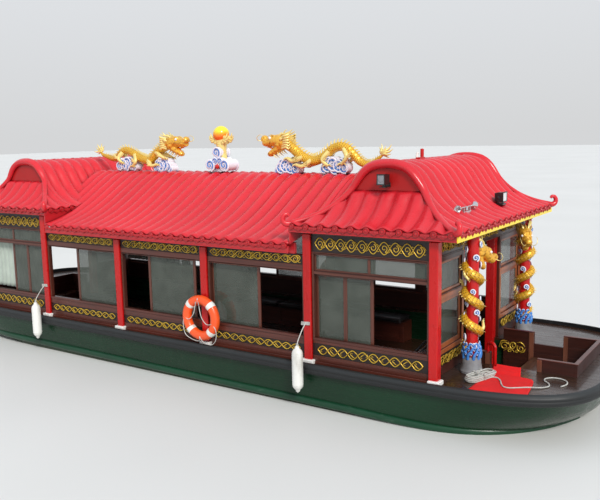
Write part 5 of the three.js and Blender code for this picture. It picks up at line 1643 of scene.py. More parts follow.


# Pale gold and the white clouds darken in their hollows: painted shade, bluish grey on the clouds
finish.update({"faceGold": scaleFinish("dragonFace", (0.82, 0.44, 0.045), (0.35, 0.12, 0.01), 0.03, False),
    "pearl": pearlFinish(), "dragonGold": scaleFinish("dragonScales", (0.8, 0.46, 0.03), (0.3, 0.1, 0.01), 0.034),
    "paleGold": paintFinish("paleGold", (0.88, 0.7, 0.25), 0.35, metal=0.3, fade=0.15, mottle=0.2,
    creviceShade={"reach": 0.02, "most": 0.6, "color": (0.3, 0.14, 0.02)}), "cloudWhite": paintFinish("cloudWhite",
    (0.78, 0.78, 0.84), 0.45, fade=0.1, creviceShade={"reach": 0.03, "most": 0.7, "color": (0.3, 0.3, 0.55)}),
    "cloudBlue": paintFinish("cloudBlue", (0.05, 0.22, 0.6), 0.35, coat=0.2, fade=0.2, mottle=0.2),
    "dragonOrange": paintFinish("dragonOrange", (0.85, 0.2, 0.015), 0.35, coat=0.2, fade=0.2),
    "dragonRed": paintFinish("dragonRed", (0.55, 0.015, 0.012), 0.35, coat=0.2, fade=0.2),
    "stone": paintFinish("pillarStone", (0.2, 0.2, 0.21), 0.7, fade=0.25, fadeScale=9, mottle=0.3, mottleScale=60,
    bump=0.3, bumpScale=120)})


def ballShape(centre, radius, stretch=(1, 1, 1), sides=14):
    cx, cy, cz = centre
    rx, ry, rz = (radius * s for s in stretch)
    rows = sides // 2
    verts = [(cx + rx * sin(t) * cos(u), cy + ry * sin(t) * sin(u), cz + rz * cos(t)) for t in (pi * j / rows
        for j in range(1, rows)) for u in around(sides)]
    faces = [(j * sides + k, (j + 1) * sides + k, (j + 1) * sides + (k + 1) % sides, j * sides + (k + 1) % sides)
        for j in range(rows - 2) for k in range(sides)]
    top, last = len(verts), (rows - 2) * sides
    for k in range(sides):
        faces += [(top, k, (k + 1) % sides), (top + 1, last + (k + 1) % sides, last + k)]
    return verts + [(cx, cy, cz + rz), (cx, cy, cz - rz)], faces


# A limb is a tube whose radius follows a list
def byShare(values, share, short=1e-6):
    at = min(len(values) - 1 - short, share * (len(values) - 1))
    k = int(at)
    return values[k] + (values[k + 1] - values[k]) * (at - k)


def limb(points, radii, sides=10, per=5, flat=1.0, up=(0, 1, 0)):
    return sweep(smoothLine(points, per), roundSection(lambda share: byShare(radii, share), sides, flat), up)


# Melts overlapping shapes into one skin
def melt(name, shapes, material, voxel):
    obj = fixNormals(makePiece(name, *joinShapes(shapes), material, 0))
    modifier = obj.modifiers.new("melt", "REMESH")
    modifier.mode = "VOXEL"
    modifier.voxel_size = voxel
    relax = obj.modifiers.new("relax", "SMOOTH")
    relax.factor = 0.5
    relax.iterations = 4
    mesh = baked(obj)
    clearAway(obj)
    return wrapMesh(name, mesh, material, 180)


# The dragon's head looks along +x, with its brow's middle at the origin
headParts = {"skull": [([(-0.16, 0, -0.03), (-0.06, 0, 0.005), (0.04, 0, 0.02), (0.13, 0, 0.012), (0.22, 0, -0.005),
    (0.31, 0, 0.0)], [0.092, 0.106, 0.102, 0.09, 0.078, 0.066], 1.12)], "jaw": [([(-0.08, 0, -0.05),
    (0.02, 0, -0.105), (0.11, 0, -0.155), (0.18, 0, -0.19), (0.225, 0, -0.2)], [0.072, 0.066, 0.058, 0.052, 0.034],
    1.25)], "balls": [((0.3, 0, 0.05), 0.066, (1, 1.1, 0.95)), ((0.335, 0.03, 0.042), 0.022, (1, 1, 1)),
    ((0.335, -0.03, 0.042), 0.022, (1, 1, 1)), ((0.1, 0.056, 0.088), 0.043, (1.4, 0.75, 0.7)), ((0.1, -0.056, 0.088),
    0.043, (1.4, 0.75, 0.7)), ((-0.02, 0.08, -0.04), 0.05, (1.1, 0.7, 1)), ((-0.02, -0.08, -0.04), 0.05,
    (1.1, 0.7, 1)), ((0.24, 0.045, -0.012), 0.03, (1.6, 0.7, 0.7)), ((0.24, -0.045, -0.012), 0.03, (1.6, 0.7, 0.7))]}


def headSkin():
    shapes = [limb(points, radii, 14, 4, flat) for kind in ("skull", "jaw")
        for points, radii, flat in headParts[kind]]
    return shapes + [ballShape(*ball) for ball in headParts["balls"]]


def headGold():
    shapes = []
    for s in (-1, 1):
        shapes.append(limb([(0.0, s * 0.04, 0.07), (-0.08, s * 0.06, 0.125), (-0.17, s * 0.08, 0.13),
            (-0.25, s * 0.075, 0.165)], [0.022, 0.018, 0.013, 0.004], 8, 5))
        shapes.append(limb([(-0.13, s * 0.072, 0.13), (-0.16, s * 0.085, 0.17), (-0.2, s * 0.08, 0.195)],
            [0.012, 0.009, 0.003], 7, 4))
        shapes.append(limb([(-0.05, s * 0.08, 0.02), (-0.1, s * 0.125, 0.045), (-0.15, s * 0.135, 0.06)],
            [0.012, 0.028, 0.004], 8, 5, 0.45))
        shapes.append(limb([(0.32, s * 0.045, 0.02), (0.37, s * 0.09, 0.03), (0.36, s * 0.135, 0.08),
            (0.28, s * 0.15, 0.12), (0.22, s * 0.14, 0.1)], [0.007, 0.006, 0.005, 0.004, 0.002], 6, 6))
        for k in range(6):  # mane
            low = -0.1 + 0.035 * k
            shapes.append(limb([(-0.1, s * 0.075, low), (-0.19, s * (0.1 + 0.004 * k), low + 0.02),
                (-0.235, s * 0.1, low - 0.01 + 0.01 * k), (-0.27 + 0.01 * k, s * 0.085, low + 0.035)],
                [0.022, 0.024, 0.017, 0.004], 7, 5))
        for k in range(3):  # beard
            shapes.append(limb([(0.1 - 0.07 * k, s * 0.025, -0.17 + 0.03 * k), (0.09 - 0.08 * k, s * 0.04,
                -0.22 + 0.03 * k), (0.03 - 0.08 * k, s * 0.035, -0.26 + 0.03 * k)], [0.012, 0.012, 0.002], 6, 4))
    for k in range(5):
        x = 0.02 - 0.05 * k
        shapes.append(limb([(x, 0, 0.09 - 0.01 * k), (x - 0.035, 0, 0.13 - 0.01 * k),
            (x - 0.07, 0, 0.155 - 0.012 * k)], [0.016, 0.012, 0.002], 6, 4, 0.5))
    return shapes


def headTeeth():
    shapes = []
    for s in (-1, 1):
        for k in range(7):
            x = 0.1 + 0.031 * k
            tall = 0.045 if k == 5 else 0.022
            shapes.append(limb([(x, s * (0.048 - 0.002 * k), -0.035), (x + 0.006, s * (0.046 - 0.002 * k),
                -0.035 - tall)], [0.009, 0.001], 5, 2))
            z = -0.105 - 0.0165 * k
            if k < 5:
                shapes.append(limb([(x - 0.03, s * 0.04, z), (x - 0.024, s * 0.038,
                    z + (0.04 if k == 4 else 0.022))], [0.008, 0.001], 5, 2))
        shapes.append(ballShape((0.135, s * 0.086, 0.062), 0.024, (1, 1, 1), 12))
    return shapes


def headDark():
    return [ballShape((0.13, s * 0.082, 0.052), 0.011, (1, 0.7, 1), 10) for s in (-1, 1)] + [ballShape((0.352,
        s * 0.03, 0.043), 0.01, (0.8, 1, 1), 8) for s in (-1, 1)]


def headOrange():
    return [limb([(0.0, 0, -0.06), (0.08, 0, -0.09), (0.15, 0, -0.1), (0.21, 0, -0.085), (0.25, 0, -0.09)],
        [0.035, 0.033, 0.03, 0.024, 0.006], 10, 5, 0.45, (0, 0, 1))]


def makeHead(name, place, node, voxel=0.009):
    skin = melt(name, movedShapes(headSkin(), place), finish["faceGold"], voxel)
    settle(skin, "ornament_paint", nodes=node)
    for label, shapes, key in (("Crest", headGold(), "paleGold"), ("Teeth", headTeeth(), "white"),
            ("Pupils", headDark(), "black"), ("Tongue", headOrange(), "dragonOrange")):
        dress(name + label, movedShapes(shapes, place), key, "ornament_paint", node, 60)


def claw(size):
    shapes = [ballShape((0, 0, 0), 0.034 * size)]
    for turn in (-0.7, 0.0, 0.7, pi):
        c, s = cos(turn), sin(turn)
        line = [(0.05 * size * c, 0.05 * size * s, 0.008 * size), (0.085 * size * c, 0.085 * size * s, -0.01),
            (0.1 * size * c, 0.1 * size * s, -0.035 * size)]
        shapes.append(limb([(0, 0, 0)] + line, [0.018 * size, 0.016 * size, 0.011 * size, 0.002], 7, 4))
    return shapes


# A cloud is a bank of curls, each a spiral roll about y on a flat round boss
def cloudParts(centre, wide, tall, lobes, thick, flip=1):
    white, blue = [], []
    cx, cy, cz = centre
    for u, v, r in lobes:
        x, z = cx + u * wide * flip, cz + v * tall
        white.append(ringsShape([[(x + r * 0.92 * cos(t), cy + y, z + r * 0.92 * sin(t)) for t in around(20)]
            for y in (-thick * 0.5, thick * 0.5)]))
        for face in (-1, 1):
            for into, depth, radius, turns, start, end, steps, fat, thin, sides in ((white, 0.5, r, 1.6, -1.2, 0.12,
                    22, 0.17, 0.45, 8), (blue, 0.54, r * 0.74, 1.25, -0.9, 0.2, 18, 0.085, 0.4, 7)):
                curl = [(px, cy + face * thick * depth, pz) for px, _, pz in spiralPoints((x, z), radius, turns,
                    start, end, flip, steps)]
                into.append(tube(curl, lambda s: r * fat * (1 - thin * s), sides, 2, up=(0, 1, 0)))
    return white, blue


ridgeTop = 3.4524
tailTuft = [(-0.75, 0.8), (-0.45, 1.1), (-0.1, 1.0), (0.3, 0.9), (-1.3, 0.9), (-1.7, 0.75), (0.7, 0.7)]  # turn, size
dragons = {"aft": {"face": 1, "spine": [(-3155, 2773), (-3060, 2700), (-2933, 2667), (-2790, 2632), (-2670, 2650),
    (-2568, 2744), (-2436, 2782), (-2257, 2730), (-2150, 2668), (-2049, 2628), (-1950, 2600), (-1857, 2591),
    (-1766, 2641), (-1674, 2729), (-1548, 2802), (-1430, 2850), (-1330, 2885)], "radii": [10, 30, 44, 54, 60, 65, 68,
    70, 71, 72, 73, 73, 74, 75, 77, 80, 84], "head": (-1252, 2905, 0.98),
    "legs": [[(-2500, 2745), (-2560, 2640), (-2470, 2560)], [(-2180, 2700), (-2120, 2580), (-2190, 2500)],
    [(-1840, 2600), (-1730, 2510), (-1600, 2530)], [(-1640, 2740), (-1480, 2680), (-1380, 2640)]],
    "tail": (-3110, 2755), "tuft": tailTuft, "clouds": [(-2400, 2530, 0.43, 0.2), (-1480, 2500, 0.36, 0.2)]},
    "forward": {"face": -1, "spine": [(2880, 2700), (2790, 2640), (2700, 2570), (2600, 2545), (2483, 2591),
    (2378, 2683), (2271, 2776), (2148, 2817), (2006, 2778), (1861, 2670), (1697, 2602), (1566, 2616), (1401, 2699),
    (1269, 2800), (1180, 2850), (1120, 2875)], "radii": [10, 30, 44, 52, 60, 65, 68, 70, 71, 72, 73, 74, 75, 78, 82,
    85], "head": (1028, 2898, 0.98), "legs": [[(2230, 2780), (2300, 2660), (2220, 2560)],
    [(1960, 2740), (1880, 2620), (1960, 2540)], [(1640, 2610), (1520, 2520), (1400, 2540)],
    [(1480, 2660), (1330, 2600), (1240, 2640)]], "tail": (2850, 2690), "tuft": tailTuft,
    "clouds": [(2080, 2530, 0.4, 0.2), (1210, 2500, 0.37, 0.2)]}}
cloudLobes = [(-0.8, -0.3, 0.085), (-0.35, 0.1, 0.105), (0.15, 0.35, 0.115), (0.65, 0.0, 0.095), (0.0, -0.4, 0.09),
    (-0.6, 0.55, 0.07), (0.5, 0.7, 0.075), (0.95, -0.45, 0.07)]


def makeRidgeDragons():
    fin = motif("finMotif", [limb([(0, 0, -0.01), (-0.012, 0, 0.022), (-0.034, 0, 0.044)], [0.016, 0.01, 0.0015], 6,
        3, 0.4)])
    tuft = motif("tuftMotif", [limb([(0, 0, 0), (-0.05, 0.012, 0.03), (-0.11, 0.0, 0.035), (-0.17, -0.004, 0.07)],
        [0.02, 0.024, 0.015, 0.002], 7, 5)])
    sides = 20

    def at(x, z, y=0):  # from millimetres over the deck
        return Vector((x / 1000, y, (z + deck * 1000) / 1000))
    for name, part in dragons.items():
        node, f = name + "_dragon", part["face"]
        line = smoothLine([at(x, z) for x, z in part["spine"]], 12)
        radii = [r / 1000 for r in part["radii"]]
        verts, faces = sweep(line, roundSection(lambda share: byShare(radii, share, 0.001), sides), (0, 1, 0))
        body = uvAlong(makePiece(name + "DragonBody", verts, faces, finish["dragonGold"], 180), line, sides)
        settle(fixNormals(body), "ornament_paint", nodes=node)
        hx, hz, size = part["head"]
        makeHead(name + "DragonHead", lambda v: at(hx, hz) + Vector((f * v.x, v.y, v.z)) * size, node)
        spots = []
        for i in range(8, len(line) - 6, 4):
            heading = (line[i + 1] - line[i - 1]).normalized()
            out = Vector((-heading.z, 0, heading.x)) * f
            r = byShare(radii, i / (len(line) - 1), 0.001)
            spots.append((line[i] + out * (r - 0.004), heading, out, r / 0.055))
        tail = [(at(*part["tail"]), Vector((f * cos(a), 0.25 * sin(5 * a), sin(a))),
            Vector((-f * sin(a), 0, cos(a))), s) for a, s in part["tuft"]]
        shapes = [scatter(fin, spots, finish["paleGold"]), scatter(tuft, tail, finish["paleGold"])]
        for hip, knee, heel in part["legs"]:
            for s in (-1, 1):
                foot = at(*heel, s * 0.1)
                shapes.append(limb([at(*hip, s * 0.035), at(*knee, s * 0.095), foot], [0.045, 0.034, 0.024], 9, 6))
                shapes += movedShapes(claw(0.8), lambda v: foot + Vector((f * v.x, v.y * 0.45, v.z)))
                for k in range(3):
                    hair = [at(knee[0] - f * back, knee[1] + up * k, s * y) for back, up, y in ((0, 0, 0.1),
                        (50, 20, 0.12), (100, 45, 0.115))]
                    shapes.append(limb(hair, [0.018, 0.013, 0.002], 6, 4))
        dress(name + "DragonLimbs", shapes, "paleGold", "ornament_paint", node, 60)
        white, blue = [], []
        for x, z, wide, tall in part["clouds"]:
            w, b = cloudParts(at(x, z), wide / 2, tall / 2, cloudLobes, 0.15, f)
            white += w
            blue += b
            for s in (-0.6, 0.0, 0.6):
                foot = x / 1000 + s * wide / 2
                white.append(boxShape(foot - 0.04, foot + 0.04, -0.05, 0.05, ridgeTop, at(x, z).z - 0.03))
        dress(name + "Clouds", white, "cloudWhite", "ornament_paint", node, 50)
        dress(name + "CloudCurls", blue, "cloudBlue", "ornament_paint", node, 50)
    clearAway(fin, tuft)


pearl = {"x": -0.168, "z": 4.068, "radius": 0.1385}


def makePearl():
    p = pearl
    ball = makePiece("pearlBall", *ballShape((p["x"], 0, p["z"]), p["radius"], (1, 1, 1), 48), finish["pearl"], 180)
    flames, white, blue = [], [], []
    for k in range(9):
        turn = radians(-30 + 30 * k)
        for s in (-0.05, 0.05):
            base = Vector((p["x"] - 0.1 * cos(turn), s, p["z"] - 0.06 - 0.1 * sin(turn) * 0.6))
            flames.append(limb([base, base + Vector((-0.07 * cos(turn), s * 0.3, -0.03)),
                base + Vector((-0.11 * cos(turn), s * 0.2, 0.04 - 0.02 * sin(turn)))], [0.03, 0.026, 0.003], 8, 5))
    flames.append(ringsShape([[(p["x"] + r * cos(t), r * 0.8 * sin(t), z) for t in around(20)] for z, r in ((3.66,
        0.1), (3.8, 0.085), (3.9, 0.1), (3.97, 0.125), (4.0, 0.12))]))
    w, b = cloudParts((p["x"] - 0.02, 0, 3.77), 0.1, 0.1, [(0, 0, 0.1)], 0.24)
    white += w
    blue += b
    w, b = cloudParts((p["x"] - 0.01, 0, 3.56), 0.16, 0.1, [(-0.95, 0, 0.105), (0.95, 0, 0.105), (-0.3, 0.65, 0.07),
        (0.35, 0.65, 0.07)], 0.26)
    white += w
    blue += b
    white.append(boxShape(p["x"] - 0.2, p["x"] + 0.18, -0.09, 0.09, ridgeTop, 3.5))
    red = [ballShape((p["x"] - 0.01, s * 0.12, 3.54), 0.045, (1, 0.6, 1), 16) for s in (-1, 1)]
    settle(ball, "yellow_paint", nodes="pearl")
    for label, group, key in (("pearlFlames", flames, "paleGold"), ("pearlClouds", white, "cloudWhite"),
            ("pearlCurls", blue, "cloudBlue"), ("pearlBerries", red, "dragonRed")):
        dress(label, group, key, "ornament_paint", "pearl", angle=50)


makeRidgeDragons()
makePearl()
print("ridge ornaments done")


pillar = {"x": 4.65, "y": 1.05, "shaft": 0.075, "top": 1.8, "coil": 0.086, "body": 0.057, "from": 0.3, "to": 1.45,
    "turns": 3.5, "head": 0.78}


def makePillars():
    p = pillar
    curlWhite = motif("curlWhite", [tube([(x, z, 0) for x, _, z in spiralPoints((0, 0), 0.05, 1.5, -1.2, 0.15, 1,
        20)], lambda s: 0.011 * (1 - 0.4 * s), 8, 1, up=(0, 0, 1))])
    curlBlue = motif("curlBlue", [tube([(x, z, 0.002) for x, _, z in spiralPoints((0, 0), 0.036, 1.2, -0.9, 0.2, 1,
        16)], lambda s: 0.008 * (1 - 0.4 * s), 7, 1, up=(0, 0, 1))])
    crest = motif("crestMotif", [limb([(-0.03, -0.05, 0), (-0.026, 0.0, 0.012), (0.0, 0.045, 0.02),
        (0.028, 0.04, 0.022), (0.024, 0.02, 0.024)], [0.02, 0.019, 0.014, 0.01, 0.004], 8, 5, 1.0, (0, 0, 1))])
    fin = motif("pillarFin", [limb([(0, 0, -0.01), (-0.01, 0, 0.016), (-0.026, 0, 0.03)], [0.012, 0.008, 0.0012], 6,
        3, 0.4)])
    for side, name in sideNames.items():
        node = "dragon_pillar_" + name
        x, y = p["x"], side * p["y"]
        turns = p["turns"] + (0.5 if side > 0 else 0)
        steps = 110
        line = []
        for s in (i / steps for i in range(steps + 1)):
            turn = turns * 2 * pi * s - side * pi / 2
            line.append(Vector((x + p["coil"] * cos(turn), y + side * p["coil"] * sin(turn),
                deck + p["from"] + (p["to"] - p["from"]) * s)))
        headAt = Vector((x + 0.035, y - side * 0.15, deck + 1.53))
        neck = smoothLine([line[-3], line[-1], Vector((x + 0.02, y - side * 0.12, deck + 1.5)), headAt], 6)
        line = evenLine(line + neck[7:], 0.012)
        last = len(line) - 1

        def radius(share):
            return p["body"] * min(1.0, 0.25 + 4 * share)
        shapes = sweep(line, roundSection(radius, 16), (0, 0, 1))
        body = fixNormals(uvAlong(makePiece("pillarDragon_" + name, *shapes, finish["dragonGold"], 180), line, 16))
        settle(body, "ornament_paint", nodes=node)
        shaft = [tube([(x, y, deck + 0.15), (x, y, deck + p["top"])], p["shaft"], 28, 6, up=(1, 0, 0)),
            tube([(x, y, deck + p["top"] - 0.07), (x, y, deck + p["top"] - 0.001)], p["shaft"] + 0.014, 28, 2,
            up=(1, 0, 0))]
        dress("pillarShaft_" + name, shaft, "red", "red_lacquer", node, angle=50)
        foot = sweep([Vector((x, y, deck + z)) for z in (0.0003, 0.03, 0.05, 0.12, 0.17, 0.21)],
            turnedSection((0.143, 0.144, 0.132, 0.119, 0.117, 0.098), 32), (1, 0, 0))
        dress("pillarFoot_" + name, [foot], "stone", "ornament_paint", node, angle=30, ease=0.006)
        fins = []
        for i in range(12, last - 4, 3):
            heading = (line[i + 1] - line[i - 1]).normalized()
            out = Vector((line[i].x - x, line[i].y - y, 0)).normalized()
            fins.append((line[i] + out * (radius(i / last) - 0.003), heading, out, 1.0))
        limbs = [scatter(fin, fins, finish["paleGold"])]
        for share, lift in ((0.2, 0.09), (0.42, -0.09), (0.62, 0.09), (0.84, -0.08)):
            at = line[int(share * last)]
            out = Vector((at.x - x, at.y - y, 0)).normalized()
            aside = Vector((-out.y, out.x, 0))
            knee = at + out * 0.05 + Vector((0, 0, lift * 0.5))
            paw = at + out * 0.035 + aside * 0.06 + Vector((0, 0, lift * 1.3))
            limbs.append(limb([at, knee, paw], [0.03, 0.022, 0.015], 8, 5, 1.0, (0, 0, 1)))
            limbs += movedShapes(claw(0.75), lambda v: paw + aside * v.x * 0.55 + Vector((0, 0, v.y * 0.55)) + out
                * (0.004 - v.z * 0.4))
        dress("pillarDragonLimbs_" + name, limbs, "paleGold", "ornament_paint", node, angle=60)
        random.seed(21)
        whites, crests = [], []
        for k in range(26):
            turn = k * 2.4 + side
            z = deck + 0.36 + 0.053 * k
            out = Vector((cos(turn), sin(turn), 0))
            whites.append((Vector((x, y, z)) + out * 0.094, Vector((-out.y, out.x, 0)), out, random.uniform(0.75,
                1.05)))
        for row in range(3):
            for k in range(9):
                turn = 2 * pi * (k + 0.5 * row) / 9
                out = Vector((cos(turn), sin(turn), 0))
                crests.append((Vector((x, y, deck + 0.235 + 0.055 * row)) + out * (0.097 - 0.008 * row),
                    Vector((-out.y, out.x, 0)), out, 1.0 - 0.08 * row))
        foam = [(at + out * 0.012 + Vector((0, 0, 0.03)), heading, out, 0.55) for at, heading, out, _ in crests]
        for label, spots, motifObject, key in (("pillarClouds_", whites, curlWhite, "cloudWhite"),
                ("pillarCloudCurls_", whites, curlBlue, "cloudBlue"), ("pillarWaves_", crests, crest, "cloudBlue"),
                ("pillarFoam_", foam, curlWhite, "cloudWhite")):
            dress(label + name, [scatter(motifObject, spots, finish[key])], key, "ornament_paint", node, 60)
        look = Vector((0.42, -side * 0.72, -0.55)).normalized()
        across = look.cross(Vector((0, 0, 1))).normalized()
        crown = across.cross(look)
        size = p["head"]
        makeHead("pillarHead_" + name, lambda v: headAt + look * v.x * size + across * v.y * -size + crown * v.z
            * size, node, 0.006)
    clearAway(curlWhite, curlBlue, crest, fin)


buoy = {"x": 0.88, "y": 1.8683, "z": 1.45, "ring": 0.265, "tube": 0.0675, "band": 7}


def makeLifebuoys():
    b = buoy

    def at(turn, radius, side, y=0.0):
        return Vector((b["x"] + radius * cos(turn), side * (b["y"] + y), b["z"] + radius * sin(turn)))
    for side, name in sideNames.items():
        node = "lifebuoy_" + name
        ring = [at(turn, b["ring"], side) for turn in around(96)]
        dress("lifebuoyRing_" + name, [sweep(ring, roundSection(b["tube"], 28), (0, 1, 0), True)], "buoy",
            "buoy_orange", node, angle=60)
        bands, seams = [], []
        for k in range(4):
            middle = pi / 4 + k * pi / 2
            half = radians(b["band"])
            part = [at(middle + half * (j / 8 - 1), b["ring"], side) for j in range(17)]
            bands.append(sweep(part, turnedSection([b["tube"] + (0.002 if 0 < i < 16 else 0.0004)
                for i in range(17)], 28), (0, 1, 0)))
            grip = [at(middle + q, b["ring"], side) for q in (-0.03, 0, 0.03)]
            seams.append(sweep(grip, roundSection(b["tube"] + 0.004, 28), (0, 1, 0)))
        dress("lifebuoyBands_" + name, bands, "vinyl", "fender_white", node, angle=50)
        dress("lifebuoyCleats_" + name, seams, "vinyl", "fender_white", node, angle=50)
        out = 0.062
        top, left, right = at(pi / 2, 0.3, side, out), at(pi, 0.262, side, out), at(-0.2, 0.262, side, out)

        def off(u, v, y=out):
            return Vector((b["x"] + u, side * (b["y"] + y), b["z"] + v))
        routes = [[top, off(-0.045, 0.2), off(-0.09, 0.06), off(-0.19, -0.03, 0.05), left], [top, off(0.02, 0.2),
            off(0.06, 0.03), off(0.14, -0.07, 0.05), right], [left, off(-0.3, -0.1, 0.056), off(-0.27, -0.26, 0.05),
            off(-0.16, -0.33, 0.03), off(-0.02, -0.335, 0.045), off(0.02, -0.26, 0.07)], [off(0.02, -0.26, 0.07),
            off(0.06, -0.34, 0.045), off(0.2, -0.37, 0.03), off(0.3, -0.28, 0.045), off(0.31, -0.14, 0.05), right]]
        fineRope("lifebuoyLine_" + name, routes, 0.0055, finish["thinRope"], "rope_white", 8, 8, node)
        hooks = [tube([(b["x"] + u, side * columnFace, 1.643), (b["x"] + u, side * 1.9, 1.636),
            (b["x"] + u, side * 1.943, 1.65), (b["x"] + u, side * 1.945, 1.69)], 0.005, 8, 6, up=(1, 0, 0))
            for u in (-0.03, 0.03)]
        hooks.append(boxShape(b["x"] - 0.045, b["x"] + 0.045, side * columnFace, side * 1.8043, 1.625, 1.66))
        dress("lifebuoyHooks_" + name, hooks, "steel", "steel", node, angle=40)


fenderParts = {"y": 2.0183, "radius": 0.0745, "low": 0.7, "high": 1.32, "x": {"forward": 2.65, "aft": -2.69}}


def makeHangingFenders():
    f = fenderParts
    for place, x in f["x"].items():
        for side, name in sideNames.items():
            y = side * f["y"]
            node = f"{place}_fender_{name}"
            low, high = f["low"], f["high"]
            rings = [(0.018, low), (0.03, low + 0.012), (0.032, low + 0.03), (0.05, low + 0.045),
                (0.068, low + 0.07), (0.0735, low + 0.1)]
            z = low + 0.1
            while z < high - 0.13:
                rings += [(0.0745, z + 0.004), (0.0745, z + 0.016), (0.072, z + 0.02)]
                z += 0.024
            rings += [(0.0735, high - 0.1), (0.066, high - 0.07), (0.048, high - 0.045), (0.03, high - 0.03),
                (0.028, high - 0.008), (0.016, high)]
            line = [Vector((x, y, z)) for _, z in rings]
            shape = sweep(line, turnedSection([r for r, _ in rings], 28), (1, 0, 0))
            eyes = []
            for z in (low + 0.012, high - 0.014):
                loop = [(x, y + 0.017 * cos(t), z + 0.017 * sin(t)) for t in around(16)]
                eyes.append(tube(loop, 0.008, 8, 1, closed=True, up=(1, 0, 0)))
            dress("hangingFender_" + place + "_" + name, [shape] + eyes, "vinyl", "fender_white", node, angle=50)
            route = [(x, y, high - 0.02), (x, y - side * 0.006, high + 0.02), (x, y - side * 0.02, high + 0.06),
                (x, y - side * 0.075, high + 0.13), (x, y - side * 0.13, high + 0.19), (x, side * 1.8085, 1.58)]
            knot = [[(x + 0.012 * cos(t), y + 0.011 * sin(t), high - 0.006 + 0.0032 * t) for t in (k * pi / 6
                for k in range(25))]]
            turns = [[(x + 0.066 * u, side * (columnFace + 0.0075 + 0.002 * abs(u)), 1.575 + 0.016 * k + 0.006 * u)
                for u in (-1, -0.5, 0, 0.5, 1)] for k in (-1, 0, 1)]
            fineRope("fenderLanyard_" + place + "_" + name, [route] + knot + turns, 0.007, finish["thinRope"],
                "rope_white", 8, 6, node)


makePillars()
makeLifebuoys()
makeHangingFenders()
print("pillars, lifebuoys and fenders done")


finish["lampFace"] = paintFinish("lampFace", (0.2, 0.21, 0.23), 0.25, coat=0.3, fade=0.15, bump=0.1, bumpScale=60)


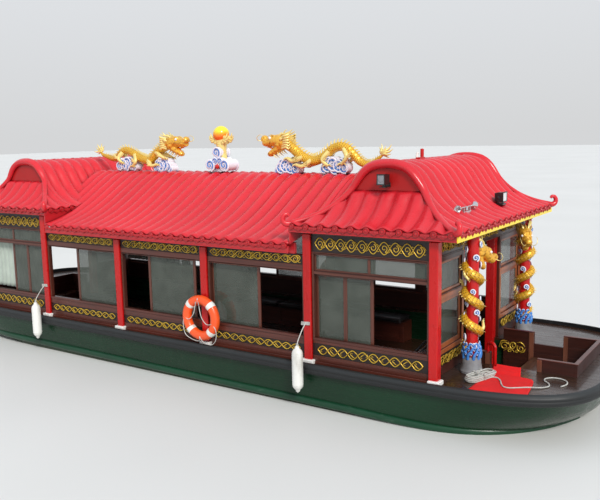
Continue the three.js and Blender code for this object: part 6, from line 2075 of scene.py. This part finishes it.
def makeRoofFittings():
    low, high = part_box("bow_floodlight")
    y, base, top = 0.4, high[2] - 0.16, high[2]
    x0, x1 = low[0], high[0]
    case = [boxShape(x0 + 0.035, x1 - 0.012, y - 0.08, y + 0.08, base + 0.024, top - 0.004)]
    case += [boxShape(x0 + 0.002, x0 + 0.04, y - 0.072 + 0.018 * k, y - 0.066 + 0.018 * k, base + 0.034, top - 0.014)
        for k in range(9)]
    case += [boxShape(x1 - 0.014, x1, y - 0.086, y + 0.086, z0, z1) for z0, z1 in ((base + 0.024, base + 0.036),
        (top - 0.012, top))]
    case += [boxShape(x1 - 0.014, x1, s0, s1, base + 0.024, top) for s0, s1 in ((y - 0.086, y - 0.074),
        (y + 0.074, y + 0.086))]
    case += [boxShape(x0 + 0.05, x0 + 0.08, y + s * 0.089 - 0.0035, y + s * 0.089 + 0.0035, base - 0.004, top - 0.06)
        for s in (-1, 1)]
    case += [boxShape(x0 + 0.045, x0 + 0.085, y - 0.0925, y + 0.0925, base + 0.002, base + 0.012),
        boxShape(x0, x1 - 0.01, y - 0.07, y + 0.07, low[2], base + 0.003)]
    case += [movedShape(lathe([(0.018, 0.0), (0.018, 0.012), (0.01, 0.016)], 16), lambda v,
        s=s: Vector((x0 + 0.065 + v.x, y + s * (0.088 + v.y), base + 0.085 + v.z))) for s in (-1, 1)]
    dress("bowFloodlightCase", case, "black", "dark_metal", "bow_floodlight", angle=30, ease=0.003)
    glass = [boxShape(x1 - 0.016, x1 - 0.006, y - 0.075, y + 0.075, base + 0.035, top - 0.011)]
    glass += [boxShape(x1 - 0.007, x1 - 0.004, y - 0.074, y + 0.074, base + 0.05 + 0.024 * k,
        base + 0.053 + 0.024 * k) for k in range(4)]
    dress("bowFloodlightLens", glass, "lens", "steel", "bow_floodlight", angle=30)

    low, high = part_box("twin_horn")
    x, y, z = (low[0] + high[0]) / 2, -0.81, high[2] - 0.052
    horns = [tube([(x, y - 0.25, z), (x, y + 0.25, z)], 0.0065, 12, 4)]
    for s in (-1, 1):
        bell = [(0.008, 0.15), (0.011, 0.2), (0.018, 0.238), (0.028, 0.262), (0.044, 0.283), (0.047, 0.288),
            (0.042, 0.287), (0.026, 0.268), (0.012, 0.24), (0.003, 0.232)]
        horns.append(movedShape(lathe(bell, 28), lambda v, s=s: Vector((x + v.x, y + s * v.y, z + v.z))))
        horns.append(boxShape(x - 0.012, x + 0.012, y + s * 0.1 - 0.005, y + s * 0.1 + 0.005, z - 0.06, z + 0.01))
    horns.append(boxShape(x - 0.012, x + 0.012, y - 0.03, y + 0.03, z - 0.04, z + 0.008))
    horns.append(boxShape(x - 0.02, x + 0.02, y - 0.115, y + 0.115, low[2], z - 0.05))
    dress("twinHorn", horns, "steel", "steel", "twin_horn", angle=30, ease=0.0025)

    low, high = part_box("gable_lamp")
    x = (low[0] + high[0]) / 2
    y0, y1, z0, z1 = low[1], high[1], 3.395, high[2]
    lamp = [boxShape(x - 0.052, x + 0.052, y0 + 0.012, -1.365, z0 + 0.004, z1 - 0.004)]
    lamp += [boxShape(x - 0.055, x + 0.055, y0, y0 + 0.014, z, z + 0.012) for z in (z0, z1 - 0.012)]
    lamp += [boxShape(x + s, x + s + 0.01, y0, y0 + 0.014, z0, z1) for s in (-0.055, 0.045)]
    lamp += [boxShape(x - 0.058, x + 0.058, y0, y0 + 0.07, z1 - 0.006, z1)]
    lamp += [tube([(x, -1.42, z0 + 0.01), (x, -1.42, 3.362)], 0.02, 16, 2, up=(1, 0, 0)),
        boxShape(x - 0.045, x + 0.045, -1.46, y1, 3.36, 3.372), boxShape(x - 0.045, x + 0.045, y1 - 0.008, y1, 3.36,
        3.42)]
    dress("gableLampCase", lamp, "black", "dark_metal", "gable_lamp", angle=30, ease=0.003)
    face = [boxShape(x - 0.046, x + 0.046, y0 + 0.007, y0 + 0.014, z0 + 0.011, z1 - 0.011),
        movedShape(lathe([(0.034, 0.0), (0.03, -0.006), (0.012, -0.008)], 24),
        lambda v: Vector((x + v.x, y0 + 0.008 + v.y, (z0 + z1) / 2 + v.z)))]
    dress("gableLampFace", face, "lampFace", "steel", "gable_lamp", angle=30)

    low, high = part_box("ridge_post")
    x, y, foot = boat["pavilionX"], -0.3, low[2]
    post = [tube([(x, y, foot + 0.03), (x, y, high[2] - 0.012)], 0.025, 20, 4, up=(1, 0, 0)),
        ballShape((x, y, high[2] - 0.014), 0.0262, (1, 1, 0.55), 20), boxShape(x - 0.03, x + 0.03, y - 0.14,
        y + 0.04, foot, foot + 0.06)]
    dress("ridgePost", post, "red", "red_lacquer", "ridge_post", angle=40, ease=0.003)
    cap = [tube([(x - 0.03, y - 0.11, foot + 0.05), (x - 0.024, y - 0.104, 3.74), (x - 0.02, y - 0.1, 3.77)],
        lambda s: 0.019 - 0.006 * s, 14, 5, up=(1, 0, 0)), ballShape((x - 0.02, y - 0.1, 3.758), 0.0185, (1, 1, 0.6),
        16)]
    dress("ridgeBulb", cap, "vinyl", "fender_white", "ridge_post", angle=50)


makeRoofFittings()
print("roof fittings done")


def vinylFinish():
    material, tree, shader, place = newFinish("seatVinyl")
    cells = addNode(tree, "ShaderNodeTexVoronoi", {"Vector": place, "Scale": 320.0}, feature="DISTANCE_TO_EDGE")
    grain = greys(tree, cells.outputs["Distance"], 0.0, 0.25)
    wear = noiseOf(tree, place, 6, 5)
    fill(tree, shader, {"Base Color": mixColor(tree, greys(tree, wear, 0.35, 0.75), (0.012, 0.011, 0.012, 1),
        (0.035, 0.03, 0.03, 1)), "Roughness": greys(tree, wear, 0.3, 0.8, 0.38, 0.58)})
    bumpFrom(tree, shader, grain, 0.35, 0.0008)
    return material


# The propeller's bronze darkens in its hollows: painted shade
finish.update({"vinylSeat": vinylFinish(), "darkMetal": paintFinish("darkMetal", (0.05, 0.052, 0.056), 0.38,
    metal=0.6, fade=0.2, mottle=0.2), "bronze": paintFinish("propellerBronze", (0.5, 0.3, 0.1), 0.3, metal=0.9,
    fade=0.2, mottle=0.25, bump=0.1, creviceShade={"reach": 0.02, "most": 0.6, "color": (0.12, 0.1, 0.05)}),
    "engineGreen": paintFinish("enginePaint", (0.03, 0.09, 0.1), 0.4, coat=0.2, fade=0.15,
    dust={"color": (0.05, 0.04, 0.03), "scale": 9, "from": 0.5, "to": 0.8, "most": 0.6}),
    "jamb": woodFinish("jambBoards", (0.16, 0.055, 0.03), "z", 0.28, 0.4, 0.35), "step": woodFinish("stepBoards",
    (0.07, 0.03, 0.016), "y", 0.25, 0.3, 0.4)})


# Boards round the stairwells, with capping, posts and a gilded scroll
stair = {"half": 0.6, "post": 0.63, "board": 0.04, "top": 1.185, "low": 0.6103, "plank": 0.5997,
    "far": {"front": 5.8, "rear": 4.9}, "gates": {"front": {-1: (4.75, 5.35), 1: (4.94, 5.35)}, "rear": {}}}


def makeEntrances():
    s = stair
    half, out, top = s["half"], s["half"] + s["board"], s["top"]
    for end, name in endNames.items():
        far = s["far"][name]
        panels, caps, posts = [], [], []
        levels = [s["low"] + k * (top - s["low"]) / 4 for k in range(5)]
        for side in (-1, 1):
            gate = s["gates"][name].get(side)
            spans = [(4.5, gate[0]), (gate[1], far)] if gate else [(4.5, far)]
            for k in range(4):
                z0, z1 = levels[k] + (0.0015 if k else 0), levels[k + 1]
                panels += [(end * a, end * b, side * half, side * out, z0, z1) for a, b in spans]
                if gate and z0 < deck:
                    panels.append((end * gate[0], end * gate[1], side * half, side * out, z0, min(z1, deck)))
            caps += [boxShape(end * a, end * b, side * (half - 0.008), side * (out + 0.008), top + 0.0003,
                top + 0.014) for a, b in spans]
            if gate:
                for x0, x1 in ((gate[0] - 0.07, gate[0]), (gate[1], gate[1] + 0.06)):
                    posts += [boxShape(x0, x1, side * (half - 0.012), side * (half - 0.0005), 0.66, top),
                        boxShape(x0, x1, side * (out + 0.0005), side * (out + 0.012), deckFace, top)]
        panels += [(end * far, end * (far + s["board"]), -out, out, levels[k] + (0.0015 if k else 0), levels[k + 1])
            for k in range(4)]
        caps.append(boxShape(end * (far - 0.008), end * (far + s["board"] + 0.008), -out - 0.008, out + 0.008,
            top + 0.0003, top + 0.014))
        boards(name + "Coaming", panels, "wall", "wall_wood", name + "_coaming", 0.003)
        dress(name + "CoamingCap", caps, "board", "wall_wood", ease=0.004, mend=False)
        if posts:
            dress(name + "GatePosts", posts, "jamb", "sash_wood", ease=0.003, mend=False)
        makeTreads(end, name, far)
        low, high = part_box(name + "_door_frame")
        outer, inner = (high[0], low[0]) if end > 0 else (low[0], high[0])
        frames = [(inner, outer - end * 0.04, side * (s["post"] - 0.06), side * (s["post"] + 0.06), low[2],
            deck + 1.51) for side in (-1, 1)]
        frames += [(inner - end * 0.004, outer - end * 0.036, side * (s["post"] - 0.064), side * (s["post"] + 0.064),
            z0, z1) for side in (-1, 1) for z0, z1 in ((low[2], low[2] + 0.12), (deck + 1.42, deck + 1.5))]
        boards(name + "DoorPosts", frames, "red", "red_lacquer", name + "_door_frame", 0.006)
        beam = [(inner, outer, low[1], high[1], deck + 1.5, high[2])]
        beam += [(outer - end * 0.002, outer + end * 0.006, low[1] + 0.01, high[1] - 0.01, z, z + 0.016)
            for z in (deck + 1.505, high[2] - 0.02)]
        boards(name + "DoorBeam", beam, "wall", "wall_wood", name + "_door_frame")
    makeScroll()
    makeGrabRail()


# The stairwell's floor and its half step, in planks across the boat
def makeTreads(end, name, far):
    wide, near, count = stair["plank"], 4.3503, 8
    floor, riser, tread = stair["low"], 0.808, 0.835
    planks = []

    def plank(x0, x1, z0, z1, half=wide):
        planks.append(boxShape(end * x0, end * x1, -half, half, z0, z1))
    step = (far - near) / count
    for k in range(count):
        plank(near + k * step + 0.0015, near + (k + 1) * step - 0.0015, floor, 0.64)
    halfFrom = far - (0.85 if name == "front" else 0.24)
    steps = max(2, round((far - halfFrom) / 0.12))
    step = (far - halfFrom) / steps
    for k in range(steps):
        plank(halfFrom - (0 if k else 0.018) + k * step + 0.0015, halfFrom + (k + 1) * step - 0.0015, riser, tread)
    plank(halfFrom, halfFrom + 0.02, 0.6403, riser)
    for k in range(2):
        x = halfFrom - 0.012 + 0.022 * k
        plank(x, x + 0.012, tread, tread + 0.003, 0.55)
    dress(name + "Steps", planks, "step", "deck_wood", name + "_steps", ease=0.003, mend=False)


def makeScroll():
    scroll = []
    curls = [((-0.11, 0.0), 0.062, 1.3, 0.6, 0.2, 1), ((0.02, 0.025), 0.05, 1.25, 3.4, 0.22, -1),
        ((0.125, -0.01), 0.055, 1.3, 2.4, 0.2, 1), ((-0.04, -0.055), 0.03, 1.2, 1.2, 0.25, -1),
        ((0.075, -0.06), 0.026, 1.1, 0.3, 0.3, 1)]
    for centre, radius, turns, start, grow, flip in curls:
        scroll.append(tube(spiralPoints(centre, radius, turns, start, grow, flip), lambda t: 0.011 * (1 - 0.5 * t),
            8, 2, up=(0, 1, 0)))
    for a, b, c in (((-0.19, -0.03), (-0.15, 0.07), (-0.07, 0.08)), ((-0.06, 0.06), (0.0, -0.03), (0.07, 0.03)),
            ((0.07, 0.07), (0.13, 0.08), (0.19, 0.03)), ((-0.12, -0.07), (-0.03, -0.02), (0.04, -0.075)),
            ((0.12, -0.075), (0.17, -0.05), (0.195, 0.0))):
        scroll.append(limb([(a[0], 0, a[1]), (b[0], -0.004, b[1]), (c[0], 0, c[1])], [0.004, 0.012, 0.003], 8, 6,
            1.0))
    dress("entranceScroll", [movedShape(shape, lambda v: Vector((4.63 + v.x, 0.594 + v.y, 0.94 + v.z)))
        for shape in scroll], "gold", "yellow_paint", angle=60)


def makeGrabRail():
    head, foot = Vector((4.71, -0.62, 0)), Vector((4.82, -0.67, 0))
    rail = [head + Vector((0, 0, 1.1853)), head + Vector((0, 0, 1.24)), head + Vector((0.004, -0.002, 1.283)),
        head.lerp(foot, 0.25) + Vector((0, 0, 1.312)), head.lerp(foot, 0.5) + Vector((0, 0, 1.3185)),
        head.lerp(foot, 0.75) + Vector((0, 0, 1.312)), foot + Vector((-0.004, 0.002, 1.283)),
        foot + Vector((0, 0, 1.24)), foot + Vector((0, 0, 1.0353))]
    shapes = [tube(rail, 0.0215, 20, 8, up=(0.4, 1, 0)), tube([foot + Vector((0, 0, deckFace)),
        foot + Vector((0, 0, 1.041))], 0.036, 24, 1, up=(1, 0, 0)), tube([head + Vector((0, 0, 1.1853)),
        head + Vector((0, 0, 1.193))], 0.03, 24, 1, up=(1, 0, 0))]
    dress("grabRail", shapes, "red", "red_lacquer", "grab_rail", angle=40, ease=0.002)


# A cushion blown up by cloth simulation from a slightly smaller block
cushion = {"voxel": 0.0125, "pressure": 4.0, "frames": 20, "cap": 0.014, "shrink": 0.011}


def blownCushion(lx, ly, lz):
    c = cushion
    s = c["shrink"]
    block = makePiece("cushionBlock", *boxShape(-lx / 2 + s, lx / 2 - s, -ly / 2 + s, ly / 2 - s, -lz / 2 + s,
        lz / 2 - s), finish["vinylSeat"], 0)
    for kind, settings in (("BEVEL", {"width": 0.022, "segments": 3}), ("REMESH",
            {"mode": "VOXEL", "voxel_size": c["voxel"]})):
        modifier = block.modifiers.new(kind, kind)
        for key, value in settings.items():
            setattr(modifier, key, value)
    mesh = baked(block)
    clearAway(block)
    start = [v.co.copy() for v in mesh.vertices]
    pad = bpy.data.objects.new("cushionPad", mesh)
    scene.collection.objects.link(pad)
    cloth = pad.modifiers.new("stuffing", "CLOTH")
    cloth.settings.use_pressure = True
    cloth.settings.uniform_pressure_force = c["pressure"]
    cloth.settings.tension_stiffness = 12
    cloth.settings.compression_stiffness = 12
    cloth.settings.effector_weights.gravity = 0
    for frameNumber in range(1, c["frames"] + 1):
        scene.frame_set(frameNumber)
    blown = baked(pad)
    scene.frame_set(1)
    pad.modifiers.clear()
    verts = []
    half = Vector((lx / 2, ly / 2, lz / 2))
    for first, vert in zip(start, blown.vertices):
        move = vert.co - first
        if move.length > c["cap"]:
            move *= c["cap"] / move.length
        at = first + move
        crown = (1 - min(1, abs(first.x) / half.x) ** 2) * (1 - min(1, abs(first.y) / half.y) ** 2)
        if first.z > 0:
            at.z += 0.006 * crown
        else:
            at.z = max(at.z, -half.z)
        pull = 0.006 * (1 - min(1.0, abs(first.z) / (half.z * 0.5))) if abs(first.z) < half.z * 0.5 else 0
        if abs(first.x) > half.x - 0.03:
            at.x -= copysign(pull * (1 - (first.y / half.y) ** 2), first.x)
        if abs(first.y) > half.y - 0.03:
            at.y -= copysign(pull * (1 - (first.x / half.x) ** 2), first.y)
        verts.append(Vector(max(-h, min(h, v)) for v, h in zip(at, half + Vector((0.0, 0.0, 0.002)))))
    clearAway(pad)
    return verts, meshShape(blown)[1]


# Welting and sewn channels that lie on a cushion's top
def cushionSeams(lx, ly, lz, channels):
    shapes = []
    hx, hy, r = lx / 2 - 0.009, ly / 2 - 0.009, 0.03
    corners = [(hx - r, hy - r, 0), (-hx + r, hy - r, 1), (-hx + r, -hy + r, 2), (hx - r, -hy + r, 3)]
    for z in (lz / 2 - 0.012, -lz / 2 + 0.012):
        ring = [(cx + r * cos(t), cy + r * sin(t), z) for cx, cy, q in corners for t in (q * pi / 2 + k * pi / 8
            for k in range(5))]
        shapes.append(tube(ring, 0.0045, 8, 1, closed=True))
    for k in range(channels):
        x = -hx + (k + 1) * 2 * hx / (channels + 1)
        line = [(x, y, lz / 2 + 0.002 + 0.006 * (1 - (y / hy) ** 2) * (1 - (x / hx) ** 2) - 0.0035)
            for y in (-hy + 0.02 + j * (2 * hy - 0.04) / 12 for j in range(13))]
        shapes.append(tube(line, 0.0035, 6, 1))
    return shapes


bench = {"half": 2.55, "count": 6, "top": 0.96, "thick": 0.09, "back": 1.6397, "deep": 0.42, "base": 0.33}


def makeSeats():
    b = bench
    long = 2 * b["half"] / b["count"]
    pad = blownCushion(long - 0.004, b["deep"] - 0.002, b["thick"] - 0.004)
    seams = cushionSeams(long - 0.004, b["deep"] - 0.002, b["thick"] - 0.004, 3)
    for side, name in sideNames.items():
        y = side * (b["back"] - b["deep"] / 2)
        z = b["top"] - b["thick"] / 2
        spots = [Vector((-b["half"] + long * (k + 0.5), y, z)) for k in range(b["count"])]
        node = "bench_" + name
        dress("benchCushions_" + name, [movedShape(pad, lambda v: o + v) for o in spots], "vinylSeat",
            "dark_leather", node, 180)
        dress("benchWelts_" + name, [movedShape(w, lambda v: o + v) for o in spots for w in seams], "vinylSeat",
            "dark_leather", node, 60)
        inner = side * (b["back"] - b["base"])
        boxes = [(-b["half"], b["half"], side * b["back"], inner + side * 0.012, soleFace, 0.872)]
        for k in range(b["count"] + 1):
            x = -b["half"] + 0.03 + k * (2 * b["half"] - 0.06) / b["count"]
            boxes.append((x - 0.03, x + 0.03, inner + side * 0.0125, inner, soleFace, 0.872))
        boxes += [(-b["half"], b["half"], inner + side * 0.0125, inner + side * 0.001, z0, z1)
            for z0, z1 in ((soleFace, 0.6), (0.81, 0.872))]
        boards("benchBase_" + name, boxes, "board", "wall_wood", "bench_" + name, width=0.003)
    low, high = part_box("driver_seat")
    x, y = (low[0] + high[0]) / 2, (low[1] + high[1]) / 2
    lx, ly = high[0] - low[0] - 0.004, high[1] - low[1] - 0.004
    seat = blownCushion(lx, ly, 0.075)
    middle = Vector((x, y, 0.93))
    dress("driverCushion", [movedShape(seat, lambda v: middle + v)], "vinylSeat", "dark_leather",
        "driver_seat", 180)
    welts = movedShapes(cushionSeams(lx, ly, 0.075, 2), lambda v: middle + v)
    dress("driverWelts", welts, "vinylSeat", "dark_leather", "driver_seat", angle=60)
    stand = [boxShape(x - 0.15, x + 0.15, y - 0.16, y + 0.16, 0.878, 0.892), boxShape(x - 0.095, x + 0.095, y - 0.11,
        y + 0.11, soleFace, 0.545), tube([(x, y, 0.545), (x, y, 0.7)], 0.045, 20, 2, up=(1, 0, 0)),
        tube([(x, y, 0.7), (x, y, 0.878)], 0.034, 20, 2, up=(1, 0, 0))]
    stand += [tube([(x + a * 0.075, y + c * 0.09, 0.545), (x + a * 0.075, y + c * 0.09, 0.552)], 0.009, 6, 1,
        up=(1, 0, 0)) for a in (-1, 1) for c in (-1, 1)]
    dress("driverStand", stand, "darkMetal", "dark_metal", "driver_seat", angle=35, ease=0.002)


helm = {"hub": (3.98, -1.18, 1.22), "tilt": radians(35), "rim": 0.19}


def makeHelm():
    h = helm
    hub = Vector(h["hub"])
    axis = Vector((-cos(h["tilt"]), 0, sin(h["tilt"])))
    across = Vector((0, 1, 0))
    up = axis.cross(across)

    def at(radius, turn, lift=0.0):
        return hub + across * radius * cos(turn) + up * radius * sin(turn) + axis * lift
    ring = [at(h["rim"], turn) for turn in around(72)]
    grips = [sweep([at(h["rim"], radians(30 + 60 * k) + radians(q), 0) for q in range(-9, 10, 3)],
        roundSection(lambda s: 0.0158 + 0.002 * sin(pi * s), 16), axis) for k in range(6)]
    dress("helmRim", [sweep(ring, roundSection(0.0145, 16), axis, True)] + grips, "vinylSeat", "dark_metal",
        "helm_wheel", angle=60, body="helm")
    spokes = [tube([at(0.02, t), at(0.1, t, -0.006), at(h["rim"] - 0.004, t)], lambda s: 0.0095 - 0.002 * s, 12, 6,
        up=axis) for t in (radians(d) for d in (90, 210, 330))]
    spokes.append(ringsShape([[at(r, turn, lift) for turn in around(28)] for r, lift in ((0.034, -0.012),
        (0.0335, 0.012), (0.026, 0.02), (0.012, 0.022))]))
    spokes.append(tube([hub - axis * 0.0997, hub - axis * 0.01], 0.0155, 16, 3, up=(0, 1, 0)))
    dress("helmSpokes", spokes, "steel", "dark_metal", "helm_wheel", angle=40, ease=0.0012, body="helm")
    easedCopy("helm_console", "helmConsole", "board", "wall_wood", 0.005)
    dials, faces, metal = [], [], []
    for y, z, r in ((-1.4, 1.2, 0.045), (-0.96, 1.2, 0.045), (-1.4, 1.09, 0.034), (-0.96, 1.09, 0.034)):
        x = 4.0897
        for radius, depth, group in ((r, 0.012, metal), (r - 0.006, 0.0125, faces)):
            shape = lathe([(radius, 0.0), (radius, -depth), (radius - 0.004, -depth - 0.001)], 28)
            group.append(movedShape(shape, lambda v, c=(x, y, z): Vector((c[0] + v.y, c[1] + v.x, c[2] + v.z))))
        dials.append(boxShape(x - 0.0155, x - 0.0142, y - 0.0015, y + 0.0015, z - 0.004, z + r * 0.62))
        for k in range(9):
            turn = radians(-120 + 30 * k)
            dials.append(tube([(x - 0.0145, y + (r - 0.014) * sin(turn), z + (r - 0.014) * cos(turn)),
                (x - 0.0145, y + (r - 0.009) * sin(turn), z + (r - 0.009) * cos(turn))], 0.0009, 5, 1, up=(1, 0, 0)))
    metal += [boxShape(4.12, 4.2, -0.93, -0.89, 1.2803, 1.287), tube([(4.16, -0.91, 1.287), (4.145, -0.91, 1.36),
        (4.13, -0.91, 1.395)], 0.006, 10, 4, up=(0, 1, 0))]
    knob = [ballShape((4.127, -0.91, 1.402), 0.016, (1, 1, 1), 16)]
    for label, group, key, slotName in (("helmDialRims", metal, "steel", "steel"), ("helmDialFaces", faces, "black",
            "dark_metal"), ("helmDialMarks", dials, "white", "fender_white"), ("throttleKnob", knob, "black",
            "dark_metal")):
        dress(label, group, key, slotName, angle=45)


drive = {"propeller": (-5.33, 0.0, 0.225), "radius": 0.178, "blades": 3, "lead": 0.256, "rudder": -5.64}


def makeDrive():
    px, _, pz = drive["propeller"]
    profile = [(-0.06, 0.008), (-0.056, 0.02), (-0.045, 0.03), (-0.02, 0.0345), (0.02, 0.036), (0.0245, 0.036)]
    shapes = [ringsShape([[(px + x, r * cos(t), pz + r * sin(t)) for t in around(28)] for x, r in profile]),
        tube([(px, 0, pz), (px + 0.438, 0, pz)], 0.0185, 20, 3, up=(0, 0, 1))]
    stations = 12
    for blade in range(drive["blades"]):
        spin = 2 * pi * blade / drive["blades"]
        rows = []
        for j in range(stations):
            s = j / (stations - 1)
            r = 0.026 + (drive["radius"] - 0.026) * s
            chord = 0.052 + 0.075 * sin(pi * min(1, s * 0.92 + 0.06)) * (1 - 0.5 * s ** 6)
            if j == stations - 1:
                chord *= 0.45
            thick = 0.009 * (1 - 0.75 * s) + 0.0015
            tilt = atan2(drive["lead"] / (2 * pi), r) * 0.75 + 0.12
            row = []
            for t in around(20):
                c, n = chord / 2 * cos(t), thick / 2 * sin(t) * (1 + 0.3 * cos(t))
                along = c * sin(tilt) + n * cos(tilt)
                aside = c * cos(tilt) - n * sin(tilt) + 0.018 * s * s
                turn = spin + aside / max(r, 0.03)
                row.append((px - 0.012 + along * 0.8, r * sin(turn), pz + r * cos(turn)))
            rows.append(row)
        shapes.append(ringsShape(rows))
    dress("propellerBlades", shapes, "bronze", "bronze", "propeller", angle=40, body="propeller")
    rx = drive["rudder"]
    outline = [(-0.23, 0.004), (-0.15, 0.013), (-0.06, 0.0215), (0.02, 0.022), (0.07, 0.017), (0.095, 0.008),
        (0.1, 0.0)]
    ring = outline + [(x, -w) for x, w in reversed(outline[:-1])]
    levels = [(0.045, 0.9), (0.052, 0.985), (0.07, 1.0), (0.24, 1.0), (0.42, 1.0), (0.435, 0.985), (0.44, 0.93)]
    plate = ringsShape([[(rx + x * f, w * f, z) for x, w in ring] for z, f in levels])
    stock = [tube([(rx, 0, 0.4), (rx, 0, 1.118)], 0.0185, 24, 4, up=(1, 0, 0)),
        tube([(rx, 0, deckFace), (rx, 0, 1.078)], 0.0335, 24, 2, up=(1, 0, 0)),
        tube([(rx, 0, 1.098), (rx, 0, 1.1195)], 0.022, 6, 1, up=(1, 0, 0))]
    stock += [boxShape(rx - 0.19, rx + 0.07, s * 0.0215, s * 0.0255, z - 0.012, z + 0.012) for s in (-1, 1)
        for z in (0.12, 0.34)]
    dress("rudderBlade", [plate] + stock, "steel", "steel", "rudder", angle=40, ease=0.002, body="rudder")
    low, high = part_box("engine")
    x0, x1 = low[0], high[0]
    block = [boxShape(x0 + 0.1, x1 - 0.12, -0.17, 0.17, 0.58, 0.84), boxShape(x0 + 0.12, x1 - 0.16, -0.12, 0.12,
        0.84, 0.93), boxShape(x0 + 0.14, x1 - 0.18, -0.09, 0.09, 0.93, 0.985), boxShape(x0 + 0.13, x1 - 0.17, -0.14,
        0.14, soleFace, 0.58)]
    block += [boxShape(x0 + 0.1 + 0.1 * k, x0 + 0.125 + 0.1 * k, -0.18, 0.18, 0.6, 0.8) for k in range(6)]
    block += [boxShape(x0 + 0.02, x1 - 0.02, s * 0.2 - 0.03, s * 0.2 + 0.03, soleFace, 0.6) for s in (-1, 1)]
    block.append(tube([(x0 + 0.03, 0, 0.68), (x0 + 0.1, 0, 0.68)], 0.15, 32, 2, up=(0, 0, 1)))
    dress("engineBlock", block, "engineGreen", "dark_metal", "engine", angle=35, ease=0.006)
    dark = [tube([(x0 + 0.16, 0.17, 0.88), (x0 + 0.16, 0.22, 0.88), (x1 - 0.2, 0.22, 0.88), (x1 - 0.16, 0.22, 0.94)],
        0.03, 14, 8), tube([(x1 - 0.12, 0, 0.68), (x1 - 0.09, 0, 0.68)], 0.09, 32, 1, up=(0, 0, 1)),
        tube([(x1 - 0.12, -0.13, 0.84), (x1 - 0.08, -0.13, 0.84)], 0.04, 24, 1, up=(0, 0, 1)),
        tube([(x1 - 0.26, -0.2, 0.84), (x1 - 0.12, -0.2, 0.84)], 0.06, 24, 2, up=(0, 0, 1)),
        tube([(x0 + 0.3, -0.2, 0.66), (x0 + 0.3, -0.2, 0.8)], 0.045, 24, 2, up=(1, 0, 0))]
    dark += [tube([(x0 + 0.19 + 0.14 * k, 0.12, 0.88), (x0 + 0.19 + 0.14 * k, 0.22, 0.88)], 0.022, 12, 2)
        for k in range(4)]
    dark += [tube([(x0 + 0.2 + 0.16 * k, s * 0.05, 0.985), (x0 + 0.2 + 0.16 * k, s * 0.05, 0.993)], 0.01, 6, 1,
        up=(1, 0, 0)) for k in range(4) for s in (-1, 1)]
    dress("engineFittings", dark, "darkMetal", "dark_metal", "engine", angle=35, ease=0.002)


makeEntrances()
makeSeats()
makeHelm()
makeDrive()
print("entrances, seats, helm and drive done")


lightPlan = {"floor": 160, "key": (0.62, -0.5, 0.6), "keyStrength": 2.6, "keyAngle": 14, "sky": 0.85}


def makeStage():
    material, tree, shader, place = newFinish("paleFloor")
    fill(tree, shader, {"Base Color": rampOf(tree, noiseOf(tree, place, 0.2, 2), [(0.3, (0.66, 0.66, 0.64)),
        (0.7, (0.7, 0.7, 0.68))]), "Roughness": 0.55})
    half = lightPlan["floor"]
    z = boat["waterline"]
    floor = makePiece("studioFloor", [(-half, -half, z), (half, -half, z), (half, half, z), (-half, half, z)],
        [(0, 1, 2, 3)], material, 0)
    world = bpy.data.worlds.new("studioAir")
    world.use_nodes = True
    scene.world = world
    tree = world.node_tree
    back = tree.nodes["Background"]
    direction = addNode(tree, "ShaderNodeSeparateXYZ", {0: addNode(tree, "ShaderNodeTexCoord").outputs["Generated"]})
    fill(tree, back, {"Color": rampOf(tree, direction.outputs["Z"], [(0.0, (0.78, 0.79, 0.8)),
        (0.25, (0.9, 0.93, 0.97)), (1.0, (0.8, 0.88, 1.0))]), "Strength": lightPlan["sky"]})
    data = bpy.data.lights.new("softKey", "SUN")
    data.energy = lightPlan["keyStrength"]
    data.angle = radians(lightPlan["keyAngle"])
    data.color = (1.0, 0.97, 0.92)
    key = bpy.data.objects.new("softKey", data)
    key.rotation_mode = "QUATERNION"
    key.rotation_quaternion = Vector(lightPlan["key"]).to_track_quat("Z", "Y")
    scene.collection.objects.link(key)
    scene.view_settings.view_transform = "Standard"


makeStage()

print("boat is dressed")
